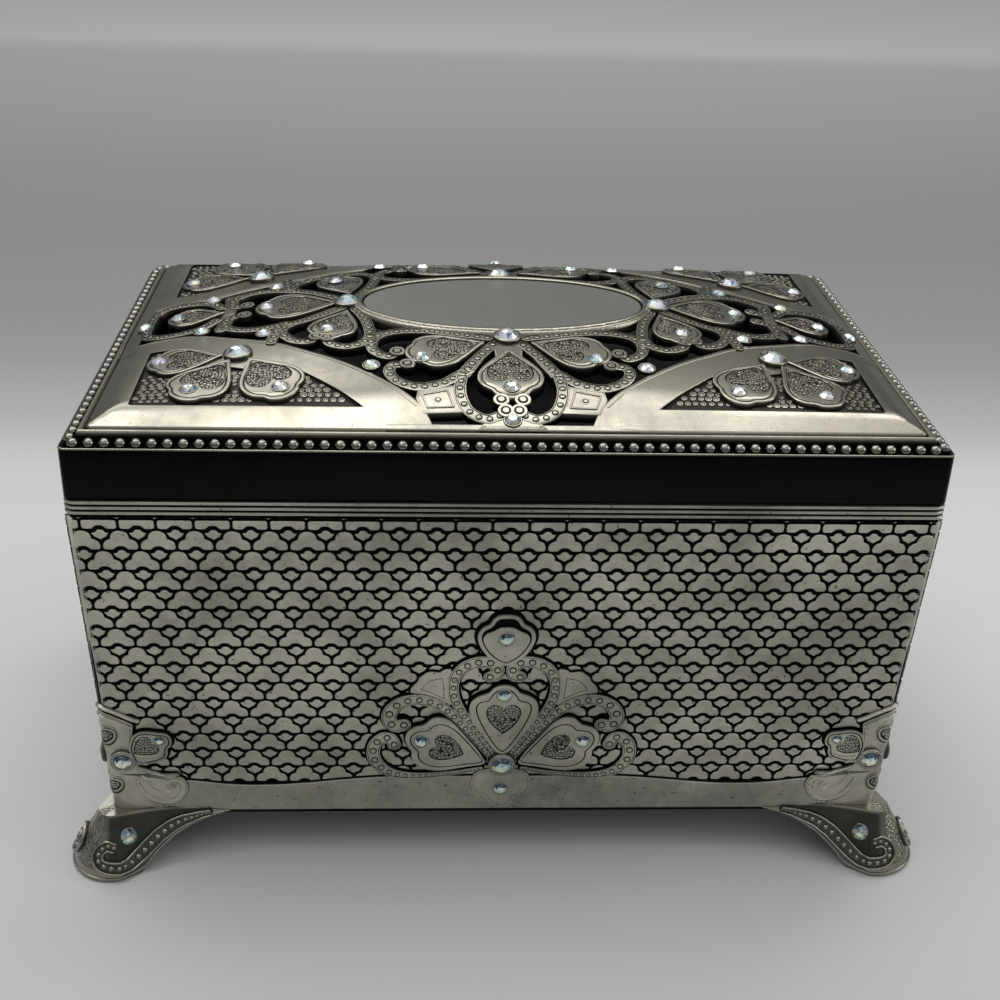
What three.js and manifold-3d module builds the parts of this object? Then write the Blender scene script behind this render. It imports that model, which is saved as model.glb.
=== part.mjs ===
// Musical jewelry box: a tapered cast case on four scroll feet, a hinged lid with a domed
// openwork top and a bare oval plaque, a flocked tray with ring rolls, and a small
// wind-up comb movement that a rod stops when the lid comes down.
// Millimetres, +X to the right, -Y to the front, +Z up, origin on the floor under the centre.
import * as THREE from 'three';
import { mergeVertices } from 'three/addons/utils/BufferGeometryUtils.js';
import Module from 'manifold-3d';

const wasm = await Module();
wasm.setup();

// Overall sizes of the case
const CASE_TOP_LENGTH = 177.5;
const CASE_TOP_DEPTH = 109;
const CASE_TAPER = 2.8;
const CASE_WALL = 2;
const CASE_CORNER_RADIUS = 2;
const CASE_BOTTOM_Z = 11;
const CASE_WALL_HEIGHT = 77.4;
const RIM_HEIGHT = 3.4;
const RIM_RIDGES = 3;
const RIM_PROUD = 0.5;
const RIM_VALLEY = 0.1;

// Overall sizes of the lid
const LID_SIDE_OVERHANG = 0.25;
const LID_FRONT_OVERHANG = 0.3;
const LID_CORNER_RADIUS = 1.6;
const SKIRT_HEIGHT = 11;
const SKIRT_WALL = 2.2;
const LID_SEAM = 0.25;

// Moulding round the lid, measured inwards from the skirt and up from its top edge
const LIP_WIDTH = 0.6;
const LIP_RISE = 0.3;
const CHANNEL_WIDTH = 2.4;
const CHANNEL_DEPTH = 1;
const MOULDING_WIDTH = 4.6;
const MOULDING_RISE = 2.5;
const RISER_LEAN = 0.4;
const TOP_LEDGE_WIDTH = 3.6;
const TOP_LEDGE_THICKNESS = 2.6;

// Beads in the channel
const BEAD_RADIUS = 1.05;
const BEAD_PITCH = 3.06;
const BEAD_NECK_SHARE = 0.36;
const BEAD_SECTION_SHARES = [[0.9, -0.6], [0, 1], [-0.9, -0.6]];

// Domed openwork top
const TOP_SEAM = 0.2;
const TOP_THICKNESS = 1.8;
const TOP_EDGE_RISE = 2.4;
const TOP_EDGE_SLOPE_SHARE = 0.49;
const DOME_FOOT_RISE = 5;
const DOME_RISE = 7.2;
const DOME_INSET = 10;
const DOME_SIDE_INSET = 7.8;
const DOME_POWER_LONG = 2.5;
const DOME_POWER_SHORT = 2.35;
const PETAL_RISE = 0.8;
const PETAL_MARGIN = 0.5;
const RECESS_DEPTH = 0.5;
const DRAWN_TOP_HALF_X = 84.2;
const DRAWN_TOP_HALF_Y = 50;
const STRAP_WIDTH = 2.3;
const STRAP_END_RADIUS = 1.7;

// Oval plaque and its bezel
const PLAQUE_LENGTH_SHARE = 0.37648;
const PLAQUE_DEPTH_SHARE = 0.334;
const PLAQUE_THICKNESS = 1.4;
const BEZEL_WIDTH = 2.3;
const BEZEL_RISE = 0.5;
const BEZEL_SEAT = 2.4;
const BEZEL_SEAT_THICKNESS = 1.1;

// Stones
const STONE_RADIUS = 2.1;
const STONE_CROWN = 2.6;
const STONE_GIRDLE = 1;
const STONE_TABLE_SHARE = 0.6;
const CUP_RADIUS = 3.1;
const CUP_RISE = 1;
const CUP_POCKET = 1;
const SMALL_STONE_RADIUS = 1.5;
const SMALL_STONE_RISE = 2.7;
const SMALL_CUP_RADIUS = 2.1;
const STONE_SIDES = 8;
const CUP_SIDES = 6;
const SMALL_STONE_SIDES = 4;

// Running clearances
const CLEARANCE = 0.3;
const CUT_OVERRUN = 5;

// Base plate, feet and their screws
const BASE_THICKNESS = 1.6;
const TOE_RADIUS = 10.3;
const TOE_OFFSET = 0.9;
const FOOT_ARM = 26.7;
const FOOT_SCREW_INSET = 7;
const FOOT_SCREW_RADIUS = 1.5;
const FOOT_SCREW_HEAD_RADIUS = 2.8;
const FOOT_SCREW_HEAD_HEIGHT = 1.7;
const FOOT_SCREW_HEAD_Z = 3.6;
const FOOT_SCREW_REACH = 5;
const FOOT_BORE_CLEARANCE = 0.3;
const BOSS_RADIUS = 4.2;
const BOSS_HEIGHT = 5.5;

// Applied ornaments on the case
const ORNAMENT_THICKNESS = 1.2;
const ORNAMENT_HALF_WIDTH = 30;
const ORNAMENT_HEIGHT = 54;
const ORNAMENT_DROP = 22.4;
const CORNER_ORNAMENT_REACH = 19;
const CORNER_ORNAMENT_HEIGHT = 31;
const CORNER_ORNAMENT_LIFT = 0.4;

// Flocked tray and ring rolls
const TRAY_WALL = 1.6;
const TRAY_GAP = 0.4;
const TRAY_TOP_DROP = 4;
const SHELF_TOP_Z = 46;
const SHELF_SPLIT_GAP = 7;
const DIVIDER_WALL = 2;
const DIVIDER_TOP_Z = 60;
const ROLL_COUNT = 5;
const ROLL_FRONT_GAP = 5.1;
const ROLL_REAR_GAP = 15.1;
const ROLL_HEIGHT = 10;
const ROLL_GAP = 0.6;

// Hinges
const HINGE_INSET = 40.75;
const HINGE_KNUCKLE_RADIUS = 1.8;
const HINGE_PIN_RADIUS = 0.7;
const HINGE_PIN_CLEARANCE = 0.3;
const HINGE_KNUCKLE_LENGTH = 3.6;
const HINGE_KNUCKLE_GAP = 0.4;
const HINGE_KNUCKLES = 5;
const HINGE_LEAF_THICKNESS = 0.8;
const HINGE_LEAF_HEIGHT = 8;

// Lining board inside the lid
const BOARD_THICKNESS = 1.5;

// Comb movement
const MOVEMENT_INSET = 11.95;
const MOVEMENT_Y = 2;
const BED_END_MARGIN = 1.45;
const BED_DEPTH = 40;
const BED_THICKNESS = 2.5;
const BARREL_INSET = 13;
const TRAIN_OFFSET_Y = 5;
const BARREL_RADIUS = 9.5;
const BARREL_HEIGHT = 5.8;
const BARREL_LIFT = 0.6;
const BARREL_BORE = 2;
const CROWN_TEETH = 28;
const CROWN_WIDTH = 1.5;
const CROWN_HEIGHT = 1.4;
const PINION_LEAVES = 8;
const LEAF_LENGTH = 0.62;
const TOOTH_SHARE = 0.28;
const PINION_FACE = 1.6;
const PINION_GAP = 0.5;
const WORM_GAP = 0.9;
const BEARING_THICKNESS = 1.6;
const BEARING_WIDTH = 4;
const ARBOR_RADIUS = 0.8;
const CYLINDER_RADIUS = 6.5;
const CYLINDER_LENGTH = 17;
const CYLINDER_PIN_RISE = 0.5;
const CYLINDER_PIN_WIDTH = 0.45;
const CYLINDER_TRACKS = 18;
const CYLINDER_PINS_PER_TRACK = 1;
const PIN_TURN = 137.5;
const WHEEL_TEETH = 28;
const WHEEL_FACE = 1.2;
const WHEEL_TOOTH_LENGTH = 0.45;
const SECOND_PITCH_RADIUS = 1.8;
const WORM_WHEEL_RADIUS = 4;
const WORM_WHEEL_TEETH = 20;
const WORM_RADIUS = 1.2;
const WORM_CORE_SHARE = 0.6;
const WORM_THREAD_SHARE = 0.3;
const FAN_RADIUS = 5.5;
const FAN_HEIGHT = 4;
const FAN_THICKNESS = 0.6;
const FAN_Z = 34.6;
const GOVERNOR_WIDTH = 2.2;
const COMB_TEETH = 18;
const COMB_THICKNESS = 1.2;
const COMB_TOOTH_LENGTH = 9.6;
const COMB_BODY_DEPTH = 5;
const COMB_SLOT = 0.3;
const COMB_SLOT_RISE_SHARE = 0.3;
const COMB_SCREW_SHARES = [0.2, 0.8];
const COMB_SCREW_RADIUS = 0.9;
const COMB_SCREW_HEAD_RADIUS = 1.8;
const COMB_SCREW_HEAD = 1;
const MOVEMENT_SCREW_RADIUS = 1.3;
const MOVEMENT_SCREW_HEAD_RADIUS = 2.4;
const MOVEMENT_SCREW_HEAD = 1.2;

// Winding key and stop rod
const KEY_SPAN = 17;
const KEY_WING_HEIGHT = 6;
const KEY_WING_THICKNESS = 2;
const KEY_WAIST_SHARE = 0.3;
const KEY_HUB_RADIUS = 2.3;
const KEY_FLOOR_GAP = 1.8;
const KEY_ARBOR_RADIUS = 1.5;
const STOP_ROD_RADIUS = 1.1;
const STOP_ROD_INSET = 4.6;
const STOP_FINGER_HEIGHT = 1.4;
const STOP_GUIDE_DROP = 5.8;
const GUIDE_THICKNESS = 1.2;
const GUIDE_HEIGHT = 3;

// Facets
const CORNER_STEPS = 2;
const ROUND_STEPS = 18;
const FINE_STEPS = 32;
const SHAFT_STEPS = 8;

// Levels and half sizes worked out from the driving sizes
const WALL_TOP_Z = CASE_BOTTOM_Z + CASE_WALL_HEIGHT;
const RIM_TOP_Z = WALL_TOP_Z + RIM_HEIGHT;
const SKIRT_BOTTOM_Z = RIM_TOP_Z + LID_SEAM;
const LID_TOP_Z = SKIRT_BOTTOM_Z + SKIRT_HEIGHT;
const CASE_HALF_X = CASE_TOP_LENGTH / 2;
const CASE_HALF_Y = CASE_TOP_DEPTH / 2;
const FOOT_CORNER_X = CASE_HALF_X - CASE_TAPER;
const FOOT_CORNER_Y = CASE_HALF_Y - CASE_TAPER;
const LID_HALF_X = CASE_HALF_X + LID_SIDE_OVERHANG;
const LID_HALF_Y = CASE_HALF_Y + LID_FRONT_OVERHANG;
const TOP_HALF_X = LID_HALF_X - MOULDING_WIDTH - TOP_SEAM;
const TOP_HALF_Y = LID_HALF_Y - MOULDING_WIDTH - TOP_SEAM;
const TOP_GROWTH = Math.max(TOP_HALF_X / DRAWN_TOP_HALF_X, TOP_HALF_Y / DRAWN_TOP_HALF_Y, 1);
const PLAQUE_HALF_LENGTH = TOP_HALF_X * PLAQUE_LENGTH_SHARE;
const PLAQUE_HALF_DEPTH = TOP_HALF_Y * PLAQUE_DEPTH_SHARE;
const BASE_TOP_Z = CASE_BOTTOM_Z + BASE_THICKNESS;
const WALL_TILT = Math.atan2(CASE_TAPER, CASE_WALL_HEIGHT);
const FLANGE_BOTTOM_Z = LID_TOP_Z + CLEARANCE - TOP_LEDGE_THICKNESS;
const BOARD_TOP_Z = FLANGE_BOTTOM_Z - CLEARANCE;
const BOARD_BOTTOM_Z = BOARD_TOP_Z - BOARD_THICKNESS;

// Finishes: colour, roughness and metalness of each material
const finishes = {
  nickel: { color: [0.46, 0.45, 0.42], roughness: 0.38, metalness: 0.9 },
  polished: { color: [0.24, 0.24, 0.24], roughness: 0.12, metalness: 1 },
  satin: { color: [0.42, 0.42, 0.42], roughness: 0.5, metalness: 0.8 },
  steel: { color: [0.6, 0.6, 0.62], roughness: 0.3, metalness: 0.9 },
  brass: { color: [0.72, 0.56, 0.28], roughness: 0.35, metalness: 0.9 },
  velvet: { color: [0.03, 0.03, 0.035], roughness: 0.95, metalness: 0 },
  stone: { color: [0.82, 0.88, 0.95], roughness: 0.05, metalness: 0.1 },
};

function finish({ color, roughness, metalness }) {
  return new THREE.MeshStandardMaterial({
    color: new THREE.Color(...color),
    roughness,
    metalness,
  });
}

const part = new THREE.Group();

// Mesh with a name and a material of its own, added to the part
function addPiece(name, geometry, material, place = new THREE.Vector3()) {
  const mesh = new THREE.Mesh(geometry, material);
  mesh.name = name;
  mesh.position.copy(place);
  part.add(mesh);
  return mesh;
}

// Closed geometry as a solid that can be joined and cut
function toSolid(geometry) {
  const plain = geometry.clone();
  plain.deleteAttribute('normal');
  plain.deleteAttribute('uv');
  const merged = mergeVertices(plain);
  return new wasm.Manifold(new wasm.Mesh({
    numProp: 3,
    vertProperties: new Float32Array(merged.attributes.position.array),
    triVerts: new Uint32Array(merged.index.array),
  }));
}

// Solid back to a geometry
function toGeometry(solid) {
  const mesh = solid.getMesh();
  const geometry = new THREE.BufferGeometry();
  geometry.setAttribute('position', new THREE.BufferAttribute(mesh.vertProperties, 3));
  geometry.setIndex(new THREE.BufferAttribute(mesh.triVerts, 1));
  geometry.computeVertexNormals();
  return geometry;
}

// Union of a list of solids
function join(solids) {
  return solids.reduce((whole, solid) => whole.add(solid));
}

// Outline of plan points raised from one level to another
function prism(points, low, high) {
  const geometry = new THREE.ExtrudeGeometry(new THREE.Shape(points), {
    depth: high - low,
    bevelEnabled: false,
  });
  return geometry.translate(0, 0, low);
}

// Upright or turned cylinder as a solid's geometry; axis is 'x', 'y' or 'z'
function rod(radius, low, high, steps, axis = 'z') {
  const geometry = new THREE.CylinderGeometry(radius, radius, high - low, steps);
  if (axis === 'z') geometry.rotateX(Math.PI / 2);
  if (axis === 'x') geometry.rotateZ(-Math.PI / 2);
  const middle = (low + high) / 2;
  return geometry.translate(axis === 'x' ? middle : 0, axis === 'y' ? middle : 0, axis === 'z' ? middle : 0);
}

// Box between two corners
function block(x0, x1, y0, y1, z0, z1) {
  const geometry = new THREE.BoxGeometry(Math.abs(x1 - x0), Math.abs(y1 - y0), Math.abs(z1 - z0));
  return geometry.translate((x0 + x1) / 2, (y0 + y1) / 2, (z0 + z1) / 2);
}

const inPlan = (point) => new THREE.Vector2(point.x, point.y);
const inElevation = (point) => new THREE.Vector2(point.x, point.z);

// Triangles over one ring, running the same way round as its points
function capFaces(ring, flatten) {
  const flat = ring.map(flatten);
  const way = Math.sign(THREE.ShapeUtils.area(flat));
  return THREE.ShapeUtils.triangulateShape(flat, []).map((face) => {
    const same = Math.sign(THREE.ShapeUtils.area(face.map((at) => flat[at]))) === way;
    return same ? face : [face[0], face[2], face[1]];
  });
}

// Closed skin over rings of points; each ring is a closed loop of equal length
function skin(rings, closed, flatten = inPlan) {
  const count = rings[0].length;
  const positions = rings.flat().flatMap((point) => [point.x, point.y, point.z]);
  const index = [];
  const last = closed ? rings.length : rings.length - 1;
  for (let ring = 0; ring < last; ring += 1) {
    const low = ring * count;
    const high = ((ring + 1) % rings.length) * count;
    for (let side = 0; side < count; side += 1) {
      const next = (side + 1) % count;
      index.push(low + side, low + next, high + next);
      index.push(low + side, high + next, high + side);
    }
  }
  if (!closed) {
    const start = (rings.length - 1) * count;
    for (const [a, b, c] of capFaces(rings[0], flatten)) index.push(a, c, b);
    for (const [a, b, c] of capFaces(rings[rings.length - 1], flatten)) {
      index.push(start + a, start + b, start + c);
    }
  }
  const geometry = new THREE.BufferGeometry();
  geometry.setAttribute('position', new THREE.Float32BufferAttribute(positions, 3));
  geometry.setIndex(signedVolume(positions, index) < 0 ? index.reverse() : index);
  return geometry;
}

// Volume inside a closed skin, negative where its faces point inwards
function signedVolume(positions, index) {
  const corner = (at) => new THREE.Vector3().fromArray(positions, at * 3);
  let sum = 0;
  for (let face = 0; face < index.length; face += 3) {
    const [a, b, c] = index.slice(face, face + 3).map(corner);
    sum += a.dot(b.cross(c));
  }
  return sum / 6;
}

// Rounded rectangle in plan, counter-clockwise
function roundedPlan(halfX, halfY, radius, steps) {
  const points = [];
  const corners = [[1, 1, 0], [-1, 1, 1], [-1, -1, 2], [1, -1, 3]];
  for (const [signX, signY, quarter] of corners) {
    for (let step = 0; step <= steps; step += 1) {
      const angle = (quarter + step / steps) * Math.PI / 2;
      points.push(new THREE.Vector2(
        signX * (halfX - radius) + radius * Math.cos(angle),
        signY * (halfY - radius) + radius * Math.sin(angle),
      ));
    }
  }
  return points;
}

// Moulding: a closed profile of (inset, height) swept round a rounded rectangle
function sweepFrame(profile, halfX, halfY, radius) {
  const least = radius / CORNER_STEPS;
  const rings = profile.map(([inset, height]) => {
    const turn = Math.max(radius - inset, least);
    return roundedPlan(halfX - inset, halfY - inset, turn, CORNER_STEPS)
      .map((point) => new THREE.Vector3(point.x, point.y, height));
  });
  return skin(rings, true);
}

// Ellipse in plan
function oval(halfX, halfY, steps) {
  const points = [];
  for (let step = 0; step < steps; step += 1) {
    const angle = step / steps * Math.PI * 2;
    points.push(new THREE.Vector2(halfX * Math.cos(angle), halfY * Math.sin(angle)));
  }
  return points;
}

function disc(centre, radius, steps) {
  return oval(radius, radius, steps).map((point) => point.add(centre));
}

// Heart petal between its point and its lobed end
const PETAL_ALONG_SHARES = [0, 0.28, 0.58, 0.84, 1];
const PETAL_WIDTH_SHARES = [0, 0.74, 1, 0.62, 0];

function petal(tip, end, halfWidth) {
  const along = end.clone().sub(tip);
  const side = new THREE.Vector2(-along.y, along.x).normalize().multiplyScalar(halfWidth);
  const edge = (sign) => PETAL_ALONG_SHARES.map((share, index) => tip.clone()
    .addScaledVector(along, share)
    .addScaledVector(side, sign * PETAL_WIDTH_SHARES[index]));
  const right = edge(-1);
  const left = edge(1).slice(1, -1).reverse();
  return [...right, ...left];
}

// Strap of even width along a curve through hand-set points, with a round far end
const STRAP_STEPS_PER_POINT = 0.75;

function strap(points, width) {
  const curve = new THREE.SplineCurve(points);
  const steps = Math.round(points.length * STRAP_STEPS_PER_POINT);
  const left = [];
  const right = [];
  for (let step = 0; step <= steps; step += 1) {
    const at = curve.getPoint(step / steps);
    const tangent = curve.getTangent(step / steps);
    const normal = new THREE.Vector2(-tangent.y, tangent.x).multiplyScalar(width / 2);
    left.push(at.clone().add(normal));
    right.push(at.clone().sub(normal));
  }
  return [...right, ...left.reverse()];
}

// Outline turned so that its points run counter-clockwise
function outward(points) {
  return THREE.ShapeUtils.area(points) < 0 ? points.slice().reverse() : points;
}

// Case: tapered walls with a reeded rim and a screw boss in each corner
function caseProfile() {
  const ridge = RIM_HEIGHT / RIM_RIDGES;
  const crestShare = 0.3;
  const profile = [[CASE_TAPER, CASE_BOTTOM_Z], [0, WALL_TOP_Z]];
  for (let index = 0; index < RIM_RIDGES; index += 1) {
    const low = WALL_TOP_Z + index * ridge;
    profile.push([-RIM_PROUD, low + ridge * crestShare]);
    profile.push([-RIM_PROUD, low + ridge * (1 - crestShare)]);
    profile.push([-RIM_VALLEY, low + ridge]);
  }
  profile.push([CASE_WALL, RIM_TOP_Z]);
  profile.push([CASE_WALL, WALL_TOP_Z]);
  profile.push([CASE_TAPER + CASE_WALL, CASE_BOTTOM_Z]);
  return profile;
}

const footScrewX = FOOT_CORNER_X - FOOT_SCREW_INSET;
const footScrewY = FOOT_CORNER_Y - FOOT_SCREW_INSET;
const corners = [
  ['front_left', -1, -1],
  ['front_right', 1, -1],
  ['rear_left', -1, 1],
  ['rear_right', 1, 1],
];

function makeCase() {
  let walls = toSolid(sweepFrame(caseProfile(), CASE_HALF_X, CASE_HALF_Y, CASE_CORNER_RADIUS));
  const low = BASE_TOP_Z + CLEARANCE;
  const high = low + BOSS_HEIGHT;
  const web = CASE_WALL + BOSS_RADIUS;
  for (const [, signX, signY] of corners) {
    const x = signX * footScrewX;
    const y = signY * footScrewY;
    const boss = toSolid(rod(BOSS_RADIUS, low, high, ROUND_STEPS).translate(x, y, 0));
    const fill = toSolid(block(x, x + signX * web, y, y + signY * web, low, high));
    const bore = rod(FOOT_SCREW_RADIUS + CLEARANCE, low - CUT_OVERRUN, high + CUT_OVERRUN, SHAFT_STEPS);
    walls = walls.add(boss).add(fill).subtract(toSolid(bore.translate(x, y, 0)));
  }
  return toGeometry(walls);
}

// Movement places that the base plate, tray and stop rod share
const bedLeft = MOVEMENT_INSET + CASE_WALL - FOOT_CORNER_X;
const barrelX = bedLeft + BARREL_INSET;
const trainY = MOVEMENT_Y + TRAIN_OFFSET_Y;
const bedBottom = BASE_TOP_Z + CLEARANCE;
const bedTop = bedBottom + BED_THICKNESS;
const crownMeanRadius = BARREL_RADIUS - CROWN_WIDTH / 2;
const crownPitch = Math.PI * 2 * crownMeanRadius / CROWN_TEETH;
const pinionPitchRadius = crownPitch * PINION_LEAVES / (Math.PI * 2);
const barrelTop = bedTop + BARREL_LIFT + BARREL_HEIGHT;
const crownTop = barrelTop + CROWN_HEIGHT;
const trainZ = barrelTop + CROWN_HEIGHT / 2 + pinionPitchRadius;

// Places along the train, from the crown wheel to the outer bearing and the end of the bed
const pinionLowX = barrelX + crownMeanRadius - PINION_FACE / 2;
const leftBearingX = pinionLowX + PINION_FACE + PINION_GAP;
const cylinderX = leftBearingX + BEARING_THICKNESS + PINION_GAP;
const wheelX = cylinderX + CYLINDER_LENGTH + PINION_GAP;
const rightBearingX = wheelX + WHEEL_FACE + PINION_GAP;
const wormWheelX = rightBearingX + BEARING_THICKNESS + WORM_GAP;
const outerBearingX = wormWheelX + WHEEL_FACE + WORM_GAP;
const bedRight = outerBearingX + BEARING_THICKNESS + BED_END_MARGIN;
const wheelPitchRadius = SECOND_PITCH_RADIUS * WHEEL_TEETH / PINION_LEAVES;
const secondY = trainY + wheelPitchRadius + SECOND_PITCH_RADIUS;
const wormX = wormWheelX + WHEEL_FACE / 2;
const wormY = secondY - WORM_WHEEL_RADIUS - WORM_RADIUS - CLEARANCE;
const shelfSplitX = bedRight + SHELF_SPLIT_GAP;

const screwInset = MOVEMENT_SCREW_HEAD_RADIUS + CLEARANCE;
const movementScrewPlaces = [
  new THREE.Vector2(bedLeft + screwInset, MOVEMENT_Y + BED_DEPTH / 2 - screwInset),
  new THREE.Vector2(bedRight - screwInset, MOVEMENT_Y - BED_DEPTH / 2 + screwInset),
];

function makeBase() {
  const inset = CASE_TAPER + CASE_WALL + TRAY_GAP;
  const plan = roundedPlan(CASE_HALF_X - inset, CASE_HALF_Y - inset, CASE_CORNER_RADIUS, CORNER_STEPS);
  let plate = toSolid(prism(plan, CASE_BOTTOM_Z, BASE_TOP_Z));
  const low = CASE_BOTTOM_Z - CUT_OVERRUN;
  const high = BASE_TOP_Z + CUT_OVERRUN;
  for (const [, signX, signY] of corners) {
    const bore = rod(FOOT_SCREW_RADIUS + CLEARANCE, low, high, SHAFT_STEPS);
    plate = plate.subtract(toSolid(bore.translate(signX * footScrewX, signY * footScrewY, 0)));
  }
  for (const place of movementScrewPlaces) {
    const bore = rod(MOVEMENT_SCREW_RADIUS + CLEARANCE, low, high, SHAFT_STEPS);
    plate = plate.subtract(toSolid(bore.translate(place.x, place.y, 0)));
  }
  const keyHole = rod(KEY_ARBOR_RADIUS + CLEARANCE + CLEARANCE, low, high, ROUND_STEPS);
  return toGeometry(plate.subtract(toSolid(keyHole.translate(barrelX, trainY, 0))));
}

// Foot: sections of a flared toe with an arm along each wall, from the sole up.
// Each level is height, arm length and toe radius as shares of the foot's own sizes.
const FOOT_HEIGHT_SHARES = [0, 0.1, 0.25, 0.43, 0.61, 0.8, 1];
const FOOT_ARM_SHARES = [0.25, 0.31, 0.38, 0.46, 0.57, 0.72, 1];
const FOOT_TOE_SHARES = [0.62, 0.84, 0.97, 1, 0.84, 0.55, 0.22];
const FOOT_BEND_SHARES = [0.4, 0.3];
const FOOT_HEEL_SHARES = [0.8, 0.72, 0.6, 0.46, 0.34, 0.22, 0.1];
const TOE_ARC_START = -75 * Math.PI / 180;
const TOE_ARC_SWEEP = -120 * Math.PI / 180;
const TOE_STEPS = 5;
const ARM_STEPS = 3;

function footSection(level) {
  const arm = FOOT_ARM * FOOT_ARM_SHARES[level];
  const toe = TOE_RADIUS * FOOT_TOE_SHARES[level];
  const heel = arm * FOOT_HEEL_SHARES[level];
  const height = (CASE_BOTTOM_Z - CLEARANCE) * FOOT_HEIGHT_SHARES[level];
  const start = new THREE.Vector2(
    toe * Math.cos(TOE_ARC_START) - TOE_OFFSET,
    toe * Math.sin(TOE_ARC_START) - TOE_OFFSET,
  );
  const tip = new THREE.Vector2(arm, Math.min(0, start.y / 2));
  const bend = new THREE.Vector2(
    start.x + (tip.x - start.x) * FOOT_BEND_SHARES[0],
    start.y * FOOT_BEND_SHARES[1],
  );
  const front = new THREE.QuadraticBezierCurve(tip, bend, start).getPoints(ARM_STEPS);
  const round = [];
  for (let step = 1; step < TOE_STEPS; step += 1) {
    const angle = TOE_ARC_START + TOE_ARC_SWEEP * step / TOE_STEPS;
    round.push(new THREE.Vector2(
      toe * Math.cos(angle) - TOE_OFFSET,
      toe * Math.sin(angle) - TOE_OFFSET,
    ));
  }
  const side = front.map((point) => new THREE.Vector2(point.y, point.x)).reverse();
  const inner = [new THREE.Vector2(heel, arm), new THREE.Vector2(arm, heel)];
  const loop = [...front, ...round, ...side, ...inner];
  return loop.reverse().map((point) => new THREE.Vector3(point.x, point.y, height));
}

function makeFoot(signX, signY) {
  const levels = FOOT_HEIGHT_SHARES.map((share, level) => footSection(level));
  const turned = levels.map((ring) => {
    const placed = ring.map((point) => new THREE.Vector3(
      signX * (FOOT_CORNER_X - point.x),
      signY * (FOOT_CORNER_Y - point.y),
      point.z,
    ));
    return signX * signY > 0 ? placed : placed.reverse();
  });
  const top = CASE_BOTTOM_Z + CUT_OVERRUN;
  const headRoom = FOOT_SCREW_HEAD_Z + FOOT_SCREW_HEAD_HEIGHT + CLEARANCE;
  const bore = rod(FOOT_SCREW_RADIUS + FOOT_BORE_CLEARANCE, -CUT_OVERRUN, top, SHAFT_STEPS);
  const sink = rod(FOOT_SCREW_HEAD_RADIUS + FOOT_BORE_CLEARANCE, -CUT_OVERRUN, headRoom, SHAFT_STEPS);
  const hole = toSolid(bore).add(toSolid(sink)).translate([signX * footScrewX, signY * footScrewY, 0]);
  return toGeometry(toSolid(skin(turned, false)).subtract(hole));
}

function makeFootScrew() {
  const shank = FOOT_SCREW_HEAD_Z + FOOT_SCREW_HEAD_HEIGHT;
  const tip = BASE_TOP_Z + FOOT_SCREW_REACH - CLEARANCE;
  const profile = [
    new THREE.Vector2(0, FOOT_SCREW_HEAD_Z),
    new THREE.Vector2(FOOT_SCREW_HEAD_RADIUS, FOOT_SCREW_HEAD_Z),
    new THREE.Vector2(FOOT_SCREW_HEAD_RADIUS, shank),
    new THREE.Vector2(FOOT_SCREW_RADIUS, shank),
    new THREE.Vector2(FOOT_SCREW_RADIUS, tip - FOOT_SCREW_RADIUS),
    new THREE.Vector2(0, tip),
  ];
  return revolve(profile, SHAFT_STEPS);
}

// Revolved profile of (radius, height) about the upright axis
function revolve(profile, steps) {
  return new THREE.LatheGeometry(profile, steps).rotateX(Math.PI / 2);
}

// Dome of the lid top: height above the floor at a place in plan
function domeHeight(x, y) {
  const inset = Math.min(LID_HALF_X - Math.abs(x), LID_HALF_Y - Math.abs(y));
  const long = Math.max(0, 1 - (Math.abs(x) / (LID_HALF_X - DOME_INSET)) ** DOME_POWER_LONG);
  const short = Math.max(0, 1 - (Math.abs(y) / (LID_HALF_Y - DOME_SIDE_INSET)) ** DOME_POWER_SHORT);
  const dome = DOME_FOOT_RISE + DOME_RISE * long * short;
  const edge = TOP_EDGE_RISE + TOP_EDGE_SLOPE_SHARE * (inset - MOULDING_WIDTH);
  return LID_TOP_Z + Math.min(dome, edge);
}

const GRID_X_SHARES = [0, 0.44, 0.8, 1];
const GRID_Y_SHARES = [0, 0.5, 0.82, 1];

// Slab that follows the dome between two offsets from it
function domeSlab(low, high) {
  const mirror = (shares, half) => [...shares.slice(1).reverse().map((share) => -share * half),
    ...shares.map((share) => share * half)];
  const xs = mirror(GRID_X_SHARES, TOP_HALF_X);
  const ys = mirror(GRID_Y_SHARES, TOP_HALF_Y);
  const positions = [];
  for (const offset of [low, high]) {
    for (const y of ys) for (const x of xs) positions.push(x, y, domeHeight(x, y) + offset);
  }
  const across = xs.length;
  const layer = across * ys.length;
  const index = [];
  const quad = (a, b, c, d) => index.push(a, b, c, a, c, d);
  for (let row = 0; row + 1 < ys.length; row += 1) {
    for (let column = 0; column + 1 < across; column += 1) {
      const at = row * across + column;
      quad(layer + at, layer + at + 1, layer + at + across + 1, layer + at + across);
      quad(at, at + across, at + across + 1, at + 1);
    }
  }
  for (let column = 0; column + 1 < across; column += 1) {
    const rear = (ys.length - 1) * across + column;
    quad(column, column + 1, layer + column + 1, layer + column);
    quad(rear + 1, rear, layer + rear, layer + rear + 1);
  }
  for (let row = 0; row + 1 < ys.length; row += 1) {
    const left = row * across;
    const right = left + across - 1;
    quad(left + across, left, layer + left, layer + left + across);
    quad(right, right + across, layer + right + across, layer + right);
  }
  const geometry = new THREE.BufferGeometry();
  geometry.setAttribute('position', new THREE.Float32BufferAttribute(positions, 3));
  geometry.setIndex(index);
  return toSolid(geometry);
}

// Levels of the oval plaque in its bezel
const bezelTopZ = domeHeight(0, PLAQUE_HALF_DEPTH + CLEARANCE + BEZEL_WIDTH) + BEZEL_RISE;
const plaqueTopZ = bezelTopZ - BEZEL_RISE / 2;
const plaqueBottomZ = plaqueTopZ - PLAQUE_THICKNESS;

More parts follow.
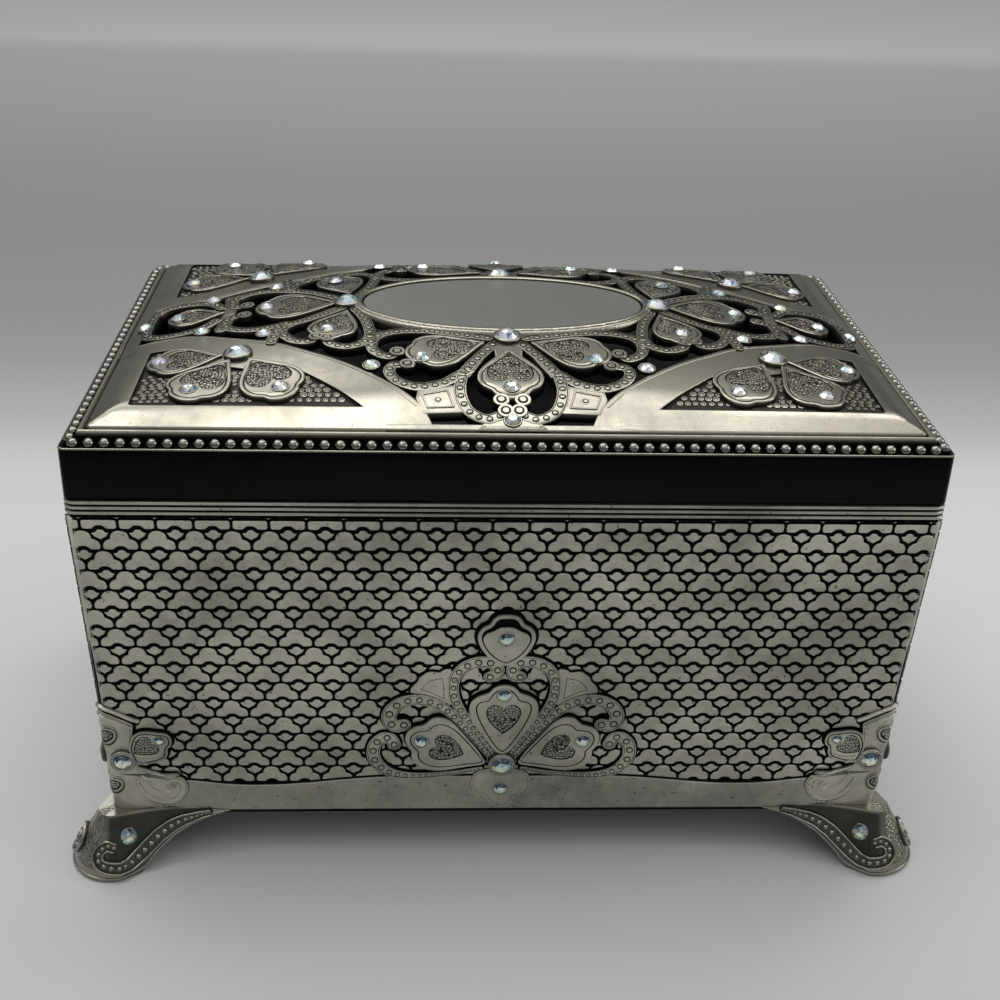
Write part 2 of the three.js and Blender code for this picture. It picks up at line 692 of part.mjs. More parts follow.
// Openwork of one quarter of the lid, as shares of the top's half length and half depth,
// x outwards from the middle and y from the middle towards the edge
const PETAL_SHARES = [
  { tip: [0, 0.512], end: [0, 0.83], width: 0.134 },
  { tip: [0.058, 0.446], end: [0.257, 0.54], width: 0.124 },
  { tip: [0.439, 0], end: [0.665, 0], width: 0.154 },
  { tip: [0.415, 0.1], end: [0.467, 0.384], width: 0.106 },
  { tip: [0.748, 0], end: [0.9, 0], width: 0.104 },
  { tip: [0.716, 0.5], end: [0.903, 0.508], width: 0.126 },
  { tip: [0.696, 0.552], end: [0.79, 0.84], width: 0.128 },
  { tip: [0.645, 0.552], end: [0.545, 0.832], width: 0.128 },
];
const STRAP_SHARES = [
  [[0.05, 0.408], [0.143, 0.368], [0.214, 0.342], [0.279, 0.344], [0.327, 0.38], [0.344, 0.45],
    [0.336, 0.52], [0.303, 0.564], [0.279, 0.534]],
  [[0.101, 0.67], [0.125, 0.7], [0.166, 0.76], [0.226, 0.784], [0.276, 0.746], [0.297, 0.684],
    [0.286, 0.632], [0.253, 0.632]],
  [[0.038, 0.468], [0.071, 0.56], [0.102, 0.65], [0.119, 0.72], [0.124, 0.82], [0.106, 0.906],
    [0.065, 0.946], [0.029, 0.93]],
  [[0.431, 0.052], [0.475, 0.12], [0.523, 0.184], [0.565, 0.228], [0.578, 0.3], [0.55, 0.386],
    [0.511, 0.414], [0.487, 0.38]],
  [[0.395, 0.08], [0.37, 0.19], [0.357, 0.28], [0.349, 0.38], [0.346, 0.44]],
  [[0.352, 0.39], [0.368, 0.45], [0.407, 0.478], [0.447, 0.448], [0.458, 0.398]],
  [[0.57, 0.212], [0.624, 0.244], [0.677, 0.244], [0.722, 0.2], [0.736, 0.13], [0.724, 0.072],
    [0.692, 0.06]],
  [[0.76, 0.08], [0.796, 0.16], [0.849, 0.192], [0.909, 0.188], [0.943, 0.136], [0.948, 0.06],
    [0.949, 0]],
  [[0.588, 0.25], [0.6, 0.4]],
];
const PLATE_SHARES = [
  [[0.133, 0.77], [0.226, 0.8], [0.232, 0.85], [0.212, 0.924], [0.118, 0.916]],
  [[0, 0.43], [0.038, 0.43], [0.034, 0.58], [0, 0.58]],
  [[0, 0.9], [0.05, 0.93], [0.085, 1], [0, 1]],
  [[0.03, 0.46], [0.058, 0.47], [0.13, 0.68], [0.1, 0.72], [0.06, 0.58]],
  [[0.719, 0], [0.719, 0.18], [0.76, 0.22], [0.8, 0.18], [0.766, 0.1], [0.76, 0]],
  [[1, 0.2], [0.956, 0.212], [0.819, 0.22], [0.704, 0.306], [0.588, 0.394], [0.499, 0.494],
    [0.412, 0.592], [0.295, 0.75], [0.219, 0.878], [0.183, 1], [0.99, 1], [1, 0.984]],
  [[0.956, 0], [1, 0], [1, 0.3], [0.956, 0.3]],
  [[0, 0.972], [0.3, 0.972], [0.3, 1], [0, 1]],
];
const RECESS_SHARES = [[0.91, 0.356], [0.855, 0.356], [0.784, 0.54], [0.594, 0.66],
  [0.506, 0.67], [0.356, 0.892], [0.91, 0.892]];
const SCROLL_SHARES = [[0.279, 0.534], [0.253, 0.632], [0.026, 0.856], [0.016, 0.91],
  [0.487, 0.378], [0.458, 0.394], [0.69, 0.062]];
const SMALL_CUP_SHARES = [[0.342, 0.636], [0.624, 0.304], [0.792, 0.204], [0, 0.95], [0.962, 0]];
const SMALL_STONE_SHARES = [[0, 0.758], [0.214, 0.556], [0.634, 0], [0.458, 0.282], [0.869, 0],
  [0.872, 0.5], [0.772, 0.754], [0.561, 0.754], ...SMALL_CUP_SHARES];
const FAN_CUP_SHARES = [[0, 0.406], [0.418, 0]];
const CORNER_CUP_SHARE = [0.678, 0.49];

const quarters = [[1, -1], [-1, -1], [1, 1], [-1, 1]];

function onTop([x, y]) {
  return new THREE.Vector2(x * TOP_HALF_X, y * TOP_HALF_Y);
}

// Outline of the first quarter set into all four, skipping repeats on an axis of symmetry
function inQuarters(points) {
  const key = (list) => list.map((point) => `${point.x.toFixed(3)},${point.y.toFixed(3)}`).sort().join();
  const seen = new Set();
  const outlines = [];
  for (const [signX, signY] of quarters) {
    const placed = points.map((point) => new THREE.Vector2(signX * point.x + 0, signY * point.y + 0));
    if (!seen.has(key(placed))) {
      seen.add(key(placed));
      outlines.push(outward(placed));
    }
  }
  return outlines;
}

// Every place of a quarter set into all four
function placesInQuarters(share) {
  return inQuarters([onTop(share)]).map(([point]) => point);
}

// Petals of the lid, drawn in by a margin on every side
function petalOutlines(margin) {
  return PETAL_SHARES.flatMap(({ tip, end, width }) => {
    const along = onTop(end).sub(onTop(tip)).setLength(margin);
    const start = onTop(tip).add(along);
    return inQuarters(petal(start, onTop(end).sub(along), width * TOP_HALF_Y - margin));
  });
}

// Pointed stone that is set straight into the metal, its back at the origin
function smallStone(height) {
  const cone = new THREE.ConeGeometry(SMALL_STONE_RADIUS, height, SMALL_STONE_SIDES);
  return toSolid(cone.rotateX(Math.PI / 2).translate(0, 0, height / 2));
}

function makeFiligree() {
  const low = LID_TOP_Z - CUT_OVERRUN;
  const high = LID_TOP_Z + DOME_FOOT_RISE + DOME_RISE + CUT_OVERRUN;
  const raise = (outlines) => outlines.map((points) => toSolid(prism(points, low, high)));
  const openworkStrap = STRAP_WIDTH * TOP_GROWTH;
  const openworkEnd = STRAP_END_RADIUS * TOP_GROWTH;
  const openworkCup = SMALL_CUP_RADIUS * TOP_GROWTH;
  const openworkRoot = CUP_RADIUS * TOP_GROWTH;
  const bezelX = PLAQUE_HALF_LENGTH + CLEARANCE;
  const bezelY = PLAQUE_HALF_DEPTH + CLEARANCE;
  const outer = oval(bezelX + BEZEL_WIDTH, bezelY + BEZEL_WIDTH, FINE_STEPS);
  const inner = oval(bezelX, bezelY, FINE_STEPS);
  const seat = oval(bezelX - BEZEL_SEAT, bezelY - BEZEL_SEAT, FINE_STEPS);
  const outlines = [
    ...PLATE_SHARES.flatMap((points) => inQuarters(points.map(onTop))),
    ...STRAP_SHARES.flatMap((points) => inQuarters(strap(points.map(onTop), openworkStrap))),
    ...SCROLL_SHARES.flatMap((share) => placesInQuarters(share)
      .map((place) => disc(place, openworkEnd, CUP_SIDES))),
    ...SMALL_CUP_SHARES.flatMap((share) => placesInQuarters(share)
      .map((place) => disc(place, openworkCup, CUP_SIDES))),
    ...petalOutlines(0),
  ];
  let top = join(raise(outlines)).intersect(domeSlab(-TOP_THICKNESS, 0));
  const recess = join(raise(inQuarters(RECESS_SHARES.map(onTop))));
  top = top.subtract(recess.intersect(domeSlab(-RECESS_DEPTH, CUT_OVERRUN)));
  top = top.add(join(raise(petalOutlines(PETAL_MARGIN))).intersect(domeSlab(-TOP_THICKNESS / 2, PETAL_RISE)));
  const ringLow = plaqueBottomZ - CLEARANCE - BEZEL_SEAT_THICKNESS;
  top = top.add(toSolid(prism(outer, ringLow, bezelTopZ)));
  top = top.subtract(toSolid(prism(inner, plaqueBottomZ - CLEARANCE, high)));
  for (const share of [...FAN_CUP_SHARES, CORNER_CUP_SHARE]) {
    for (const place of placesInQuarters(share)) {
      const level = domeHeight(place.x, place.y) + CUP_RISE;
      const cup = rod(openworkRoot, level - CUP_RISE - TOP_THICKNESS, level, STONE_SIDES);
      const pocket = rod(STONE_RADIUS + CLEARANCE, level - CUP_POCKET, high, STONE_SIDES);
      top = top.add(toSolid(cup.translate(place.x, place.y, 0)));
      top = top.subtract(toSolid(pocket.translate(place.x, place.y, 0)));
    }
  }
  top = top.subtract(toSolid(prism(seat, low, high)));
  const stones = SMALL_STONE_SHARES.flatMap(placesInQuarters).map((place) => {
    const level = domeHeight(place.x, place.y);
    return smallStone(SMALL_STONE_RISE + TOP_THICKNESS)
      .translate([place.x, place.y, level + PETAL_RISE / 2 - TOP_THICKNESS]);
  });
  return toGeometry(top.add(join(stones)));
}

// Lid frame: polished skirt, bead channel, raised moulding and the ledge under the top
function lidProfile() {
  const channelEnd = LIP_WIDTH + CHANNEL_WIDTH;
  const ledgeZ = LID_TOP_Z + CLEARANCE;
  return [
    [0, SKIRT_BOTTOM_Z],
    [0, LID_TOP_Z],
    [LIP_WIDTH / 2, LID_TOP_Z + LIP_RISE],
    [LIP_WIDTH, LID_TOP_Z],
    [LIP_WIDTH, LID_TOP_Z - CHANNEL_DEPTH],
    [channelEnd, LID_TOP_Z - CHANNEL_DEPTH],
    [channelEnd, LID_TOP_Z],
    [channelEnd + RISER_LEAN, LID_TOP_Z + MOULDING_RISE - RISER_LEAN],
    [channelEnd + 2 * RISER_LEAN, LID_TOP_Z + MOULDING_RISE],
    [MOULDING_WIDTH, LID_TOP_Z + MOULDING_RISE],
    [MOULDING_WIDTH, ledgeZ],
    [MOULDING_WIDTH + TOP_LEDGE_WIDTH, ledgeZ],
    [MOULDING_WIDTH + TOP_LEDGE_WIDTH, FLANGE_BOTTOM_Z],
    [SKIRT_WALL, FLANGE_BOTTOM_Z],
    [SKIRT_WALL, SKIRT_BOTTOM_Z],
  ];
}

// String of beads round the channel: full sections at the beads, small ones between
function makeBeads() {
  const inset = LIP_WIDTH + CHANNEL_WIDTH / 2;
  const halfX = LID_HALF_X - inset;
  const halfY = LID_HALF_Y - inset;
  const turn = CHANNEL_WIDTH / 3;
  const path = new THREE.Path();
  path.moveTo(halfX, turn - halfY);
  path.lineTo(halfX, halfY - turn);
  path.absarc(halfX - turn, halfY - turn, turn, 0, Math.PI / 2);
  path.lineTo(turn - halfX, halfY);
  path.absarc(turn - halfX, halfY - turn, turn, Math.PI / 2, Math.PI);
  path.lineTo(-halfX, turn - halfY);
  path.absarc(turn - halfX, turn - halfY, turn, Math.PI, Math.PI * 1.5);
  path.lineTo(halfX - turn, -halfY);
  path.absarc(halfX - turn, turn - halfY, turn, Math.PI * 1.5, Math.PI * 2);
  const beads = Math.round(path.getLength() / BEAD_PITCH);
  const level = LID_TOP_Z - CHANNEL_DEPTH + CLEARANCE + BEAD_RADIUS;
  const rings = [];
  for (let step = 0; step < beads * 2; step += 1) {
    const centre = path.getPointAt(step / (beads * 2));
    const tangent = path.getTangentAt(step / (beads * 2));
    const radius = step % 2 === 0 ? BEAD_RADIUS : BEAD_RADIUS * BEAD_NECK_SHARE;
    rings.push(BEAD_SECTION_SHARES.map(([across, up]) => new THREE.Vector3(
      centre.x + tangent.y * across * radius,
      centre.y - tangent.x * across * radius,
      level + up * radius,
    )));
  }
  return skin(rings, true);
}

// Faceted stone with a girdle and a pointed crown, its back at the origin
function makeStone() {
  const profile = [
    new THREE.Vector2(0, 0),
    new THREE.Vector2(STONE_RADIUS, 0),
    new THREE.Vector2(STONE_RADIUS, STONE_GIRDLE),
    new THREE.Vector2(STONE_RADIUS * STONE_TABLE_SHARE, STONE_GIRDLE + STONE_CROWN / 2),
    new THREE.Vector2(0, STONE_GIRDLE + STONE_CROWN),
  ];
  return revolve(profile, STONE_SIDES);
}

// Applied palmette on the front wall, as shares of its half width and height,
// x outwards from the middle and y downwards from its top
const ORNAMENT_PETAL_SHARES = [
  { tip: [0, 0.687], end: [0, 0.326], width: 0.246 },
  { tip: [0.13, 0.757], end: [0.713, 0.596], width: 0.21 },
  { tip: [0, 0.81], end: [0, 0.993], width: 0.226 },
];
const ORNAMENT_STRAP_SHARES = [
  [[0.1, 0.724], [0.25, 0.63], [0.32, 0.51], [0.293, 0.382], [0.207, 0.307], [0.113, 0.289]],
  [[0.32, 0.51], [0.433, 0.446], [0.633, 0.417], [0.817, 0.443], [0.887, 0.504], [0.84, 0.559],
    [0.727, 0.556]],
  [[0.06, 0.785], [0.333, 0.813], [0.667, 0.822], [0.867, 0.794], [0.967, 0.724], [0.91, 0.659],
    [0.793, 0.659]],
];
const ORNAMENT_PLATE_SHARES = [
  [[0.3, 0.41], [0.4, 0.331], [0.633, 0.337], [0.65, 0.4], [0.43, 0.47]],
  [[0, 0.14], [0.13, 0.16], [0.05, 0.3], [0, 0.32]],
  [[0, 0.68], [0.2, 0.68], [0.2, 0.81], [0, 0.82]],
];
const ORNAMENT_LOBE_SHARES = [[0, 0.067, 0.12], [0.13, 0.15, 0.087], [0.087, 0.289, 0.073]];
const ORNAMENT_SCROLL_SHARES = [[0.113, 0.289], [0.727, 0.556], [0.793, 0.659]];
const ORNAMENT_STONE_SHARES = [[0, 0.131], [0, 0.409], [0.6, 0.637], [0, 0.896]];
const ORNAMENT_CUP_SHARE = [0, 0.767];

// Outline of the right half and its mirror image, in the plane of the wall
function mirrored(points) {
  const other = points.map((point) => new THREE.Vector2(0 - point.x, point.y));
  return [outward(points), outward(other)];
}

function onWall([x, y]) {
  return new THREE.Vector2(x * ORNAMENT_HALF_WIDTH, -ORNAMENT_DROP - y * ORNAMENT_HEIGHT);
}

function makeFrontOrnament() {
  const low = CLEARANCE;
  const high = low + ORNAMENT_THICKNESS;
  const petals = ORNAMENT_PETAL_SHARES.flatMap(({ tip, end, width }) => (
    mirrored(petal(onWall(tip), onWall(end), width * ORNAMENT_HALF_WIDTH))));
  const flat = [
    ...ORNAMENT_STRAP_SHARES.flatMap((points) => mirrored(strap(points.map(onWall), STRAP_WIDTH))),
    ...ORNAMENT_PLATE_SHARES.flatMap((points) => mirrored(points.map(onWall))),
    ...ORNAMENT_LOBE_SHARES.flatMap(([x, y, radius]) => mirrored(
      disc(onWall([x, y]), radius * ORNAMENT_HALF_WIDTH, STONE_SIDES))),
    ...ORNAMENT_SCROLL_SHARES.flatMap((share) => mirrored(
      disc(onWall(share), STRAP_END_RADIUS, CUP_SIDES))),
  ];
  let plate = join(flat.map((points) => toSolid(prism(points, low, high))));
  plate = plate.add(join(petals.map((points) => toSolid(prism(points, low, high + PETAL_RISE)))));
  const centre = onWall(ORNAMENT_CUP_SHARE);
  const cup = rod(CUP_RADIUS, low, high + CUP_RISE, STONE_SIDES).translate(centre.x, centre.y, 0);
  const pocketLow = high + CUP_RISE - CUP_POCKET;
  const pocket = rod(STONE_RADIUS + CLEARANCE, pocketLow, high + CUT_OVERRUN, STONE_SIDES);
  plate = plate.add(toSolid(cup)).subtract(toSolid(pocket.translate(centre.x, centre.y, 0)));
  const stones = ORNAMENT_STONE_SHARES.flatMap((share) => mirrored([onWall(share)])).map(([place]) => {
    return smallStone(SMALL_STONE_RISE).translate([place.x, place.y, high]);
  });
  return toGeometry(plate.add(join(stones)));
}

// Corner ornament: a thin skin wrapped round the case corner, cut to the same outline on
// both walls; shares of its reach along the wall and of its height up from the case bottom
const CORNER_PLATE_SHARES = [[-0.3, 0.01], [0.42, 0.02], [0.79, 0.06], [0.97, 0.18], [0.89, 0.3],
  [0.63, 0.36], [0.42, 0.43], [0.33, 0.5], [0.5, 0.72], [0.36, 0.83], [0.16, 0.92], [-0.3, 1]];
const CORNER_PETAL_SHARE = { tip: [0.16, 0.52], end: [0.79, 0.68], width: 0.27 };

function makeCornerOrnament(signX, signY) {
  const lift = CORNER_ORNAMENT_LIFT;
  const outer = lift + ORNAMENT_THICKNESS;
  const foot = CASE_BOTTOM_Z + CLEARANCE;
  const head = foot + CORNER_ORNAMENT_HEIGHT;
  const lean = (height) => CASE_TAPER * (WALL_TOP_Z - height) / CASE_WALL_HEIGHT;
  const profile = [
    [lean(foot) - lift, foot],
    [lean(head) - lift, head],
    [lean(head) - outer, head],
    [lean(foot) - outer, foot],
  ];
  const sleeve = toSolid(sweepFrame(profile, CASE_HALF_X, CASE_HALF_Y, CASE_CORNER_RADIUS));
  const reach = CORNER_ORNAMENT_REACH;
  const place = ([along, up]) => new THREE.Vector2(along * reach, foot + up * CORNER_ORNAMENT_HEIGHT);
  const plate = CORNER_PLATE_SHARES.map(place);
  const leaf = petal(
    place(CORNER_PETAL_SHARE.tip),
    place(CORNER_PETAL_SHARE.end),
    CORNER_PETAL_SHARE.width * reach,
  );
  const cutter = (outline) => {
    const upright = toSolid(prism(outward(outline), 0, reach)).rotate([90, 0, 0]);
    const front = upright.rotate([0, 0, 180]);
    const side = upright.rotate([0, 0, -90]).scale([-1, 1, 1]);
    return front.add(side).translate([FOOT_CORNER_X, FOOT_CORNER_Y, 0]);
  };
  const quarter = toSolid(block(
    FOOT_CORNER_X - reach,
    FOOT_CORNER_X + reach,
    FOOT_CORNER_Y - reach,
    FOOT_CORNER_Y + reach,
    foot,
    head,
  ));
  const piece = sleeve.intersect(quarter).intersect(cutter(plate).add(cutter(leaf)));
  return toGeometry(piece.scale([signX, signY, 1]));
}

// Flocked tray: a shelf for the ring rolls over the movement and a deep well beside it
function caseInside(height, inset) {
  const lean = CASE_TAPER * (WALL_TOP_Z - height) / CASE_WALL_HEIGHT;
  const back = CASE_WALL + lean + inset;
  return roundedPlan(CASE_HALF_X - back, CASE_HALF_Y - back, CASE_CORNER_RADIUS, CORNER_STEPS)
    .map((point) => new THREE.Vector3(point.x, point.y, height));
}

const rodX = wormX;
const trayBottomZ = bedBottom + BOSS_HEIGHT + CLEARANCE;
const trayTopZ = RIM_TOP_Z - TRAY_TOP_DROP;
const rodInside = CASE_WALL + TRAY_GAP + TRAY_WALL + STOP_ROD_INSET + CASE_TAPER / 2;
const rodY = CASE_HALF_Y - rodInside;

function makeTray() {
  const outer = toSolid(skin([caseInside(trayBottomZ, TRAY_GAP), caseInside(trayTopZ, TRAY_GAP)], false));
  const inset = TRAY_GAP + TRAY_WALL;
  const cutTop = trayTopZ + CUT_OVERRUN;
  const inner = toSolid(skin([caseInside(trayBottomZ, inset), caseInside(cutTop, inset)], false));
  const dividerX = shelfSplitX - DIVIDER_WALL;
  const floorZ = trayBottomZ + TRAY_WALL;
  const over = CASE_HALF_X + CUT_OVERRUN;
  const rooms = toSolid(block(-over, over, -over, over, DIVIDER_TOP_Z, cutTop))
    .add(toSolid(block(-over, dividerX, -over, over, SHELF_TOP_Z, cutTop)))
    .add(toSolid(block(shelfSplitX, over, -over, over, floorZ, cutTop)));
  const chamberTop = SHELF_TOP_Z - TRAY_WALL;
  const chamber = toSolid(block(-over, dividerX, -over, over, 0, chamberTop));
  const holeTop = SHELF_TOP_Z + CUT_OVERRUN;
  const hole = rod(STOP_ROD_RADIUS + CLEARANCE, chamberTop - CUT_OVERRUN, holeTop, SHAFT_STEPS);
  const tray = outer.subtract(inner.intersect(rooms)).subtract(chamber);
  return toGeometry(tray.subtract(toSolid(hole.translate(rodX, rodY, 0))));
}

// Ring roll: a bolster with a rounded back and drawn-in ends, lying front to rear
const ROLL_END_SHARES = [0, 0.02, 0.06, 0.12, 0.88, 0.94, 0.98, 1];
const ROLL_SIZE_SHARES = [0.62, 0.82, 0.95, 1, 1, 0.95, 0.82, 0.62];
const ROLL_SIDES = 12;
const ROLL_SQUARENESS = 0.7;

const rollSpanLow = shelfSplitX - DIVIDER_WALL;
const rollSpanHigh = CASE_HALF_X - CASE_WALL - TRAY_GAP - TRAY_WALL - CASE_TAPER;
const rollBack = CASE_WALL + TRAY_GAP + TRAY_WALL + CASE_TAPER / 2;
const rollFrontY = rollBack + ROLL_FRONT_GAP - CASE_HALF_Y;
const rollRearY = CASE_HALF_Y - rollBack - ROLL_REAR_GAP;
const rollPitch = (rollSpanHigh + rollSpanLow - ROLL_GAP) / ROLL_COUNT;

function makeRoll(index) {
  const centreX = rollSpanLow - ROLL_GAP / 2 - rollPitch * (index + 0.5);
  const halfWidth = (rollPitch - ROLL_GAP) / 2;
  const base = SHELF_TOP_Z + CLEARANCE;
  const rings = ROLL_END_SHARES.map((share, at) => {
    const size = ROLL_SIZE_SHARES[at];
    const y = rollFrontY + share * (rollRearY - rollFrontY);
    const ring = [];
    for (let side = 0; side < ROLL_SIDES; side += 1) {
      const angle = side / ROLL_SIDES * Math.PI * 2;
      const across = Math.sign(Math.cos(angle)) * Math.abs(Math.cos(angle)) ** ROLL_SQUARENESS;
      const up = Math.sign(Math.sin(angle)) * Math.abs(Math.sin(angle)) ** ROLL_SQUARENESS;
      ring.push(new THREE.Vector3(
        centreX + across * halfWidth * size,
        y,
        base + ROLL_HEIGHT * size * (1 + up) / 2,
      ));
    }
    return ring;
  });
  return skin(rings, false, inElevation);
}

// Bed of the movement with its bearings and the seat of the comb
const bearingTop = trainZ + BEARING_WIDTH / 2;
const combTipY = trainY - CYLINDER_RADIUS - CYLINDER_PIN_RISE - CLEARANCE;
const combRootY = combTipY - COMB_TOOTH_LENGTH;
const combBackY = combRootY - COMB_BODY_DEPTH;
const combLow = trainZ - COMB_THICKNESS / 2;
const combScrewPlaces = COMB_SCREW_SHARES.map((share) => new THREE.Vector2(
  cylinderX + share * CYLINDER_LENGTH,
  combBackY + COMB_BODY_DEPTH / 2,
));

function makeBed() {
  const halfBearing = BEARING_WIDTH / 2;
  const low = bedTop - BED_THICKNESS / 2;
  let bed = toSolid(block(
    bedLeft,
    bedRight,
    MOVEMENT_Y - BED_DEPTH / 2,
    MOVEMENT_Y + BED_DEPTH / 2,
    bedBottom,
    bedTop,
  ));
  const bearing = (x, y0, y1) => toSolid(block(
    x,
    x + BEARING_THICKNESS,
    y0 - halfBearing,
    y1 + halfBearing,
    low,
    bearingTop,
  ));
  bed = bed.add(bearing(leftBearingX, trainY, trainY));
  bed = bed.add(bearing(rightBearingX, trainY, secondY));
  bed = bed.add(bearing(outerBearingX, secondY, secondY));
  const seatTop = combLow - CLEARANCE;
  const seat = block(cylinderX, cylinderX + CYLINDER_LENGTH, combBackY, combRootY, low, seatTop);
  bed = bed.add(toSolid(seat));
  const overX = CASE_HALF_X;
  const trainBore = rod(ARBOR_RADIUS + CLEARANCE, -overX, overX, SHAFT_STEPS, 'x');
  bed = bed.subtract(toSolid(trainBore.translate(0, trainY, trainZ)));
  const secondBore = rod(ARBOR_RADIUS + CLEARANCE, -overX, overX, SHAFT_STEPS, 'x');
  bed = bed.subtract(toSolid(secondBore.translate(0, secondY, trainZ)));
  const keyBore = rod(KEY_ARBOR_RADIUS + CLEARANCE, 0, bedTop + CUT_OVERRUN, SHAFT_STEPS);
  bed = bed.subtract(toSolid(keyBore.translate(barrelX, trainY, 0)));
  for (const place of movementScrewPlaces) {
    const bore = rod(MOVEMENT_SCREW_RADIUS + CLEARANCE, 0, bedTop + CUT_OVERRUN, SHAFT_STEPS);
    bed = bed.subtract(toSolid(bore.translate(place.x, place.y, 0)));
  }
  for (const place of combScrewPlaces) {
    const bore = rod(COMB_SCREW_RADIUS + CLEARANCE, bedTop, trainZ + CUT_OVERRUN, SHAFT_STEPS);
    bed = bed.subtract(toSolid(bore.translate(place.x, place.y, 0)));
  }
  return toGeometry(bed);
}

// Comb: steel tongues cut into one plate, tuned by the depth of their slots
function makeComb() {
  const pitch = CYLINDER_LENGTH / COMB_TEETH;
  const points = [new THREE.Vector2(cylinderX, combBackY)];
  points.push(new THREE.Vector2(cylinderX + CYLINDER_LENGTH, combBackY));
  points.push(new THREE.Vector2(cylinderX + CYLINDER_LENGTH, combTipY));
  for (let tooth = COMB_TEETH - 1; tooth > 0; tooth -= 1) {
    const x = cylinderX + tooth * pitch;
    const root = combRootY + COMB_TOOTH_LENGTH * COMB_SLOT_RISE_SHARE * tooth / COMB_TEETH;
    points.push(new THREE.Vector2(x + COMB_SLOT / 2, combTipY));
    points.push(new THREE.Vector2(x + COMB_SLOT / 2, root));
    points.push(new THREE.Vector2(x - COMB_SLOT / 2, root));
    points.push(new THREE.Vector2(x - COMB_SLOT / 2, combTipY));
  }
  points.push(new THREE.Vector2(cylinderX, combTipY));
  let comb = toSolid(prism(points, combLow, combLow + COMB_THICKNESS));
  for (const place of combScrewPlaces) {
    const boreTop = combLow + CUT_OVERRUN;
    const bore = rod(COMB_SCREW_RADIUS + CLEARANCE, combLow - CUT_OVERRUN, boreTop, SHAFT_STEPS);
    comb = comb.subtract(toSolid(bore.translate(place.x, place.y, 0)));
  }
  return toGeometry(comb);
}

// Screw with a flat head; its shank runs from the head to the tip along +Z or -Z
function makeScrew(shankRadius, headRadius, headLow, headHigh, tip) {
  const down = tip < headLow;
  const profile = down ? [
    new THREE.Vector2(0, tip),
    new THREE.Vector2(shankRadius, tip),
    new THREE.Vector2(shankRadius, headLow),
    new THREE.Vector2(headRadius, headLow),
    new THREE.Vector2(headRadius, headHigh),
    new THREE.Vector2(0, headHigh),
  ] : [
    new THREE.Vector2(0, headLow),
    new THREE.Vector2(headRadius, headLow),
    new THREE.Vector2(headRadius, headHigh),
    new THREE.Vector2(shankRadius, headHigh),
    new THREE.Vector2(shankRadius, tip),
    new THREE.Vector2(0, tip),
  ];
  return revolve(profile, SHAFT_STEPS);
}

// Ring of straight teeth about the axis of a wheel that turns on X
function toothRing(count, root, tip, width, x, face, phase) {
  const teeth = [];
  for (let tooth = 0; tooth < count; tooth += 1) {
    const bar = toSolid(block(x, x + face, root, tip, -width / 2, width / 2));
    teeth.push(bar.rotate([(tooth + phase) * 360 / count, 0, 0]));
  }
  return join(teeth);
}

// Spring barrel: a drum with a crown of teeth round its top edge
function makeBarrel() {
  const low = bedTop + BARREL_LIFT;
  let barrel = toSolid(rod(BARREL_RADIUS, low, barrelTop, ROUND_STEPS));
  const width = crownPitch * TOOTH_SHARE;
  for (let tooth = 0; tooth < CROWN_TEETH; tooth += 1) {
    const bar = block(
      BARREL_RADIUS - CROWN_WIDTH,
      BARREL_RADIUS - CLEARANCE / 2,
      -width / 2,
      width / 2,
      barrelTop - CROWN_HEIGHT,
      crownTop,
    );
    barrel = barrel.add(toSolid(bar).rotate([0, 0, (tooth + 0.5) * 360 / CROWN_TEETH]));
  }
  const bore = rod(BARREL_BORE, low - CUT_OVERRUN, crownTop + CUT_OVERRUN, ROUND_STEPS);
  return toGeometry(barrel.subtract(toSolid(bore)).translate([barrelX, trainY, 0]));
}

// Music cylinder: pinned barrel with its pinion, wheel and arbor
function makeCylinder() {
  const arborEnd = rightBearingX + BEARING_THICKNESS;
  let solid = toSolid(rod(ARBOR_RADIUS, pinionLowX, arborEnd, SHAFT_STEPS, 'x'));
  const drum = rod(CYLINDER_RADIUS, cylinderX, cylinderX + CYLINDER_LENGTH, ROUND_STEPS, 'x');
  solid = solid.add(toSolid(drum));
  const leafWidth = crownPitch * TOOTH_SHARE;
  const hub = pinionPitchRadius - CROWN_HEIGHT / 2 - CLEARANCE / 2;
  solid = solid.add(toSolid(rod(hub, pinionLowX, pinionLowX + PINION_FACE, SHAFT_STEPS, 'x')));
  const leaves = toothRing(
    PINION_LEAVES,
    hub / 2,
    pinionPitchRadius + LEAF_LENGTH,
    leafWidth,
    pinionLowX,
    PINION_FACE,
    0,
  );
  solid = solid.add(leaves);
  const toothWidth = Math.PI * 2 * SECOND_PITCH_RADIUS / PINION_LEAVES * TOOTH_SHARE;
  const root = wheelPitchRadius - WHEEL_TOOTH_LENGTH - CLEARANCE / 2;
  solid = solid.add(toSolid(rod(root, wheelX, wheelX + WHEEL_FACE, WHEEL_TEETH, 'x')));
  solid = solid.add(toothRing(
    WHEEL_TEETH,
    root - WHEEL_TOOTH_LENGTH,
    wheelPitchRadius + WHEEL_TOOTH_LENGTH,
    toothWidth,
    wheelX,
    WHEEL_FACE,
    0.5,
  ));
  const pitch = CYLINDER_LENGTH / CYLINDER_TRACKS;
  const pinDepth = CYLINDER_RADIUS + CYLINDER_PIN_RISE;
  const half = CYLINDER_PIN_WIDTH / 2;
  for (let pin = 0; pin < CYLINDER_TRACKS * CYLINDER_PINS_PER_TRACK; pin += 1) {
    const x = cylinderX + (pin % CYLINDER_TRACKS + 0.5) * pitch;
    const bar = toSolid(block(x - half, x + half, CYLINDER_RADIUS / 2, pinDepth, -half, half));
    solid = solid.add(bar.rotate([pin * PIN_TURN, 0, 0]));
  }
  return toGeometry(solid.translate([0, trainY, trainZ]));
}

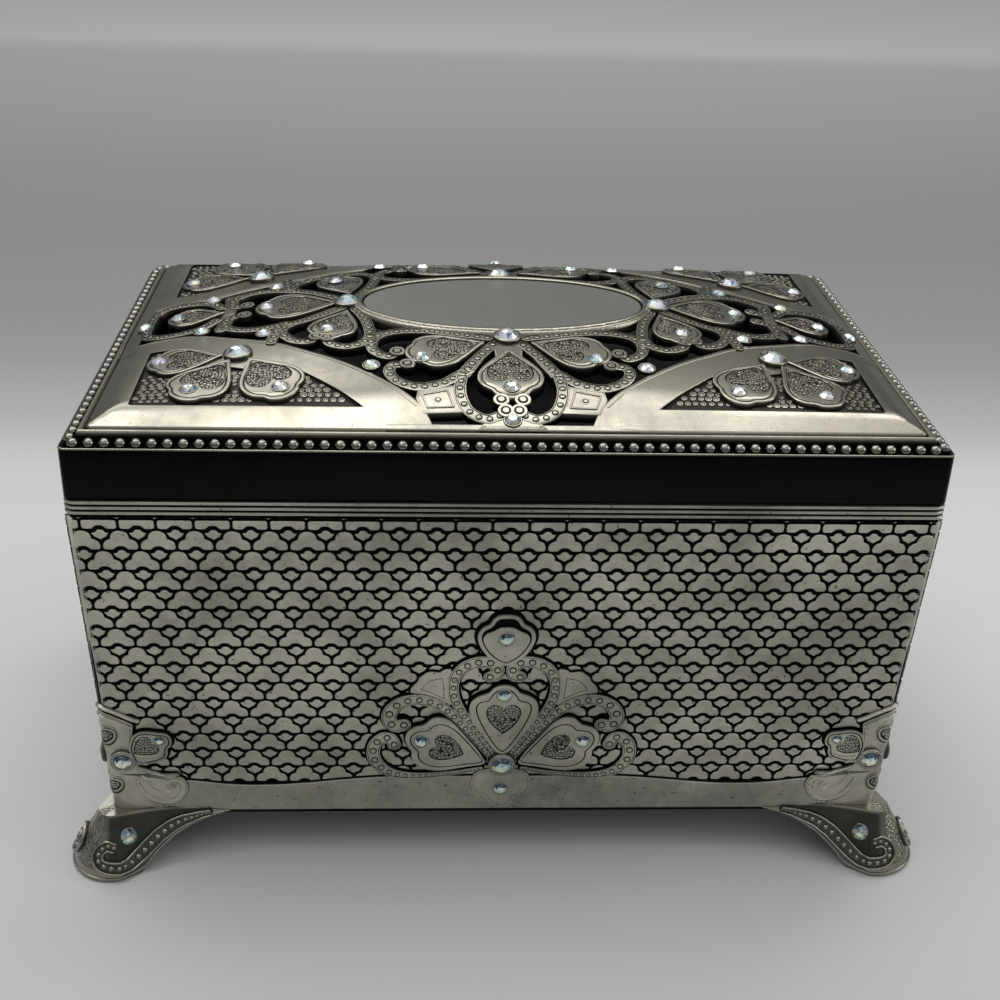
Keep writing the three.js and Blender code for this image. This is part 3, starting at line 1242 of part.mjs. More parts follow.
// Second wheel: pinion, arbor and worm wheel
function makeSecondWheel() {
  const start = wheelX - PINION_GAP / 2;
  const end = outerBearingX + BEARING_THICKNESS;
  let solid = toSolid(rod(ARBOR_RADIUS, start, end, SHAFT_STEPS, 'x'));
  const width = Math.PI * 2 * SECOND_PITCH_RADIUS / PINION_LEAVES * TOOTH_SHARE;
  const tip = SECOND_PITCH_RADIUS + WHEEL_TOOTH_LENGTH;
  const hub = SECOND_PITCH_RADIUS - WHEEL_TOOTH_LENGTH - CLEARANCE / 2;
  solid = solid.add(toSolid(rod(hub, wheelX, wheelX + WHEEL_FACE, SHAFT_STEPS, 'x')));
  solid = solid.add(toothRing(PINION_LEAVES, hub / 2, tip, width, wheelX, WHEEL_FACE, 0));
  const root = WORM_WHEEL_RADIUS - WHEEL_TOOTH_LENGTH;
  const disk = rod(root, wormWheelX, wormWheelX + WHEEL_FACE, ROUND_STEPS, 'x');
  solid = solid.add(toSolid(disk));
  const toothWidth = Math.PI * 2 * WORM_WHEEL_RADIUS / WORM_WHEEL_TEETH * TOOTH_SHARE;
  solid = solid.add(toothRing(
    WORM_WHEEL_TEETH,
    root - WHEEL_TOOTH_LENGTH,
    WORM_WHEEL_RADIUS,
    toothWidth,
    wormWheelX,
    WHEEL_FACE,
    0,
  ));
  return toGeometry(solid.translate([0, secondY, trainZ]));
}

// Air brake: upright worm with two vanes on top
const WORM_TURNS = 4;
const WORM_STEPS = 6;
const fanTop = FAN_Z + FAN_HEIGHT;

function makeAirBrake() {
  const core = WORM_RADIUS * WORM_CORE_SHARE;
  let solid = toSolid(rod(core, bedTop + CLEARANCE, fanTop, SHAFT_STEPS));
  const rings = [];
  const steps = WORM_TURNS * WORM_STEPS;
  const lead = Math.PI * 2 * WORM_WHEEL_RADIUS / WORM_WHEEL_TEETH;
  const half = lead * WORM_THREAD_SHARE;
  for (let step = 0; step <= steps; step += 1) {
    const angle = step / WORM_STEPS * Math.PI * 2;
    const height = trainZ + (step / WORM_STEPS - WORM_TURNS / 2) * lead;
    const at = (radius, up) => new THREE.Vector3(
      radius * Math.cos(angle),
      radius * Math.sin(angle),
      height + up,
    );
    rings.push([at(core / 2, half), at(core / 2, -half), at(WORM_RADIUS, 0)]);
  }
  const across = (point) => new THREE.Vector2(point.x, point.z);
  solid = solid.add(toSolid(skin(rings, false, across)));
  const vane = FAN_THICKNESS / 2;
  solid = solid.add(toSolid(block(-FAN_RADIUS, FAN_RADIUS, -vane, vane, FAN_Z, fanTop)));
  return toGeometry(solid.translate([wormX, wormY, 0]));
}

// Governor bracket: foot, upright and the arm that carries the top of the worm
function makeGovernorBracket() {
  const low = bedTop + CLEARANCE;
  const x0 = rightBearingX + BEARING_THICKNESS + CLEARANCE;
  const x1 = x0 + GOVERNOR_WIDTH;
  const y0 = wormY - FAN_RADIUS - BEARING_THICKNESS;
  const armTop = FAN_Z - CLEARANCE - CLEARANCE;
  const armLow = armTop - BEARING_THICKNESS;
  let bracket = toSolid(block(x0, x1, y0, y0 + BEARING_THICKNESS, low, armTop));
  const reach = wormY + WORM_RADIUS + CLEARANCE;
  bracket = bracket.add(toSolid(block(x0, x1, y0, reach, armLow, armTop)));
  const toe = block(x0, x1, y0 - BEARING_WIDTH, y0 + BEARING_THICKNESS, low, low + BEARING_THICKNESS);
  bracket = bracket.add(toSolid(toe));
  const core = WORM_RADIUS * WORM_CORE_SHARE;
  const bore = rod(core + CLEARANCE, armLow - CUT_OVERRUN, armTop + CUT_OVERRUN, SHAFT_STEPS);
  return toGeometry(bracket.subtract(toSolid(bore.translate(wormX, wormY, 0))));
}

// Winding key with its hub and wings, and the arbor that it turns
const keyBottom = KEY_FLOOR_GAP;
const keyTop = CASE_BOTTOM_Z - CLEARANCE - CLEARANCE;
const keyBoreLow = keyBottom + KEY_WING_HEIGHT / 2;

function makeKey() {
  const half = KEY_SPAN / 2;
  const waist = half * KEY_WAIST_SHARE;
  const wing = KEY_WING_THICKNESS / 2;
  const wingTop = keyBottom + KEY_WING_HEIGHT;
  const wingMiddle = keyBottom + KEY_WING_HEIGHT / 2;
  const outline = new THREE.Shape();
  outline.moveTo(-waist, wingTop);
  outline.quadraticCurveTo(-half, wingTop, -half, wingMiddle);
  outline.quadraticCurveTo(-half, keyBottom, -waist, keyBottom);
  outline.lineTo(waist, keyBottom);
  outline.quadraticCurveTo(half, keyBottom, half, wingMiddle);
  outline.quadraticCurveTo(half, wingTop, waist, wingTop);
  outline.closePath();
  const wings = new THREE.ExtrudeGeometry(outline, {
    depth: KEY_WING_THICKNESS,
    bevelEnabled: false,
    curveSegments: SMALL_STONE_SIDES,
  });
  wings.rotateX(Math.PI / 2).translate(0, wing, 0);
  const hub = toSolid(rod(KEY_HUB_RADIUS, keyBottom, keyTop, ROUND_STEPS));
  const bore = toSolid(rod(KEY_ARBOR_RADIUS + CLEARANCE, keyBoreLow, keyTop + CUT_OVERRUN, SHAFT_STEPS));
  return toGeometry(toSolid(wings).add(hub).subtract(bore).translate([barrelX, trainY, 0]));
}

// Stop rod: a wire up to the lid with a finger that rests on the vanes
const rodTop = BOARD_BOTTOM_Z - CLEARANCE;

function makeStopRod() {
  const low = fanTop + CLEARANCE;
  const high = low + STOP_FINGER_HEIGHT;
  const wire = toSolid(rod(STOP_ROD_RADIUS, low, rodTop, SHAFT_STEPS).translate(rodX, rodY, 0));
  const finger = block(
    rodX - STOP_ROD_RADIUS,
    rodX + STOP_ROD_RADIUS,
    wormY + WORM_RADIUS,
    rodY,
    low,
    high,
  );
  return toGeometry(wire.add(toSolid(finger)));
}

function makeRodGuide() {
  const top = trayTopZ - STOP_GUIDE_DROP;
  const low = top - GUIDE_HEIGHT;
  const lean = CASE_TAPER * (WALL_TOP_Z - low) / CASE_WALL_HEIGHT;
  const back = CASE_HALF_Y - CASE_WALL - lean - TRAY_GAP - TRAY_WALL - CLEARANCE;
  const half = STOP_ROD_RADIUS + CLEARANCE + GUIDE_THICKNESS;
  const clip = toSolid(block(rodX - half, rodX + half, rodY - half, back, low, top));
  const bore = rod(STOP_ROD_RADIUS + CLEARANCE, low - CUT_OVERRUN, top + CUT_OVERRUN, SHAFT_STEPS);
  return toGeometry(clip.subtract(toSolid(bore.translate(rodX, rodY, 0))));
}

// Butt hinges at the rear: knuckles of case and lid take turns along the pin
const hingeY = CASE_HALF_Y + RIM_PROUD + CLEARANCE + HINGE_KNUCKLE_RADIUS;
const hingeZ = RIM_TOP_Z + LID_SEAM / 2;
const hingePitch = HINGE_KNUCKLE_LENGTH + HINGE_KNUCKLE_GAP;

function makeHingeLeaf(centreX, owned, side) {
  const span = hingePitch * HINGE_KNUCKLES - HINGE_KNUCKLE_GAP;
  const startX = centreX - span / 2;
  const leafY = hingeY - HINGE_KNUCKLE_RADIUS;
  const near = HINGE_KNUCKLE_RADIUS + CLEARANCE;
  let leaf = toSolid(block(
    startX,
    startX + span,
    leafY,
    leafY + HINGE_LEAF_THICKNESS,
    hingeZ + side * near,
    hingeZ + side * (near + HINGE_LEAF_HEIGHT),
  ));
  for (const knuckle of owned) {
    const x0 = startX + knuckle * hingePitch;
    const x1 = x0 + HINGE_KNUCKLE_LENGTH;
    const barrel = rod(HINGE_KNUCKLE_RADIUS, x0, x1, ROUND_STEPS / 2, 'x').translate(0, hingeY, hingeZ);
    const tab = block(
      x0,
      x1,
      leafY,
      leafY + HINGE_LEAF_THICKNESS,
      hingeZ,
      hingeZ + side * (near + CLEARANCE),
    );
    leaf = leaf.add(toSolid(barrel)).add(toSolid(tab));
  }
  const boreRadius = HINGE_PIN_RADIUS + HINGE_PIN_CLEARANCE;
  const bore = rod(boreRadius, startX - span, startX + span * 2, SHAFT_STEPS, 'x');
  return toGeometry(leaf.subtract(toSolid(bore.translate(0, hingeY, hingeZ))));
}

function makeHingePin(centreX) {
  const half = (hingePitch * HINGE_KNUCKLES - HINGE_KNUCKLE_GAP) / 2;
  return rod(HINGE_PIN_RADIUS, centreX - half, centreX + half, SHAFT_STEPS, 'x')
    .translate(0, hingeY, hingeZ);
}

// Assembly
const nickel = () => finish(finishes.nickel);
const polished = () => finish(finishes.polished);
const satin = () => finish(finishes.satin);
const steel = () => finish(finishes.steel);
const brass = () => finish(finishes.brass);
const velvet = () => finish(finishes.velvet);
const glass = () => finish(finishes.stone);

addPiece('case_walls', makeCase(), nickel());
addPiece('base_plate', makeBase(), steel());
for (const [name, signX, signY] of corners) {
  addPiece(`foot_${name}`, makeFoot(signX, signY), nickel());
  const screw = addPiece(`foot_screw_${name}`, makeFootScrew(), steel());
  screw.position.set(signX * footScrewX, signY * footScrewY, 0);
  addPiece(`corner_ornament_${name}`, makeCornerOrnament(signX, signY), nickel());
}

const ornament = new THREE.Group();
ornament.position.set(0, -CASE_HALF_Y, WALL_TOP_Z);
ornament.rotation.x = Math.PI / 2 + WALL_TILT;
part.add(ornament);
const frontOrnament = addPiece('front_ornament', makeFrontOrnament(), nickel());
const ornamentStone = addPiece('ornament_stone', makeStone(), glass());
const ornamentCup = onWall(ORNAMENT_CUP_SHARE);
const ornamentSeat = CLEARANCE + ORNAMENT_THICKNESS + CUP_RISE - CUP_POCKET + CLEARANCE;
ornamentStone.position.set(ornamentCup.x, ornamentCup.y, ornamentSeat);
ornament.add(frontOrnament, ornamentStone);

addPiece('flocked_tray', makeTray(), velvet());
for (let index = 0; index < ROLL_COUNT; index += 1) {
  addPiece(`ring_roll_${index + 1}`, makeRoll(index), velvet());
}

addPiece('movement_bed', makeBed(), brass());
addPiece('comb', makeComb(), steel());
combScrewPlaces.forEach((place, index) => {
  const top = combLow + COMB_THICKNESS + CLEARANCE;
  const head = top + COMB_SCREW_HEAD;
  const screw = makeScrew(COMB_SCREW_RADIUS, COMB_SCREW_HEAD_RADIUS, top, head, bedTop + CLEARANCE);
  addPiece(`comb_screw_${index + 1}`, screw, steel()).position.set(place.x, place.y, 0);
});
movementScrewPlaces.forEach((place, index) => {
  const top = CASE_BOTTOM_Z - CLEARANCE;
  const head = top - MOVEMENT_SCREW_HEAD;
  const screw = makeScrew(MOVEMENT_SCREW_RADIUS, MOVEMENT_SCREW_HEAD_RADIUS, head, top, bedTop);
  addPiece(`movement_screw_${index + 1}`, screw, steel()).position.set(place.x, place.y, 0);
});
addPiece('spring_barrel', makeBarrel(), brass());
addPiece('music_cylinder', makeCylinder(), brass());
addPiece('second_wheel', makeSecondWheel(), steel());
addPiece('air_brake', makeAirBrake(), steel());
addPiece('governor_bracket', makeGovernorBracket(), steel());
addPiece('winding_key', makeKey(), steel());
addPiece('winding_arbor', rod(KEY_ARBOR_RADIUS, keyBoreLow + CLEARANCE, crownTop, SHAFT_STEPS)
  .translate(barrelX, trainY, 0), steel());
addPiece('stop_rod', makeStopRod(), steel());
addPiece('rod_guide', makeRodGuide(), steel());

const lidFrame = sweepFrame(lidProfile(), LID_HALF_X, LID_HALF_Y, LID_CORNER_RADIUS);
addPiece('lid_frame', lidFrame, polished());
addPiece('bead_border', makeBeads(), nickel());
addPiece('lid_openwork', makeFiligree(), nickel());
const plaquePlan = oval(PLAQUE_HALF_LENGTH, PLAQUE_HALF_DEPTH, FINE_STEPS);
addPiece('oval_plaque', prism(plaquePlan, plaqueBottomZ, plaqueTopZ), satin());
const boardInset = SKIRT_WALL + CLEARANCE;
addPiece('lid_lining_board', prism(
  roundedPlan(LID_HALF_X - boardInset, LID_HALF_Y - boardInset, LID_CORNER_RADIUS, CORNER_STEPS),
  BOARD_BOTTOM_Z,
  BOARD_TOP_Z,
), velvet());

const stonePlaces = [...FAN_CUP_SHARES, CORNER_CUP_SHARE].flatMap(placesInQuarters);
stonePlaces.forEach((place, index) => {
  const level = domeHeight(place.x, place.y) + CUP_RISE - CUP_POCKET + CLEARANCE;
  addPiece(`lid_stone_${index + 1}`, makeStone(), glass()).position.set(place.x, place.y, level);
});

for (const [side, sign] of [['left', -1], ['right', 1]]) {
  addPiece(`case_hinge_leaf_${side}`, makeHingeLeaf(sign * (CASE_HALF_X - HINGE_INSET), [0, 2, 4], -1), steel());
  addPiece(`lid_hinge_leaf_${side}`, makeHingeLeaf(sign * (CASE_HALF_X - HINGE_INSET), [1, 3], 1), steel());
  addPiece(`hinge_pin_${side}`, makeHingePin(sign * (CASE_HALF_X - HINGE_INSET)), steel());
}

export default part;
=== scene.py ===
"""Musical jewelry box: the look of the case, lid, feet, ornaments, lining and movement.

Each sub-assembly is a class whose meshes are numpy surfaces in millimetres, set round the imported
frame and turned into metres as they are handed to Blender. Raised work is made of rings that step
inwards from an outline, ribbons along curves, and turned forms copied to many places of a chart.
"""
import logging
import math
from dataclasses import dataclass, field
from enum import Enum
from typing import Callable, Sequence

import bpy
import numpy as np
from mathutils import Matrix, Vector

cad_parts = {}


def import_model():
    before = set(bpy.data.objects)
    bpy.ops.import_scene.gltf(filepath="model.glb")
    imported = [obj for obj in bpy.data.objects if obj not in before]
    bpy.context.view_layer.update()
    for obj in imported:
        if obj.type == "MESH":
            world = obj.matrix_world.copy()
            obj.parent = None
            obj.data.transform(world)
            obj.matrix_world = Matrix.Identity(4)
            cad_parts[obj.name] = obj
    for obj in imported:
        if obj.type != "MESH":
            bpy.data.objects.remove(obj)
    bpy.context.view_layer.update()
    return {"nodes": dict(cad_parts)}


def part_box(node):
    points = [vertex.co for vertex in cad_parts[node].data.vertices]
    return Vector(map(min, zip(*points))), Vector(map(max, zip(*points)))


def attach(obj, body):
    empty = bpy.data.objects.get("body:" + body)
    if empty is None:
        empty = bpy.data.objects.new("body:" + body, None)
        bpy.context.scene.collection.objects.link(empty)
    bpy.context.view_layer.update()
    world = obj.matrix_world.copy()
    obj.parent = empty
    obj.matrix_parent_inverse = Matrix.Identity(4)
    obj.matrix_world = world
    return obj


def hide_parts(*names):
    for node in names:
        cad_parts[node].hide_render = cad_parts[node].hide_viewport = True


LOG = logging.getLogger("jewelry_box")
MM = 0.001
# Step of the differences that give a surface's direction
STEP = 0.02
Array = np.ndarray

# Sizes of the solids, in millimetres
CASE_HALF_X, CASE_HALF_Y = 88.75, 54.5
CASE_TAPER, CASE_WALL, CASE_RADIUS = 2.8, 2.0, 2.0
CASE_LOW, WALL_TOP, RIM_TOP = 11.0, 88.4, 91.8
FOOT_X, FOOT_Y = CASE_HALF_X - CASE_TAPER, CASE_HALF_Y - CASE_TAPER
LID_HALF_X, LID_HALF_Y, LID_RADIUS = 89.0, 54.8, 1.6
SKIRT_LOW, LID_TOP = 92.05, 103.05
TOP_HALF_X, TOP_HALF_Y = 84.2, 50.0
PLAQUE_X, PLAQUE_Y, PLAQUE_LOW, PLAQUE_TOP = 31.7, 16.7, 113.21, 114.61


class Body(Enum):
    """Bodies of the frame that the pieces ride on."""

    CASE = "case"
    LID = "lid"


# Outlines of the openwork in one quarter, as shares of the top's half length and half depth
LID_PETALS = (
    ((0, 0.512), (0, 0.857), 0.138), ((0.058, 0.46), (0.258, 0.572), 0.13),
    ((0.439, 0), (0.665, 0), 0.154), ((0.415, 0.11), (0.468, 0.414), 0.11),
    ((0.748, 0), (0.9, 0), 0.104), ((0.716, 0.5), (0.905, 0.516), 0.13),
    ((0.694, 0.545), (0.796, 0.868), 0.136), ((0.647, 0.545), (0.538, 0.86), 0.136),
)
LID_STRAPS = (
    ((0.05, 0.408), (0.143, 0.368), (0.214, 0.342), (0.279, 0.344), (0.327, 0.38), (0.344, 0.45),
     (0.336, 0.52), (0.303, 0.564), (0.279, 0.534)),
    ((0.101, 0.67), (0.125, 0.7), (0.166, 0.76), (0.226, 0.784), (0.276, 0.746), (0.297, 0.684),
     (0.286, 0.632), (0.253, 0.632)),
    ((0.038, 0.468), (0.071, 0.56), (0.102, 0.65), (0.119, 0.72), (0.124, 0.82), (0.106, 0.906),
     (0.065, 0.946), (0.029, 0.93)),
    ((0.431, 0.052), (0.475, 0.12), (0.523, 0.184), (0.565, 0.228), (0.578, 0.3), (0.55, 0.386),
     (0.511, 0.414), (0.487, 0.38)),
    ((0.395, 0.08), (0.37, 0.19), (0.357, 0.28), (0.349, 0.38), (0.346, 0.44)),
    ((0.352, 0.39), (0.368, 0.45), (0.407, 0.478), (0.447, 0.448), (0.458, 0.398)),
    ((0.57, 0.212), (0.624, 0.244), (0.677, 0.244), (0.722, 0.2), (0.736, 0.13), (0.724, 0.072),
     (0.692, 0.06)),
    ((0.76, 0.08), (0.796, 0.16), (0.849, 0.192), (0.909, 0.188), (0.943, 0.136), (0.948, 0.06),
     (0.949, 0)),
    ((0.588, 0.25), (0.6, 0.4)),
)
LID_PLATES = (
    (((0.133, 0.77), (0.226, 0.8), (0.232, 0.85), (0.212, 0.924), (0.118, 0.916)), False, False),
    (((-0.038, 0.43), (0.038, 0.43), (0.034, 0.58), (-0.034, 0.58)), True, False),
    (((0, 0.9), (0.05, 0.93), (0.085, 1), (-0.085, 1), (-0.05, 0.93)), True, False),
    (((0.03, 0.46), (0.058, 0.47), (0.13, 0.68), (0.1, 0.72), (0.06, 0.58)), False, False),
    (((0.956, -0.3), (1, -0.3), (1, 0.3), (0.956, 0.3)), False, True),
    (((-0.3, 0.972), (0.3, 0.972), (0.3, 1), (-0.3, 1)), True, False),
)
LID_ARC = (
    (1, 0.2), (0.956, 0.212), (0.819, 0.22), (0.704, 0.306), (0.588, 0.394), (0.499, 0.494), (0.412, 0.592),
    (0.295, 0.75), (0.219, 0.878), (0.183, 1),
)
LID_RECESS = (
    (0.91, 0.356), (0.855, 0.356), (0.784, 0.54), (0.594, 0.66), (0.506, 0.67), (0.356, 0.892), (0.91, 0.892),
)
LID_SCROLLS = (
    (0.279, 0.534), (0.253, 0.632), (0.026, 0.856), (0.016, 0.91), (0.487, 0.378), (0.458, 0.394),
    (0.69, 0.062),
)
LID_SMALL_CUPS = (
    (0.342, 0.636), (0.624, 0.304), (0.792, 0.204), (0, 0.95), (0.962, 0),
)
LID_PETAL_STONES = (
    (0, 0.787), (0.216, 0.588), (0.634, 0), (0.46, 0.316), (0.869, 0), (0.872, 0.51), (0.776, 0.79),
    (0.557, 0.79),
)
LID_ROOT_CUPS = ((0, 0.406), (0.418, 0), (0.678, 0.49))

# Palmette of the front wall, in millimetres: across, depth under the wall's top, and half width
FRONT_STRAPS = (
    ((4.6, 64.2, 0.5), (6.3, 64.6, 0.55), (9.5, 65.3, 0.62), (13.6, 65.9, 0.72), (18.2, 66.3, 0.85),
     (22.0, 66.1, 1.0), (24.9, 65.2, 1.2), (27.0, 63.5, 1.4), (28.25, 61.3, 1.5), (28.45, 59.0, 1.5),
     (27.8, 57.0, 1.5), (26.2, 55.6, 1.5), (24.6, 55.8, 1.5), (23.8, 57.4, 1.5)),
    ((2.97, 60.1, 0.9), (3.9, 58.8, 0.95), (6.0, 55.9, 1.0), (8.42, 52.6, 1.1), (9.84, 50.9, 1.15),
     (11.37, 49.0, 1.2), (13.0, 47.45, 1.25), (14.95, 46.15, 1.3), (17.05, 45.4, 1.35), (19.4, 45.15, 1.4),
     (21.9, 45.8, 1.5), (23.9, 47.3, 1.6), (24.95, 49.4, 1.65), (24.7, 51.2, 1.65), (23.6, 52.3, 1.6),
     (21.7, 52.0, 1.6)),
    ((2.1, 59.6, 0.85), (3.29, 57.9, 0.9), (5.13, 54.97, 0.95), (7.31, 51.4, 1.05), (8.55, 49.5, 1.1),
     (9.6, 47.5, 1.15), (10.5, 45.4, 1.2), (11.0, 43.1, 1.2), (11.0, 40.8, 1.22), (10.4, 38.6, 1.3),
     (8.9, 36.6, 1.4), (6.3, 35.3, 1.45), (3.7, 35.15, 1.5), (1.75, 36.5, 1.5), (1.95, 38.3, 1.5),
     (3.2, 39.0, 1.45)),
)
FRONT_MIDDLE = (
    (0, 39.5), (1.3, 39.7), (2.4, 40.4), (3.1, 41.4), (3.9, 42.0), (5.4, 42.6), (6.7, 43.6), (7.4, 45.0),
    (7.6, 46.9), (7.25, 49.1), (6.0, 51.5), (4.4, 54.1), (2.85, 56.7), (1.4, 58.7), (0, 59.6),
)
FRONT_MIDDLE_LINE = (
    (0, 40.7), (1.5, 41.15), (2.6, 42.5), (3.3, 43.85), (4.4, 44.2), (5.5, 44.7), (5.95, 45.9), (5.75, 47.7),
    (5.15, 49.6), (3.9, 52.5), (2.3, 55.6), (1.0, 57.7), (0, 58.6),
)
FRONT_SIDE = (
    (3.9, 61.9), (5.34, 59.3), (6.8, 57.3), (8.4, 55.2), (9.95, 53.2), (11.3, 51.5), (12.6, 50.4),
    (13.9, 49.85), (15.2, 49.75), (16.5, 50.2), (17.45, 51.15), (18.4, 51.9), (19.7, 52.2), (21.0, 52.8),
    (22.0, 53.9), (22.45, 55.2), (22.3, 56.8), (21.7, 58.3), (21.0, 59.15), (21.05, 60.1), (20.9, 61.4),
    (20.1, 62.7), (18.8, 63.8), (17.05, 64.45), (14.95, 64.7), (12.85, 64.5), (10.2, 64.0), (7.6, 63.5),
    (4.95, 63.1), (3.85, 62.6),
)
FRONT_SIDE_LINE = (
    (4.55, 61.5), (6.5, 58.8), (8.6, 56.0), (10.5, 53.8), (12.05, 52.5), (13.6, 51.8), (15.2, 51.8),
    (16.3, 52.5), (16.9, 53.3), (18.4, 53.5), (19.8, 53.8), (20.9, 54.8), (21.2, 56.15), (20.7, 57.6),
    (19.7, 58.8), (19.35, 59.4), (19.4, 60.6), (18.6, 62.1), (17.05, 63.1), (14.95, 63.55), (12.3, 63.45),
    (9.7, 63.0), (7.05, 62.6), (4.95, 62.3),
)
FRONT_EAR = (
    (11.4, 37.4), (12.6, 37.2), (13.5, 37.5), (14.1, 38.05), (15.2, 37.85), (16.5, 37.9), (17.5, 38.6),
    (18.4, 39.4), (18.8, 40.5), (19.5, 41.2), (20.2, 42.3), (20.2, 43.4), (18.1, 43.8), (16.0, 44.4),
    (13.9, 45.6), (12.3, 46.8), (11.2, 46.0), (10.8, 41.5),
)
FRONT_TRIANGLE = (
    (18.0, 42.5), (17.2, 41.3), (16.1, 40.1), (14.7, 39.7), (13.4, 39.4), (13.2, 42.0), (13.0, 44.9),
    (14.8, 43.8), (16.4, 42.9), (18.0, 42.5),
)
FRONT_FINIAL = (
    (0, 23.0), (1.9, 23.2), (3.2, 24.1), (4.0, 25.4), (5.3, 26.1), (6.3, 27.3), (6.6, 28.9), (6.2, 30.6),
    (5.3, 32.3), (4.0, 33.9), (2.2, 35.3), (0, 36.3),
)
FRONT_LEAF = (
    (0, 26.0), (1.7, 26.2), (3.0, 27.0), (4.0, 27.4), (5.0, 28.1), (5.35, 29.2), (4.9, 30.7), (4.0, 32.2),
    (2.6, 33.7), (1.2, 34.7), (0, 35.2),
)
FRONT_PENDANT = (
    (0, 64.6), (3.4, 64.7), (5.6, 65.5), (6.5, 66.9), (6.85, 68.6), (6.6, 70.3), (5.9, 71.7), (4.6, 72.4),
    (3.5, 72.7), (3.0, 73.6), (2.2, 74.7), (1.1, 75.5), (0, 75.75),
)


@dataclass
class Surface:
    """One mesh under construction, in millimetres.

    Args:
        points: Places, one row each.
        quads: Faces of four corners.
        tris: Faces of three corners.
        relief: Tone at each point that follows the height in its own work, 0 in a groove and 1 on a crest;
            metal paints its grooves dark by it, patina and painted shade together, and on a stone it is each
            facet's painted glint.
        hatch: 1 at each point that lies in a stippled patch.
    """

    points: Array
    quads: Array = field(default_factory=lambda: np.zeros((0, 4), int))
    tris: Array = field(default_factory=lambda: np.zeros((0, 3), int))
    relief: Array | None = None
    hatch: Array | None = None

    def mirrored(self, sign_x: int, sign_y: int) -> "Surface":
        """Copy in another quarter of the plan, its faces still outwards.

        Args:
            sign_x: 1, or -1 for the left.
            sign_y: 1, or -1 for the front.

        Returns:
            The copy.
        """
        turn = -1 if sign_x * sign_y < 0 else 1
        return Surface(self.points * [sign_x, sign_y, 1], self.quads[:, ::turn], self.tris[:, ::turn],
                       self.relief, self.hatch)


def merge(surfaces: Sequence[Surface]) -> Surface:
    """Several surfaces as one mesh, with their attributes kept.

    Args:
        surfaces: The surfaces.

    Returns:
        One surface.
    """
    starts = np.cumsum([0] + [len(one.points) for one in surfaces[:-1]])
    fill = [(np.ones(len(s.points)) if s.relief is None else s.relief) for s in surfaces]
    patch = [(np.zeros(len(s.points)) if s.hatch is None else s.hatch) for s in surfaces]
    return Surface(
        np.concatenate([one.points for one in surfaces]),
        np.concatenate([one.quads + start for one, start in zip(surfaces, starts)]),
        np.concatenate([one.tris + start for one, start in zip(surfaces, starts)]),
        np.concatenate(fill),
        np.concatenate(patch),
    )


def linked(name: str, data: bpy.types.ID) -> bpy.types.Object:
    """New object of a mesh, camera or lamp, linked to the scene.

    Args:
        name: Name of the object.
        data: What it shows.

    Returns:
        The object.
    """
    made = bpy.data.objects.new(name, data)
    bpy.context.scene.collection.objects.link(made)
    return made


def to_object(name: str, surface: Surface, sharp: float = 35.0) -> bpy.types.Object:
    """Blender object of a surface, at the origin, in metres.

    Args:
        name: Name of the piece.
        surface: Its mesh.
        sharp: Least angle in degrees between two faces whose edge stays sharp.

    Returns:
        The object, linked to the scene.
    """
    mesh = bpy.data.meshes.new(name)
    mesh.vertices.add(len(surface.points))
    mesh.vertices.foreach_set("co", (surface.points * MM).astype(np.float32).ravel())
    loops = np.concatenate([surface.quads.ravel(), surface.tris.ravel()]).astype(np.int32)
    mesh.loops.add(len(loops))
    mesh.loops.foreach_set("vertex_index", loops)
    fours = len(surface.quads)
    starts = np.concatenate([np.arange(fours) * 4, fours * 4 + np.arange(len(surface.tris)) * 3])
    mesh.polygons.add(len(starts))
    mesh.polygons.foreach_set("loop_start", starts.astype(np.int32))
    mesh.update(calc_edges=True)
    mesh.polygons.foreach_set("use_smooth", np.ones(len(starts), bool))
    for label, values, plain in (("relief", surface.relief, 1.0), ("hatch", surface.hatch, 0.0)):
        data = np.full(len(surface.points), plain) if values is None else values
        mesh.attributes.new(label, "FLOAT", "POINT").data.foreach_set("value", data.astype(np.float32))
    mesh.set_sharp_from_angle(angle=math.radians(sharp))
    mesh.update()
    return linked(name, mesh)


def add_piece(name: str, surface: Surface, body: Body, look: bpy.types.Material,
              stands_for: Sequence[str] = (), sharp: float = 35.0) -> bpy.types.Object:
    """Makes a piece, dresses it, and ties it to its body.

    Args:
        name: Name of the piece.
        surface: Its mesh.
        body: Body that it rides on.
        look: Its material.
        stands_for: CAD nodes that it replaces.
        sharp: Least angle in degrees of a sharp edge.

    Returns:
        The piece.
    """
    piece = to_object(name, surface, sharp)
    piece.data.materials.append(look)
    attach(piece, body.value)
    if stands_for:
        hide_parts(*stands_for)
    LOG.info("%s: %d faces", name, len(piece.data.polygons))
    return piece


# ---- plane shapes, bosses and ribbons


def smooth(low: float, high: float, value: Array) -> Array:
    """Eased step from 0 at low to 1 at high."""
    t = np.clip((value - low) / (high - low), 0, 1)
    return t * t * (3 - 2 * t)


def unit(vectors: Array) -> Array:
    """Vectors at length one, or at none where they had none."""
    return vectors / np.maximum(np.linalg.norm(vectors, axis=-1, keepdims=True), 1e-12)


def outward(vectors: Array, away: Array) -> Array:
    """Vectors at length one, turned to the side that others point to."""
    return unit(vectors) * np.sign((vectors * away).sum(axis=-1, keepdims=True))


def circle(angles: Array) -> Array:
    """Places on a circle of radius one."""
    return np.column_stack([np.cos(angles), np.sin(angles)])


def at_height(plan: Array, height: Array | float) -> Array:
    """Plan places as points at a height."""
    return np.column_stack([plan, np.broadcast_to(height, len(plan))])


def stacked(x: Array, y: Array, z: Array) -> Array:
    """Points of three coordinates that are stretched to one shape."""
    return np.stack(np.broadcast_arrays(x, y, z), axis=-1)


def tube_quads(index: Array) -> Array:
    """Quads between rows of point numbers, each row a closed ring."""
    right = np.roll(index, -1, axis=1)
    return np.stack([index[:-1], right[:-1], right[1:], index[1:]], axis=-1).reshape(-1, 4)


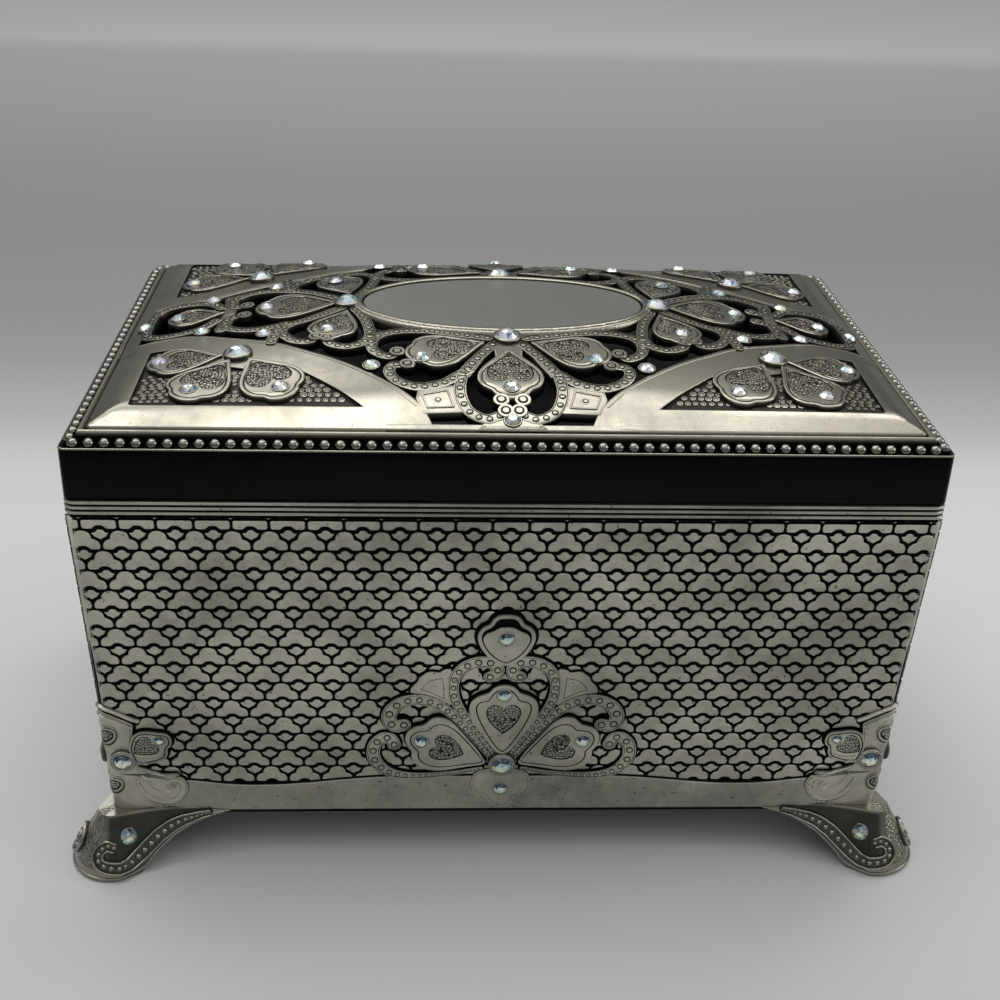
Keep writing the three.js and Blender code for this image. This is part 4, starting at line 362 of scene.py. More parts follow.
def sheet_quads(index: Array) -> Array:
    """Quads between rows of point numbers, each row open."""
    return np.stack([index[:-1, :-1], index[:-1, 1:], index[1:, 1:], index[1:, :-1]], axis=-1).reshape(-1, 4)


def fan(ring: Array, tip: int) -> Array:
    """Triangles from a closed ring of point numbers to one more."""
    return np.stack([ring, np.roll(ring, -1), np.full(len(ring), tip)], axis=1)


def spline(points: Sequence[Sequence[float]], samples: int = 8) -> Array:
    """Catmull-Rom curve through points: each span is a cubic in its own parameter.

    Args:
        points: Places that it passes through.
        samples: Points on each span.

    Returns:
        Points of the curve.
    """
    knots = np.asarray(points, float)
    padded = np.concatenate([2 * knots[:1] - knots[1:2], knots, 2 * knots[-1:] - knots[-2:-1]])
    t = np.linspace(0, 1, samples, endpoint=False)[None, :, None]
    a, b, c, d = (padded[i:len(padded) - 3 + i, None, :] for i in range(4))
    curve = b + t * (c - a) / 2 + t ** 2 * (a - 2.5 * b + 2 * c - d / 2) \
        + t ** 3 * (1.5 * (b - c) + (d - a) / 2)
    return np.concatenate([curve.reshape(-1, knots.shape[1]), knots[-1:]])


def both_sides(half: Sequence[Sequence[float]], samples: int = 5) -> Array:
    """Closed outline from a smooth curve and its mirror image over the first coordinate."""
    curve = spline(half, samples)
    return np.concatenate([curve, curve[-2:0:-1] * [-1, 1]])


PETAL_ALONG = (
    0, 0.12, 0.30, 0.47, 0.58, 0.66, 0.72, 0.77, 0.81, 0.84, 0.858, 0.872, 0.90, 0.935, 0.965, 0.99, 1,
)
PETAL_WIDTH = (
    0, 0.25, 0.62, 0.9, 0.99, 1, 0.97, 0.9, 0.81, 0.70, 0.62, 0.575, 0.54, 0.46, 0.34, 0.18, 0,
)
HEART_HALF = (
    (0, 0.60), (0.24, 0.84), (0.58, 0.92), (0.88, 0.74), (1.0, 0.40), (0.93, 0.0), (0.72, -0.42),
    (0.4, -0.82), (0, -1.16),
)


def petal(tip: Array, end: Array, half_width: float) -> Array:
    """Petal from its point to its round end: widths set off along the middle line.

    Args:
        tip: Place of its point.
        end: Place of its round end.
        half_width: Half of its largest width.

    Returns:
        Its outline.
    """
    along = end - tip
    side = np.array([-along[1], along[0]]) / np.hypot(*along) * half_width
    rows = spline(np.column_stack([PETAL_ALONG, PETAL_WIDTH]), 3)
    middle = tip + rows[:, :1] * along
    return np.concatenate([middle - rows[:, 1:] * side, (middle + rows[:, 1:] * side)[-2:0:-1]])


def heart(centre: Array, towards: Array, half_width: float) -> Array:
    """Heart whose lobes turn towards a direction.

    Args:
        centre: Its middle.
        towards: Direction of its lobes.
        half_width: Half of its width.

    Returns:
        Its outline.
    """
    axis = towards / np.hypot(*towards)
    side = np.array([axis[1], -axis[0]])
    local = both_sides(HEART_HALF, 4) * half_width
    return centre + local[:, :1] * side + local[:, 1:] * axis


def polar(outline: Array, centre: Array, angles: Array) -> Array:
    """Points of a star-shaped outline in given directions from a centre.

    Each ray meets each edge where both cross products agree, and the furthest meeting counts.

    Args:
        outline: Closed outline.
        centre: Place that the rays start from.
        angles: Directions of the rays.

    Returns:
        One place for each ray.
    """
    start = outline - centre
    edge = np.roll(start, -1, axis=0) - start
    ray = circle(angles)
    across = ray[:, :1] * edge[None, :, 1] - ray[:, 1:] * edge[None, :, 0]
    across = np.where(np.abs(across) < 1e-12, 1e-12, across)
    reach = (start[:, 0] * edge[:, 1] - start[:, 1] * edge[:, 0])[None] / across
    share = (start[None, :, 0] * ray[:, 1:] - start[None, :, 1] * ray[:, :1]) / across
    valid = (share > -1e-6) & (share < 1 + 1e-6) & (reach > 0)
    return centre + ray * np.where(valid, reach, 0).max(axis=1)[:, None]


Chart = Callable[[Array, Array, Array], Array]
Rows = Sequence[tuple[float, float, float, float]]


def boss(place: Chart, outline: Array, rows: Rows, cores: Sequence[tuple[Array, Rows]] = (),
         centre: Array | None = None) -> Surface:
    """Closed raised form over an outline, made of rings that step inwards.

    Args:
        place: Turns chart places and heights into points in space.
        outline: Star-shaped closed outline in the chart.
        rows: Inset from the outline, height, relief and hatch of each outer ring.
        cores: Inner outlines that the later rings move to, one after the other. Each has rows of the
            share of the way to it, past 1 towards the centre, and the same three values.
        centre: Place that every outline is seen from.

    Returns:
        The form, with a flat back at the first ring.
    """
    if centre is None:
        centre = (cores[-1][0] if cores else outline).mean(axis=0)
    angles = np.arctan2(*(outline - centre).T[::-1])
    order = np.argsort(angles)
    outline, angles = outline[order], angles[order]
    rings = [offset_outline(outline, -row[0]) for row in rows]
    table = list(rows)
    for core, steps in cores:
        last, inner = rings[-1], polar(core, centre, angles)
        for row in steps:
            share = row[0]
            rings.append(last + share * (inner - last) if share <= 1
                         else centre + (inner - centre) * (2 - share))
        table += steps
    table = np.array(table)[:, 1:]
    flat = np.stack(rings)
    points = place(flat[..., 0], flat[..., 1], np.broadcast_to(table[:, :1], flat.shape[:2]))
    ends = [place(np.array(centre[0]), np.array(centre[1]), np.array(table[k, 0])) for k in (0, -1)]
    tones = np.repeat(table[:, 1], len(outline))
    hatch = np.repeat(table[:, 2], len(outline))
    return capped(points, ends[0], ends[1], np.append(tones, (table[0, 1], table[-1, 1])),
                  np.append(hatch, (0, table[-1, 2])))


def normal_at(place: Chart, x: Array, y: Array) -> tuple[Array, Array]:
    """Point and outward direction of a chart at places, by small steps.

    Args:
        place: The chart.
        x: First coordinate of each place.
        y: Second coordinate of each place.

    Returns:
        Points in space, and directions of length one.
    """
    zero = np.zeros_like(x)
    here = place(x, y, zero)
    out = np.cross(place(x + STEP, y, zero) - here, place(x, y + STEP, zero) - here)
    return here, outward(out, place(x, y, zero + 1) - here)


END_TURNS = (18, 40, 65, 90)


def ribbon(centres: Array, ups: Array, half: float | Array, top: float, floor: float,
           plain: bool = False, shadow_border: tuple[float, float] | None = None) -> Surface:
    """Closed band along a curve in space, with a lip at each edge and round ends.

    The section is a table of rows from the left edge to the middle and back: share of the half width,
    inset from there, height and relief. Each end is its half turned about the end of the middle line.

    Args:
        centres: Middle line.
        ups: Outward direction along it.
        half: Half width, at each place or everywhere.
        top: Height of its lips.
        floor: Height of its back.
        plain: Whether its top is one round ridge.
        shadow_border: Width and height of a flat border at relief 0 round it, a painted shadow.

    Returns:
        The band.
    """
    ahead = unit(np.gradient(centres, axis=0))
    side = unit(np.cross(ahead, ups))
    width = np.broadcast_to(half, len(centres))
    if plain:
        left = [(1.0, 0, floor, 0.1), (1.0, 0, top * 0.35, 0.45), (0.72, 0, top * 0.85, 0.95),
                (0.3, 0, top, 1.0), (0.0, 0, top, 1.0)]
    else:
        left = [(1.0, 0, floor, 0.05), (1.0, 0, top - 0.2, 0.3), (1.0, 0.07, top - 0.04, 0.95),
                (1.0, 0.26, top, 1.0), (1.0, 0.31, top - 0.1, 0.0), (1.0, 0.4, top - 0.1, 0.0),
                (1.0, 0.47, top - 0.09, 0.9), (0.0, 0, top - 0.08, 1.0)]
    if shadow_border:
        # Painted shadow: a flat border at relief 0 round the band's foot.
        left = [(1.0, -shadow_border[0], floor, 0), (1.0, -shadow_border[0], shadow_border[1], 0), (1.0, 0, shadow_border[1], 0)] + left[1:]
    table = np.array(left + left[-2::-1])
    sign = np.where(np.arange(len(table)) < len(left), -1.0, 1.0)
    offsets = sign * np.maximum(table[None, :, 0] * width[:, None] - table[None, :, 1], 0)
    lift = table[:, 2, None]

    def end(at: int, way: float) -> Array:
        """Rings of one round end, from the body outwards."""
        turn = np.radians(END_TURNS)[:, None, None]
        reach = offsets[at][None, :, None]
        forward = way * ahead[at] * np.abs(reach) * np.sin(turn)
        return centres[at] + side[at] * reach * np.cos(turn) + forward + ups[at] * lift[None]

    body = centres[:, None] + side[:, None] * offsets[..., None] + ups[:, None] * lift[None]
    rings = np.concatenate([end(0, -1)[::-1], body, end(-1, 1)])
    tones = np.tile(table[:, 3], len(rings))
    return capped(rings, rings[0].mean(axis=0), rings[-1].mean(axis=0), np.append(tones, (0.4, 0.4)))


def chart_ribbon(place: Chart, line: Array, half: float | Array, top: float, floor: float,
                 plain: bool = False, shadow_border: tuple[float, float] | None = None) -> Surface:
    """Ribbon whose middle line is drawn in a chart."""
    centres, ups = normal_at(place, line[:, 0], line[:, 1])
    return ribbon(centres, ups, half, top, floor, plain, shadow_border)


def lathe(profile: Sequence[tuple[float, float, float]], sides: int) -> Surface:
    """Turned form, closed by a point at the last height.

    Args:
        profile: Radius, height and relief of each ring.
        sides: Points round a ring.

    Returns:
        The form, its axis upright at the origin.
    """
    around = circle(np.arange(sides) * 2 * math.pi / sides)
    rings = [at_height(radius * around, height) for radius, height, _ in profile]
    index = np.arange(len(profile) * sides).reshape(len(profile), sides)
    points = np.concatenate([*rings, [[0, 0, profile[-1][1]]]])
    tones = np.append(np.repeat([row[2] for row in profile], sides), profile[-1][2])
    return Surface(points, tube_quads(index), fan(index[-1], index.size), tones)


# Turned forms: a ringed dot, a ringed pebble, a stud, a scroll's eye, and two seats for crystals
DOT = lathe(((1.0, 0.0, 0.3), (0.96, 0.01, 0.0), (0.72, 0.01, 0.0), (0.64, 0.07, 0.9), (0.35, 0.12, 1.0)), 10)
PEBBLE = lathe(((0.84, -0.05, 0.0), (0.74, 0.0, 0.0), (0.68, 0.12, 0.95), (0.52, 0.14, 1.0),
                (0.38, 0.05, 0.0), (0.2, 0.08, 0.7)), 9)
KNOB = lathe(((1.0, -0.3, 0.0), (0.92, 0.25, 0.5), (0.66, 0.62, 1.0), (0.3, 0.8, 1.0)), 9)
SCROLL_END = lathe(((1.75, -2.2, 0.1), (1.75, -0.2, 0.4), (1.6, 0.0, 1.0), (1.2, 0.02, 0.95),
                    (0.98, -0.03, 0.0), (0.76, 0.0, 0.1), (0.62, 0.12, 1.0)), 20)
COLLET = lathe(((1.95, -0.6, 0.0), (1.95, -0.03, 0.0), (1.88, 0.06, 0.8), (1.7, 0.1, 1.0),
                (1.6, 0.03, 0.0), (1.3, -0.05, 0.0)), 24)
CUP = lathe(((3.1, -1.4, 0.1), (3.1, 0.1, 0.4), (2.98, 0.32, 0.95), (2.82, 0.36, 1.0), (2.7, 0.22, 0.1),
             (2.58, 0.36, 0.9), (2.34, 0.36, 1.0), (2.2, 0.1, 0.1), (1.8, 0.0, 0.0)), 36)


def strung(line: Array, halves: Array, ratio: float) -> tuple[Array, Array]:
    """Places along a curve whose pitch follows its width.

    Args:
        line: The curve.
        halves: Half width at each of its points.
        ratio: Pitch in half widths.

    Returns:
        The places, and the half width at each.
    """
    steps = np.linalg.norm(np.diff(line, axis=0), axis=1) * 2 / (halves[1:] + halves[:-1])
    runs = np.concatenate([[0], np.cumsum(steps)])
    at = np.linspace(0, runs[-1], max(2, int(round(runs[-1] / ratio)) + 1))
    return sampled(line, runs, at), np.interp(at, runs, halves)


def sampled(line: Array, runs: Array, at: Array) -> Array:
    """Places on a line at given runs along it."""
    return np.column_stack([np.interp(at, runs, column) for column in line.T])


def rounded(points: Sequence[Sequence[float]], step: float = 0.5) -> Array:
    """Closed smooth outline through points, counter-clockwise, at an even step.

    Args:
        points: Places that it passes through.
        step: Distance between its points.

    Returns:
        The outline.
    """
    knots = np.asarray(points, float)
    loop = spline(np.concatenate([knots[-1:], knots, knots[:2]]), 6)[6:-6]
    lengths = np.concatenate([[0], np.cumsum(np.hypot(*np.diff(loop, axis=0).T))])
    runs = np.linspace(0, lengths[-1], int(lengths[-1] / step), endpoint=False)
    even = sampled(loop, lengths, runs)
    following = np.roll(even, -1, axis=0)
    area = (even[:, 0] * following[:, 1] - even[:, 1] * following[:, 0]).sum()
    return even if area > 0 else even[::-1]


def straight(corners: Array, count: int) -> Array:
    """Line through corners, with a count of places on each side of it."""
    return np.concatenate([np.linspace(a, b, count) for a, b in zip(corners[:-1], corners[1:])])


def spaced(line: Array, pitch: float, inset: float) -> Array:
    """Places at an even pitch along a curve.

    Args:
        line: The curve.
        pitch: Wanted distance between places.
        inset: Distance of the first and last from its ends.

    Returns:
        The places.
    """
    lengths = np.concatenate([[0], np.cumsum(np.linalg.norm(np.diff(line, axis=0), axis=1))])
    count = max(2, int(round((lengths[-1] - 2 * inset) / pitch)) + 1)
    runs = np.linspace(inset, lengths[-1] - inset, count)
    return sampled(line, lengths, runs)


def on_chart(place: Chart, shape: Surface, spots: Array, height: float,
             scales: Array | float = 1.0) -> Surface:
    """Copies of a small form at places of a chart, standing at a height."""
    centres, ups = normal_at(place, spots[:, 0], spots[:, 1])
    return copies(shape, centres + ups * height, ups, scales)


def inside(spots: Array, outline: Array, margin: float) -> Array:
    """Whether places lie inside an outline by a margin, by crossings and nearest edge.

    Args:
        spots: Places.
        outline: Closed outline.
        margin: Least distance inside it, or below 0 the most outside it.

    Returns:
        A truth value for each place.
    """
    x, y = spots.T
    within = np.zeros(len(spots), bool)
    nearest = np.full(len(spots), 1e9)
    for (ax, ay), (bx, by) in zip(outline, np.roll(outline, -1, axis=0)):
        if ay != by:
            within ^= ((ay > y) != (by > y)) & (x < (bx - ax) * (y - ay) / (by - ay) + ax)
        dx, dy = bx - ax, by - ay
        t = np.clip(((x - ax) * dx + (y - ay) * dy) / max(dx * dx + dy * dy, 1e-12), 0, 1)
        nearest = np.minimum(nearest, np.hypot(x - ax - t * dx, y - ay - t * dy))
    return within & (nearest > margin) if margin >= 0 else within | (nearest < -margin)


def offset_outline(outline: Array, distance: float) -> Array:
    """Outline moved outwards along the mean of its two edge normals."""
    along = np.roll(outline, -1, axis=0) - np.roll(outline, 1, axis=0)
    return outline + distance * unit(along[:, ::-1] * [1, -1])


def foot_rows(floor: float, tone: float, shadow_border: tuple[float, float] | None) -> list[tuple[float, ...]]:
    """First rows of a boss: its back, and the border of painted shadow round it where it has one.

    Args:
        floor: Height of the back.
        tone: Relief there.
        shadow_border: Width and height of the border, a painted shadow at relief 0.

    Returns:
        The rows.
    """
    if not shadow_border:
        return [(0.0, floor, tone, 0)]
    # Painted shadow: a flat ring at relief 0 round the boss's foot.
    return [(-shadow_border[0], floor, 0.0, 0), (-shadow_border[0], shadow_border[1], 0.0, 0), (-0.02, shadow_border[1], 0.0, 0)]


def heart_petal(place: Chart, outline: Array, line: Array, core: Array, level: float, floor: float,
                shadow_border: tuple[float, float] | None = None) -> Surface:
    """Flat petal with an incised line inside its edge and a sunk stippled heart.

    Args:
        place: Chart that it stands on.
        outline: Its edge.
        line: Run of the incised line.
        core: Outline of the heart.
        level: Height of its face.
        floor: Height of its back.
        shadow_border: Width and height of a border of painted shadow round it.

    Returns:
        The petal.
    """
    rows = foot_rows(floor, 0.0, shadow_border) + [(0, level - 0.34, 0.3, 0), (0.07, level - 0.1, 0.85, 0),
                                           (0.2, level - 0.01, 1, 0), (0.4, level, 1, 0)]
    cores = (
        (offset_outline(line, 0.17), [(0.6, level - 0.01, 1, 0), (1.0, level - 0.04, 0.9, 0)]),
        (offset_outline(line, 0.08), [(1.0, level - 0.14, 0.0, 0)]),
        (offset_outline(line, -0.08), [(1.0, level - 0.14, 0.0, 0)]),
        (offset_outline(line, -0.18), [(1.0, level - 0.05, 0.9, 0)]),
        (offset_outline(core, 0.1), [(0.3, level - 0.02, 1, 0), (0.8, level - 0.02, 1, 0),
                                     (1.0, level - 0.05, 0.8, 0)]),
        (core, [(1.0, level - 0.2, 0.0, 0.3), (1.1, level - 0.24, 0.75, 1), (1.45, level - 0.2, 1.0, 1),
                (1.8, level - 0.18, 1.0, 1)]),
    )
    return boss(place, outline, rows, cores, core.mean(axis=0))


def raised_petal(place: Chart, tip: Array, end: Array, half_width: float, level: float, floor: float,
                 core_at: float = 0.45, core_size: float = 0.7) -> Surface:
    """Petal of the usual outline, its incised line a smaller petal inside it.

    Args:
        place: Chart that it stands on.
        tip: Place of its point.
        end: Place of its round end.
        half_width: Half of its largest width.
        level: Height of its face.
        floor: Height of its back.
        core_at: Share of its length at which its heart lies.
        core_size: Half width of the heart, as a share of its own.

    Returns:
        The petal.
    """
    axis = (end - tip) / np.hypot(*(end - tip))
    outline = petal(tip, end, half_width)
    line = petal(tip + 1.7 * axis, end - 0.95 * axis, half_width - 0.95)
    core = heart(tip + (end - tip) * core_at, axis, half_width * core_size)
    return heart_petal(place, *(rounded(one[::2]) for one in (outline, line, core)), level, floor)


def raised_plate(place: Chart, outline: Array, level: float, floor: float,
                 shadow_border: tuple[float, float] | None = None) -> Surface:
    """Flat plate with a rounded edge.

    Args:
        place: Chart that it stands on.
        outline: Its edge.
        level: Height of its face.
        floor: Height of its back.
        shadow_border: Width and height of a border of painted shadow round it.

    Returns:
        The plate.
    """
    rows = foot_rows(floor, 0.05, shadow_border) + [(0.0, level - 0.22, 0.4, 0), (0.08, level - 0.04, 0.9, 0),
                                            (0.25, level, 1, 0)]
    middle = outline.mean(axis=0) + (outline - outline.mean(axis=0)) * 0.02
    return boss(place, outline, rows, ((middle, [(share, level, 1, 0) for share in (0.2, 0.4, 0.6, 0.8)]),))


def capped(rings: Array, first: Array, last: Array, relief: Array | None = None,
           hatch: Array | None = None) -> Surface:
    """Tube of rings closed at both ends by fans to a point.

    Args:
        rings: Rows of points, each a closed ring.
        first: Point that closes the first ring.
        last: Point that closes the last ring.
        relief: Relief of every point, the two last.
        hatch: Hatch of every point, the two last.

    Returns:
        The form, its faces outwards.
    """
    rows, columns = rings.shape[:2]
    index = np.arange(rows * columns).reshape(rows, columns)
    tris = np.concatenate([fan(index[0], index.size)[:, [1, 0, 2]], fan(index[-1], index.size + 1)])
    points = np.concatenate([rings.reshape(-1, 3), first[None], last[None]])
    return oriented(Surface(points, tube_quads(index), tris, relief, hatch))


def oriented(surface: Surface) -> Surface:
    """Surface with its faces turned outwards, by the sign of its volume.

    Args:
        surface: A closed form.

    Returns:
        The form, turned inside out where it has to be.
    """
    tris = np.concatenate([surface.tris, surface.quads[:, [0, 1, 2]], surface.quads[:, [0, 2, 3]]])
    centred = surface.points - surface.points.mean(axis=0)
    a, b, c = (centred[tris[:, k]] for k in range(3))
    if np.einsum("ij,ij->i", a, np.cross(b, c)).sum() < 0:
        surface.quads, surface.tris = surface.quads[:, ::-1], surface.tris[:, ::-1]
    return surface


def sweep(profile: Sequence[Sequence[float]], half_x: float, half_y: float, radius: float,
          corner_steps: int = 8, side_steps: int = 2) -> Surface:
    """Closed section carried round a rounded rectangle.

    Args:
        profile: Inset, height and relief of each place round the section.
        half_x: Half length of the plan.
        half_y: Half depth of the plan.
        radius: Corner radius at no inset.
        corner_steps: Spans in each corner.
        side_steps: Spans along each side.

    Returns:
        The moulding.
    """
    rings = []
    for inset, height, _ in profile:
        plan, _ = rounded_plan(half_x - inset, half_y - inset, max(radius - inset, 0.3),
                               corner_steps, side_steps)
        rings.append(at_height(plan, height))
    return loop_surface(np.stack(rings), np.repeat([row[2] for row in profile], len(plan)))


def loop_surface(points: Array, relief: Array | None = None) -> Surface:
    """Torus of quads over an array of rings that closes both ways, faces set outwards.

    Args:
        points: Rings, one row each.
        relief: Relief of each point.

    Returns:
        The torus.
    """
    rows, columns = points.shape[:2]
    index = np.arange(rows * columns).reshape(rows, columns)
    right, below = np.roll(index, -1, axis=1), np.roll(index, -1, axis=0)
    diagonal = np.roll(right, -1, axis=0)
    quads = np.stack([index, right, diagonal, below], axis=-1).reshape(-1, 4)
    flat = points.reshape(-1, 3)
    a, b, c, d = (flat[quads[:, k]] for k in range(4))
    volume = np.einsum("ij,ij->i", a, np.cross(b, c)).sum() + np.einsum("ij,ij->i", a, np.cross(c, d)).sum()
    return Surface(flat, quads if volume > 0 else quads[:, ::-1], relief=relief)


def rounded_plan(half_x: float, half_y: float, radius: float, corner_steps: int,
                 side_steps: int) -> tuple[Array, Array]:
    """Rounded rectangle, counter-clockwise.

    Args:
        half_x: Half of its length.
        half_y: Half of its depth.
        radius: Corner radius.
        corner_steps: Spans in each corner.
        side_steps: Spans along each side.

    Returns:
        Its points, and the outward direction at each.
    """
    points, normals = [], []
    for quarter, (sx, sy) in enumerate(((1, 1), (-1, 1), (-1, -1), (1, -1))):
        angle = (quarter + np.linspace(0, 1, corner_steps + 1)) * math.pi / 2
        centre = np.array([sx * (half_x - radius), sy * (half_y - radius)])
        turn = circle(angle)
        points.append(centre + radius * turn)
        normals.append(turn)
        nx, ny = ((-1, 1), (-1, -1), (1, -1), (1, 1))[quarter]
        following = np.array([nx * (half_x - radius), ny * (half_y - radius)]) + radius * turn[-1]
        share = np.linspace(0, 1, side_steps + 1)[1:-1, None]
        points.append(points[-1][-1] + share * (following - points[-1][-1]))
        normals.append(np.repeat(turn[-1:], len(share), axis=0))
    return np.concatenate(points), np.concatenate(normals)


def repeated(shape: Surface, points: Array) -> Surface:
    """Copies of a shape whose points are given, one row of them for each copy.

    Args:
        shape: The shape.
        points: Points of every copy.

    Returns:
        The copies as one surface.
    """
    shift = (np.arange(len(points)) * points.shape[1])[:, None, None]
    relief = None if shape.relief is None else np.tile(shape.relief, len(points))
    return Surface(points.reshape(-1, 3), (shape.quads + shift).reshape(-1, 4),
                   (shape.tris + shift).reshape(-1, 3), relief)


def copies(shape: Surface, places: Array, axes: Array | None = None,
           scales: Array | float = 1.0) -> Surface:
    """Many copies of a small shape, each with its upright turned to its own axis.

    Args:
        shape: The shape, upright at the origin.
        places: Place of each copy.
        axes: Upright of each copy, or none where all stand straight.
        scales: Size of each copy, or of all.

    Returns:
        The copies as one surface.
    """
    up = unit(np.tile([0.0, 0.0, 1.0], (len(places), 1)) if axes is None else axes)
    helper = np.where(np.abs(up[:, 1:2]) < 0.8, [[0.0, 1.0, 0.0]], [[1.0, 0.0, 0.0]])
    side = unit(np.cross(helper, up))
    other = np.cross(up, side)
    local = shape.points * np.broadcast_to(scales, len(places))[:, None, None]
    return repeated(shape, places[:, None, :] + local[..., 0:1] * side[:, None]
                    + local[..., 1:2] * other[:, None] + local[..., 2:3] * up[:, None])


def quarters(places: Sequence[tuple[float, float]]) -> Array:
    """Places of the first quarter set into all four, without doubles on an axis.

    Args:
        places: Places of the first quarter.

    Returns:
        All places.
    """
    found = []
    for x, y in places:
        for sx in ((1, -1) if x else (1,)):
            for sy in ((-1, 1) if y else (1,)):
                found.append((sx * x * TOP_HALF_X, sy * y * TOP_HALF_Y))
    return np.array(found)


# ---- node groups and finishes


class Shader:
    """Node tree with short calls that add nodes and link them."""

    def __init__(self, tree: bpy.types.NodeTree) -> None:
        """Keeps the tree."""
        self.tree = tree

    def add(self, kind: str, **settings: object) -> bpy.types.Node:
        """Adds a node and sets its properties.

        Args:
            kind: Type of the node.
            settings: Values of its properties.

        Returns:
            The node.
        """
        node = self.tree.nodes.new(kind)
        for key, value in settings.items():
            setattr(node, key, value)
        return node

    def put(self, target: bpy.types.NodeSocket, value: object) -> None:
        """Links a socket, or writes a plain value.

        Args:
            target: The socket.
            value: Another socket, a number or a colour.
        """
        if isinstance(value, bpy.types.NodeSocket):
            self.tree.links.new(value, target)
        elif isinstance(value, (tuple, list)):
            target.default_value = (*value, 1.0) if len(value) == 3 and target.type == "RGBA" else value
        else:
            target.default_value = value

    def fill(self, node: bpy.types.Node, entries: dict[str, object]) -> None:
        """Links or writes inputs of a node by name."""
        for name, value in entries.items():
            self.put(node.inputs[name], value)

    def math(self, operation: str, a: object, b: object = 0.0, clamp: bool = False) -> bpy.types.NodeSocket:
        """Math node of two inputs.

        Args:
            operation: Name of the operation.
            a: First input.
            b: Second input.
            clamp: Whether it stays from 0 to 1.

        Returns:
            Socket of the result.
        """
        node = self.add("ShaderNodeMath", operation=operation, use_clamp=clamp)
        self.put(node.inputs[0], a)
        self.put(node.inputs[1], b)
        return node.outputs[0]

    def mix(self, share: object, a: object, b: object) -> bpy.types.NodeSocket:
        """Mix of two colours.

        Args:
            share: Share of the second.
            a: First colour.
            b: Second colour.

        Returns:
            Socket of the result.
        """
        node = self.add("ShaderNodeMix", data_type="RGBA")
        self.put(node.inputs[0], share)
        self.put(node.inputs[6], a)
        self.put(node.inputs[7], b)
        return node.outputs[2]

    def span(self, value: object, low: float, high: float, out_low: float = 0.0,
             out_high: float = 1.0) -> bpy.types.NodeSocket:
        """Value mapped from one span to another, clamped.

        Args:
            value: What is mapped.
            low: Where the first span starts.
            high: Where it ends.
            out_low: Where the second starts.
            out_high: Where it ends.

        Returns:
            Socket of the result.
        """
        node = self.add("ShaderNodeMapRange", clamp=True)
        for slot, entry in enumerate((value, low, high, out_low, out_high)):
            self.put(node.inputs[slot], entry)
        return node.outputs[0]

    def noise(self, scale: object, detail: float = 4.0, place: object = None,
              rough: float = 0.55) -> bpy.types.NodeSocket:
        """Noise in object coordinates.

        Args:
            scale: Waves in a unit.
            detail: Octaves.
            place: Coordinates.
            rough: Share of the finer octaves.

        Returns:
            Socket of the result.
        """
        node = self.add("ShaderNodeTexNoise")
        self.fill(node, {"Vector": self.place() if place is None else place, "Scale": scale,
                         "Detail": detail, "Roughness": rough})
        return node.outputs["Fac"]

    def bump(self, height: object, strength: float, distance: float) -> bpy.types.NodeSocket:
        """Direction of the surface, tilted by a height.

        Args:
            height: The height.
            strength: Share of the tilt.
            distance: Depth of a height of 1.

        Returns:
            Socket of the result.
        """
        node = self.add("ShaderNodeBump")
        self.fill(node, {"Height": height, "Strength": strength, "Distance": distance})
        return node.outputs[0]

    def ramp(self, value: object, stops: Sequence[tuple[float, Sequence[float]]]) -> bpy.types.NodeSocket:
        """Colour that a value takes between stops of position and colour.

        Args:
            value: What picks the colour.
            stops: The stops.

        Returns:
            Socket of the result.
        """
        node = self.add("ShaderNodeValToRGB")
        elements = node.color_ramp.elements
        while len(elements) < len(stops):
            elements.new(0.5)
        for element, (at, colour) in zip(elements, stops):
            element.position = at
            element.color = (*colour, 1.0)
        self.put(node.inputs[0], value)
        return node.outputs[0]

    def place(self) -> bpy.types.NodeSocket:
        """Object coordinates."""
        return self.add("ShaderNodeTexCoord").outputs["Object"]

    def attribute(self, name: str) -> bpy.types.NodeSocket:
        """Value of a point attribute."""
        return self.add("ShaderNodeAttribute", attribute_name=name).outputs["Fac"]


def new_group(name: str, inputs: Sequence[tuple[str, str, object]],
              outputs: Sequence[tuple[str, str]]) -> tuple[bpy.types.NodeTree, Shader, dict, dict]:
    """Empty node group with named sockets.

    Args:
        name: Name of the group.
        inputs: Name, socket type and value of each input.
        outputs: Name and socket type of each output.

    Returns:
        The group, its shader helper, its input sockets and its output sockets by name.
    """
    tree = bpy.data.node_groups.new(name, "ShaderNodeTree")
    for label, kind, value in inputs:
        socket = tree.interface.new_socket(label, in_out="INPUT", socket_type=kind)
        socket.default_value = value
    for label, kind in outputs:
        tree.interface.new_socket(label, in_out="OUTPUT", socket_type=kind)
    shader = Shader(tree)
    start, end = shader.add("NodeGroupInput"), shader.add("NodeGroupOutput")
    given = {socket.name: socket for socket in start.outputs if socket.name}
    results = {socket.name: socket for socket in end.inputs if socket.name}
    return tree, shader, given, results


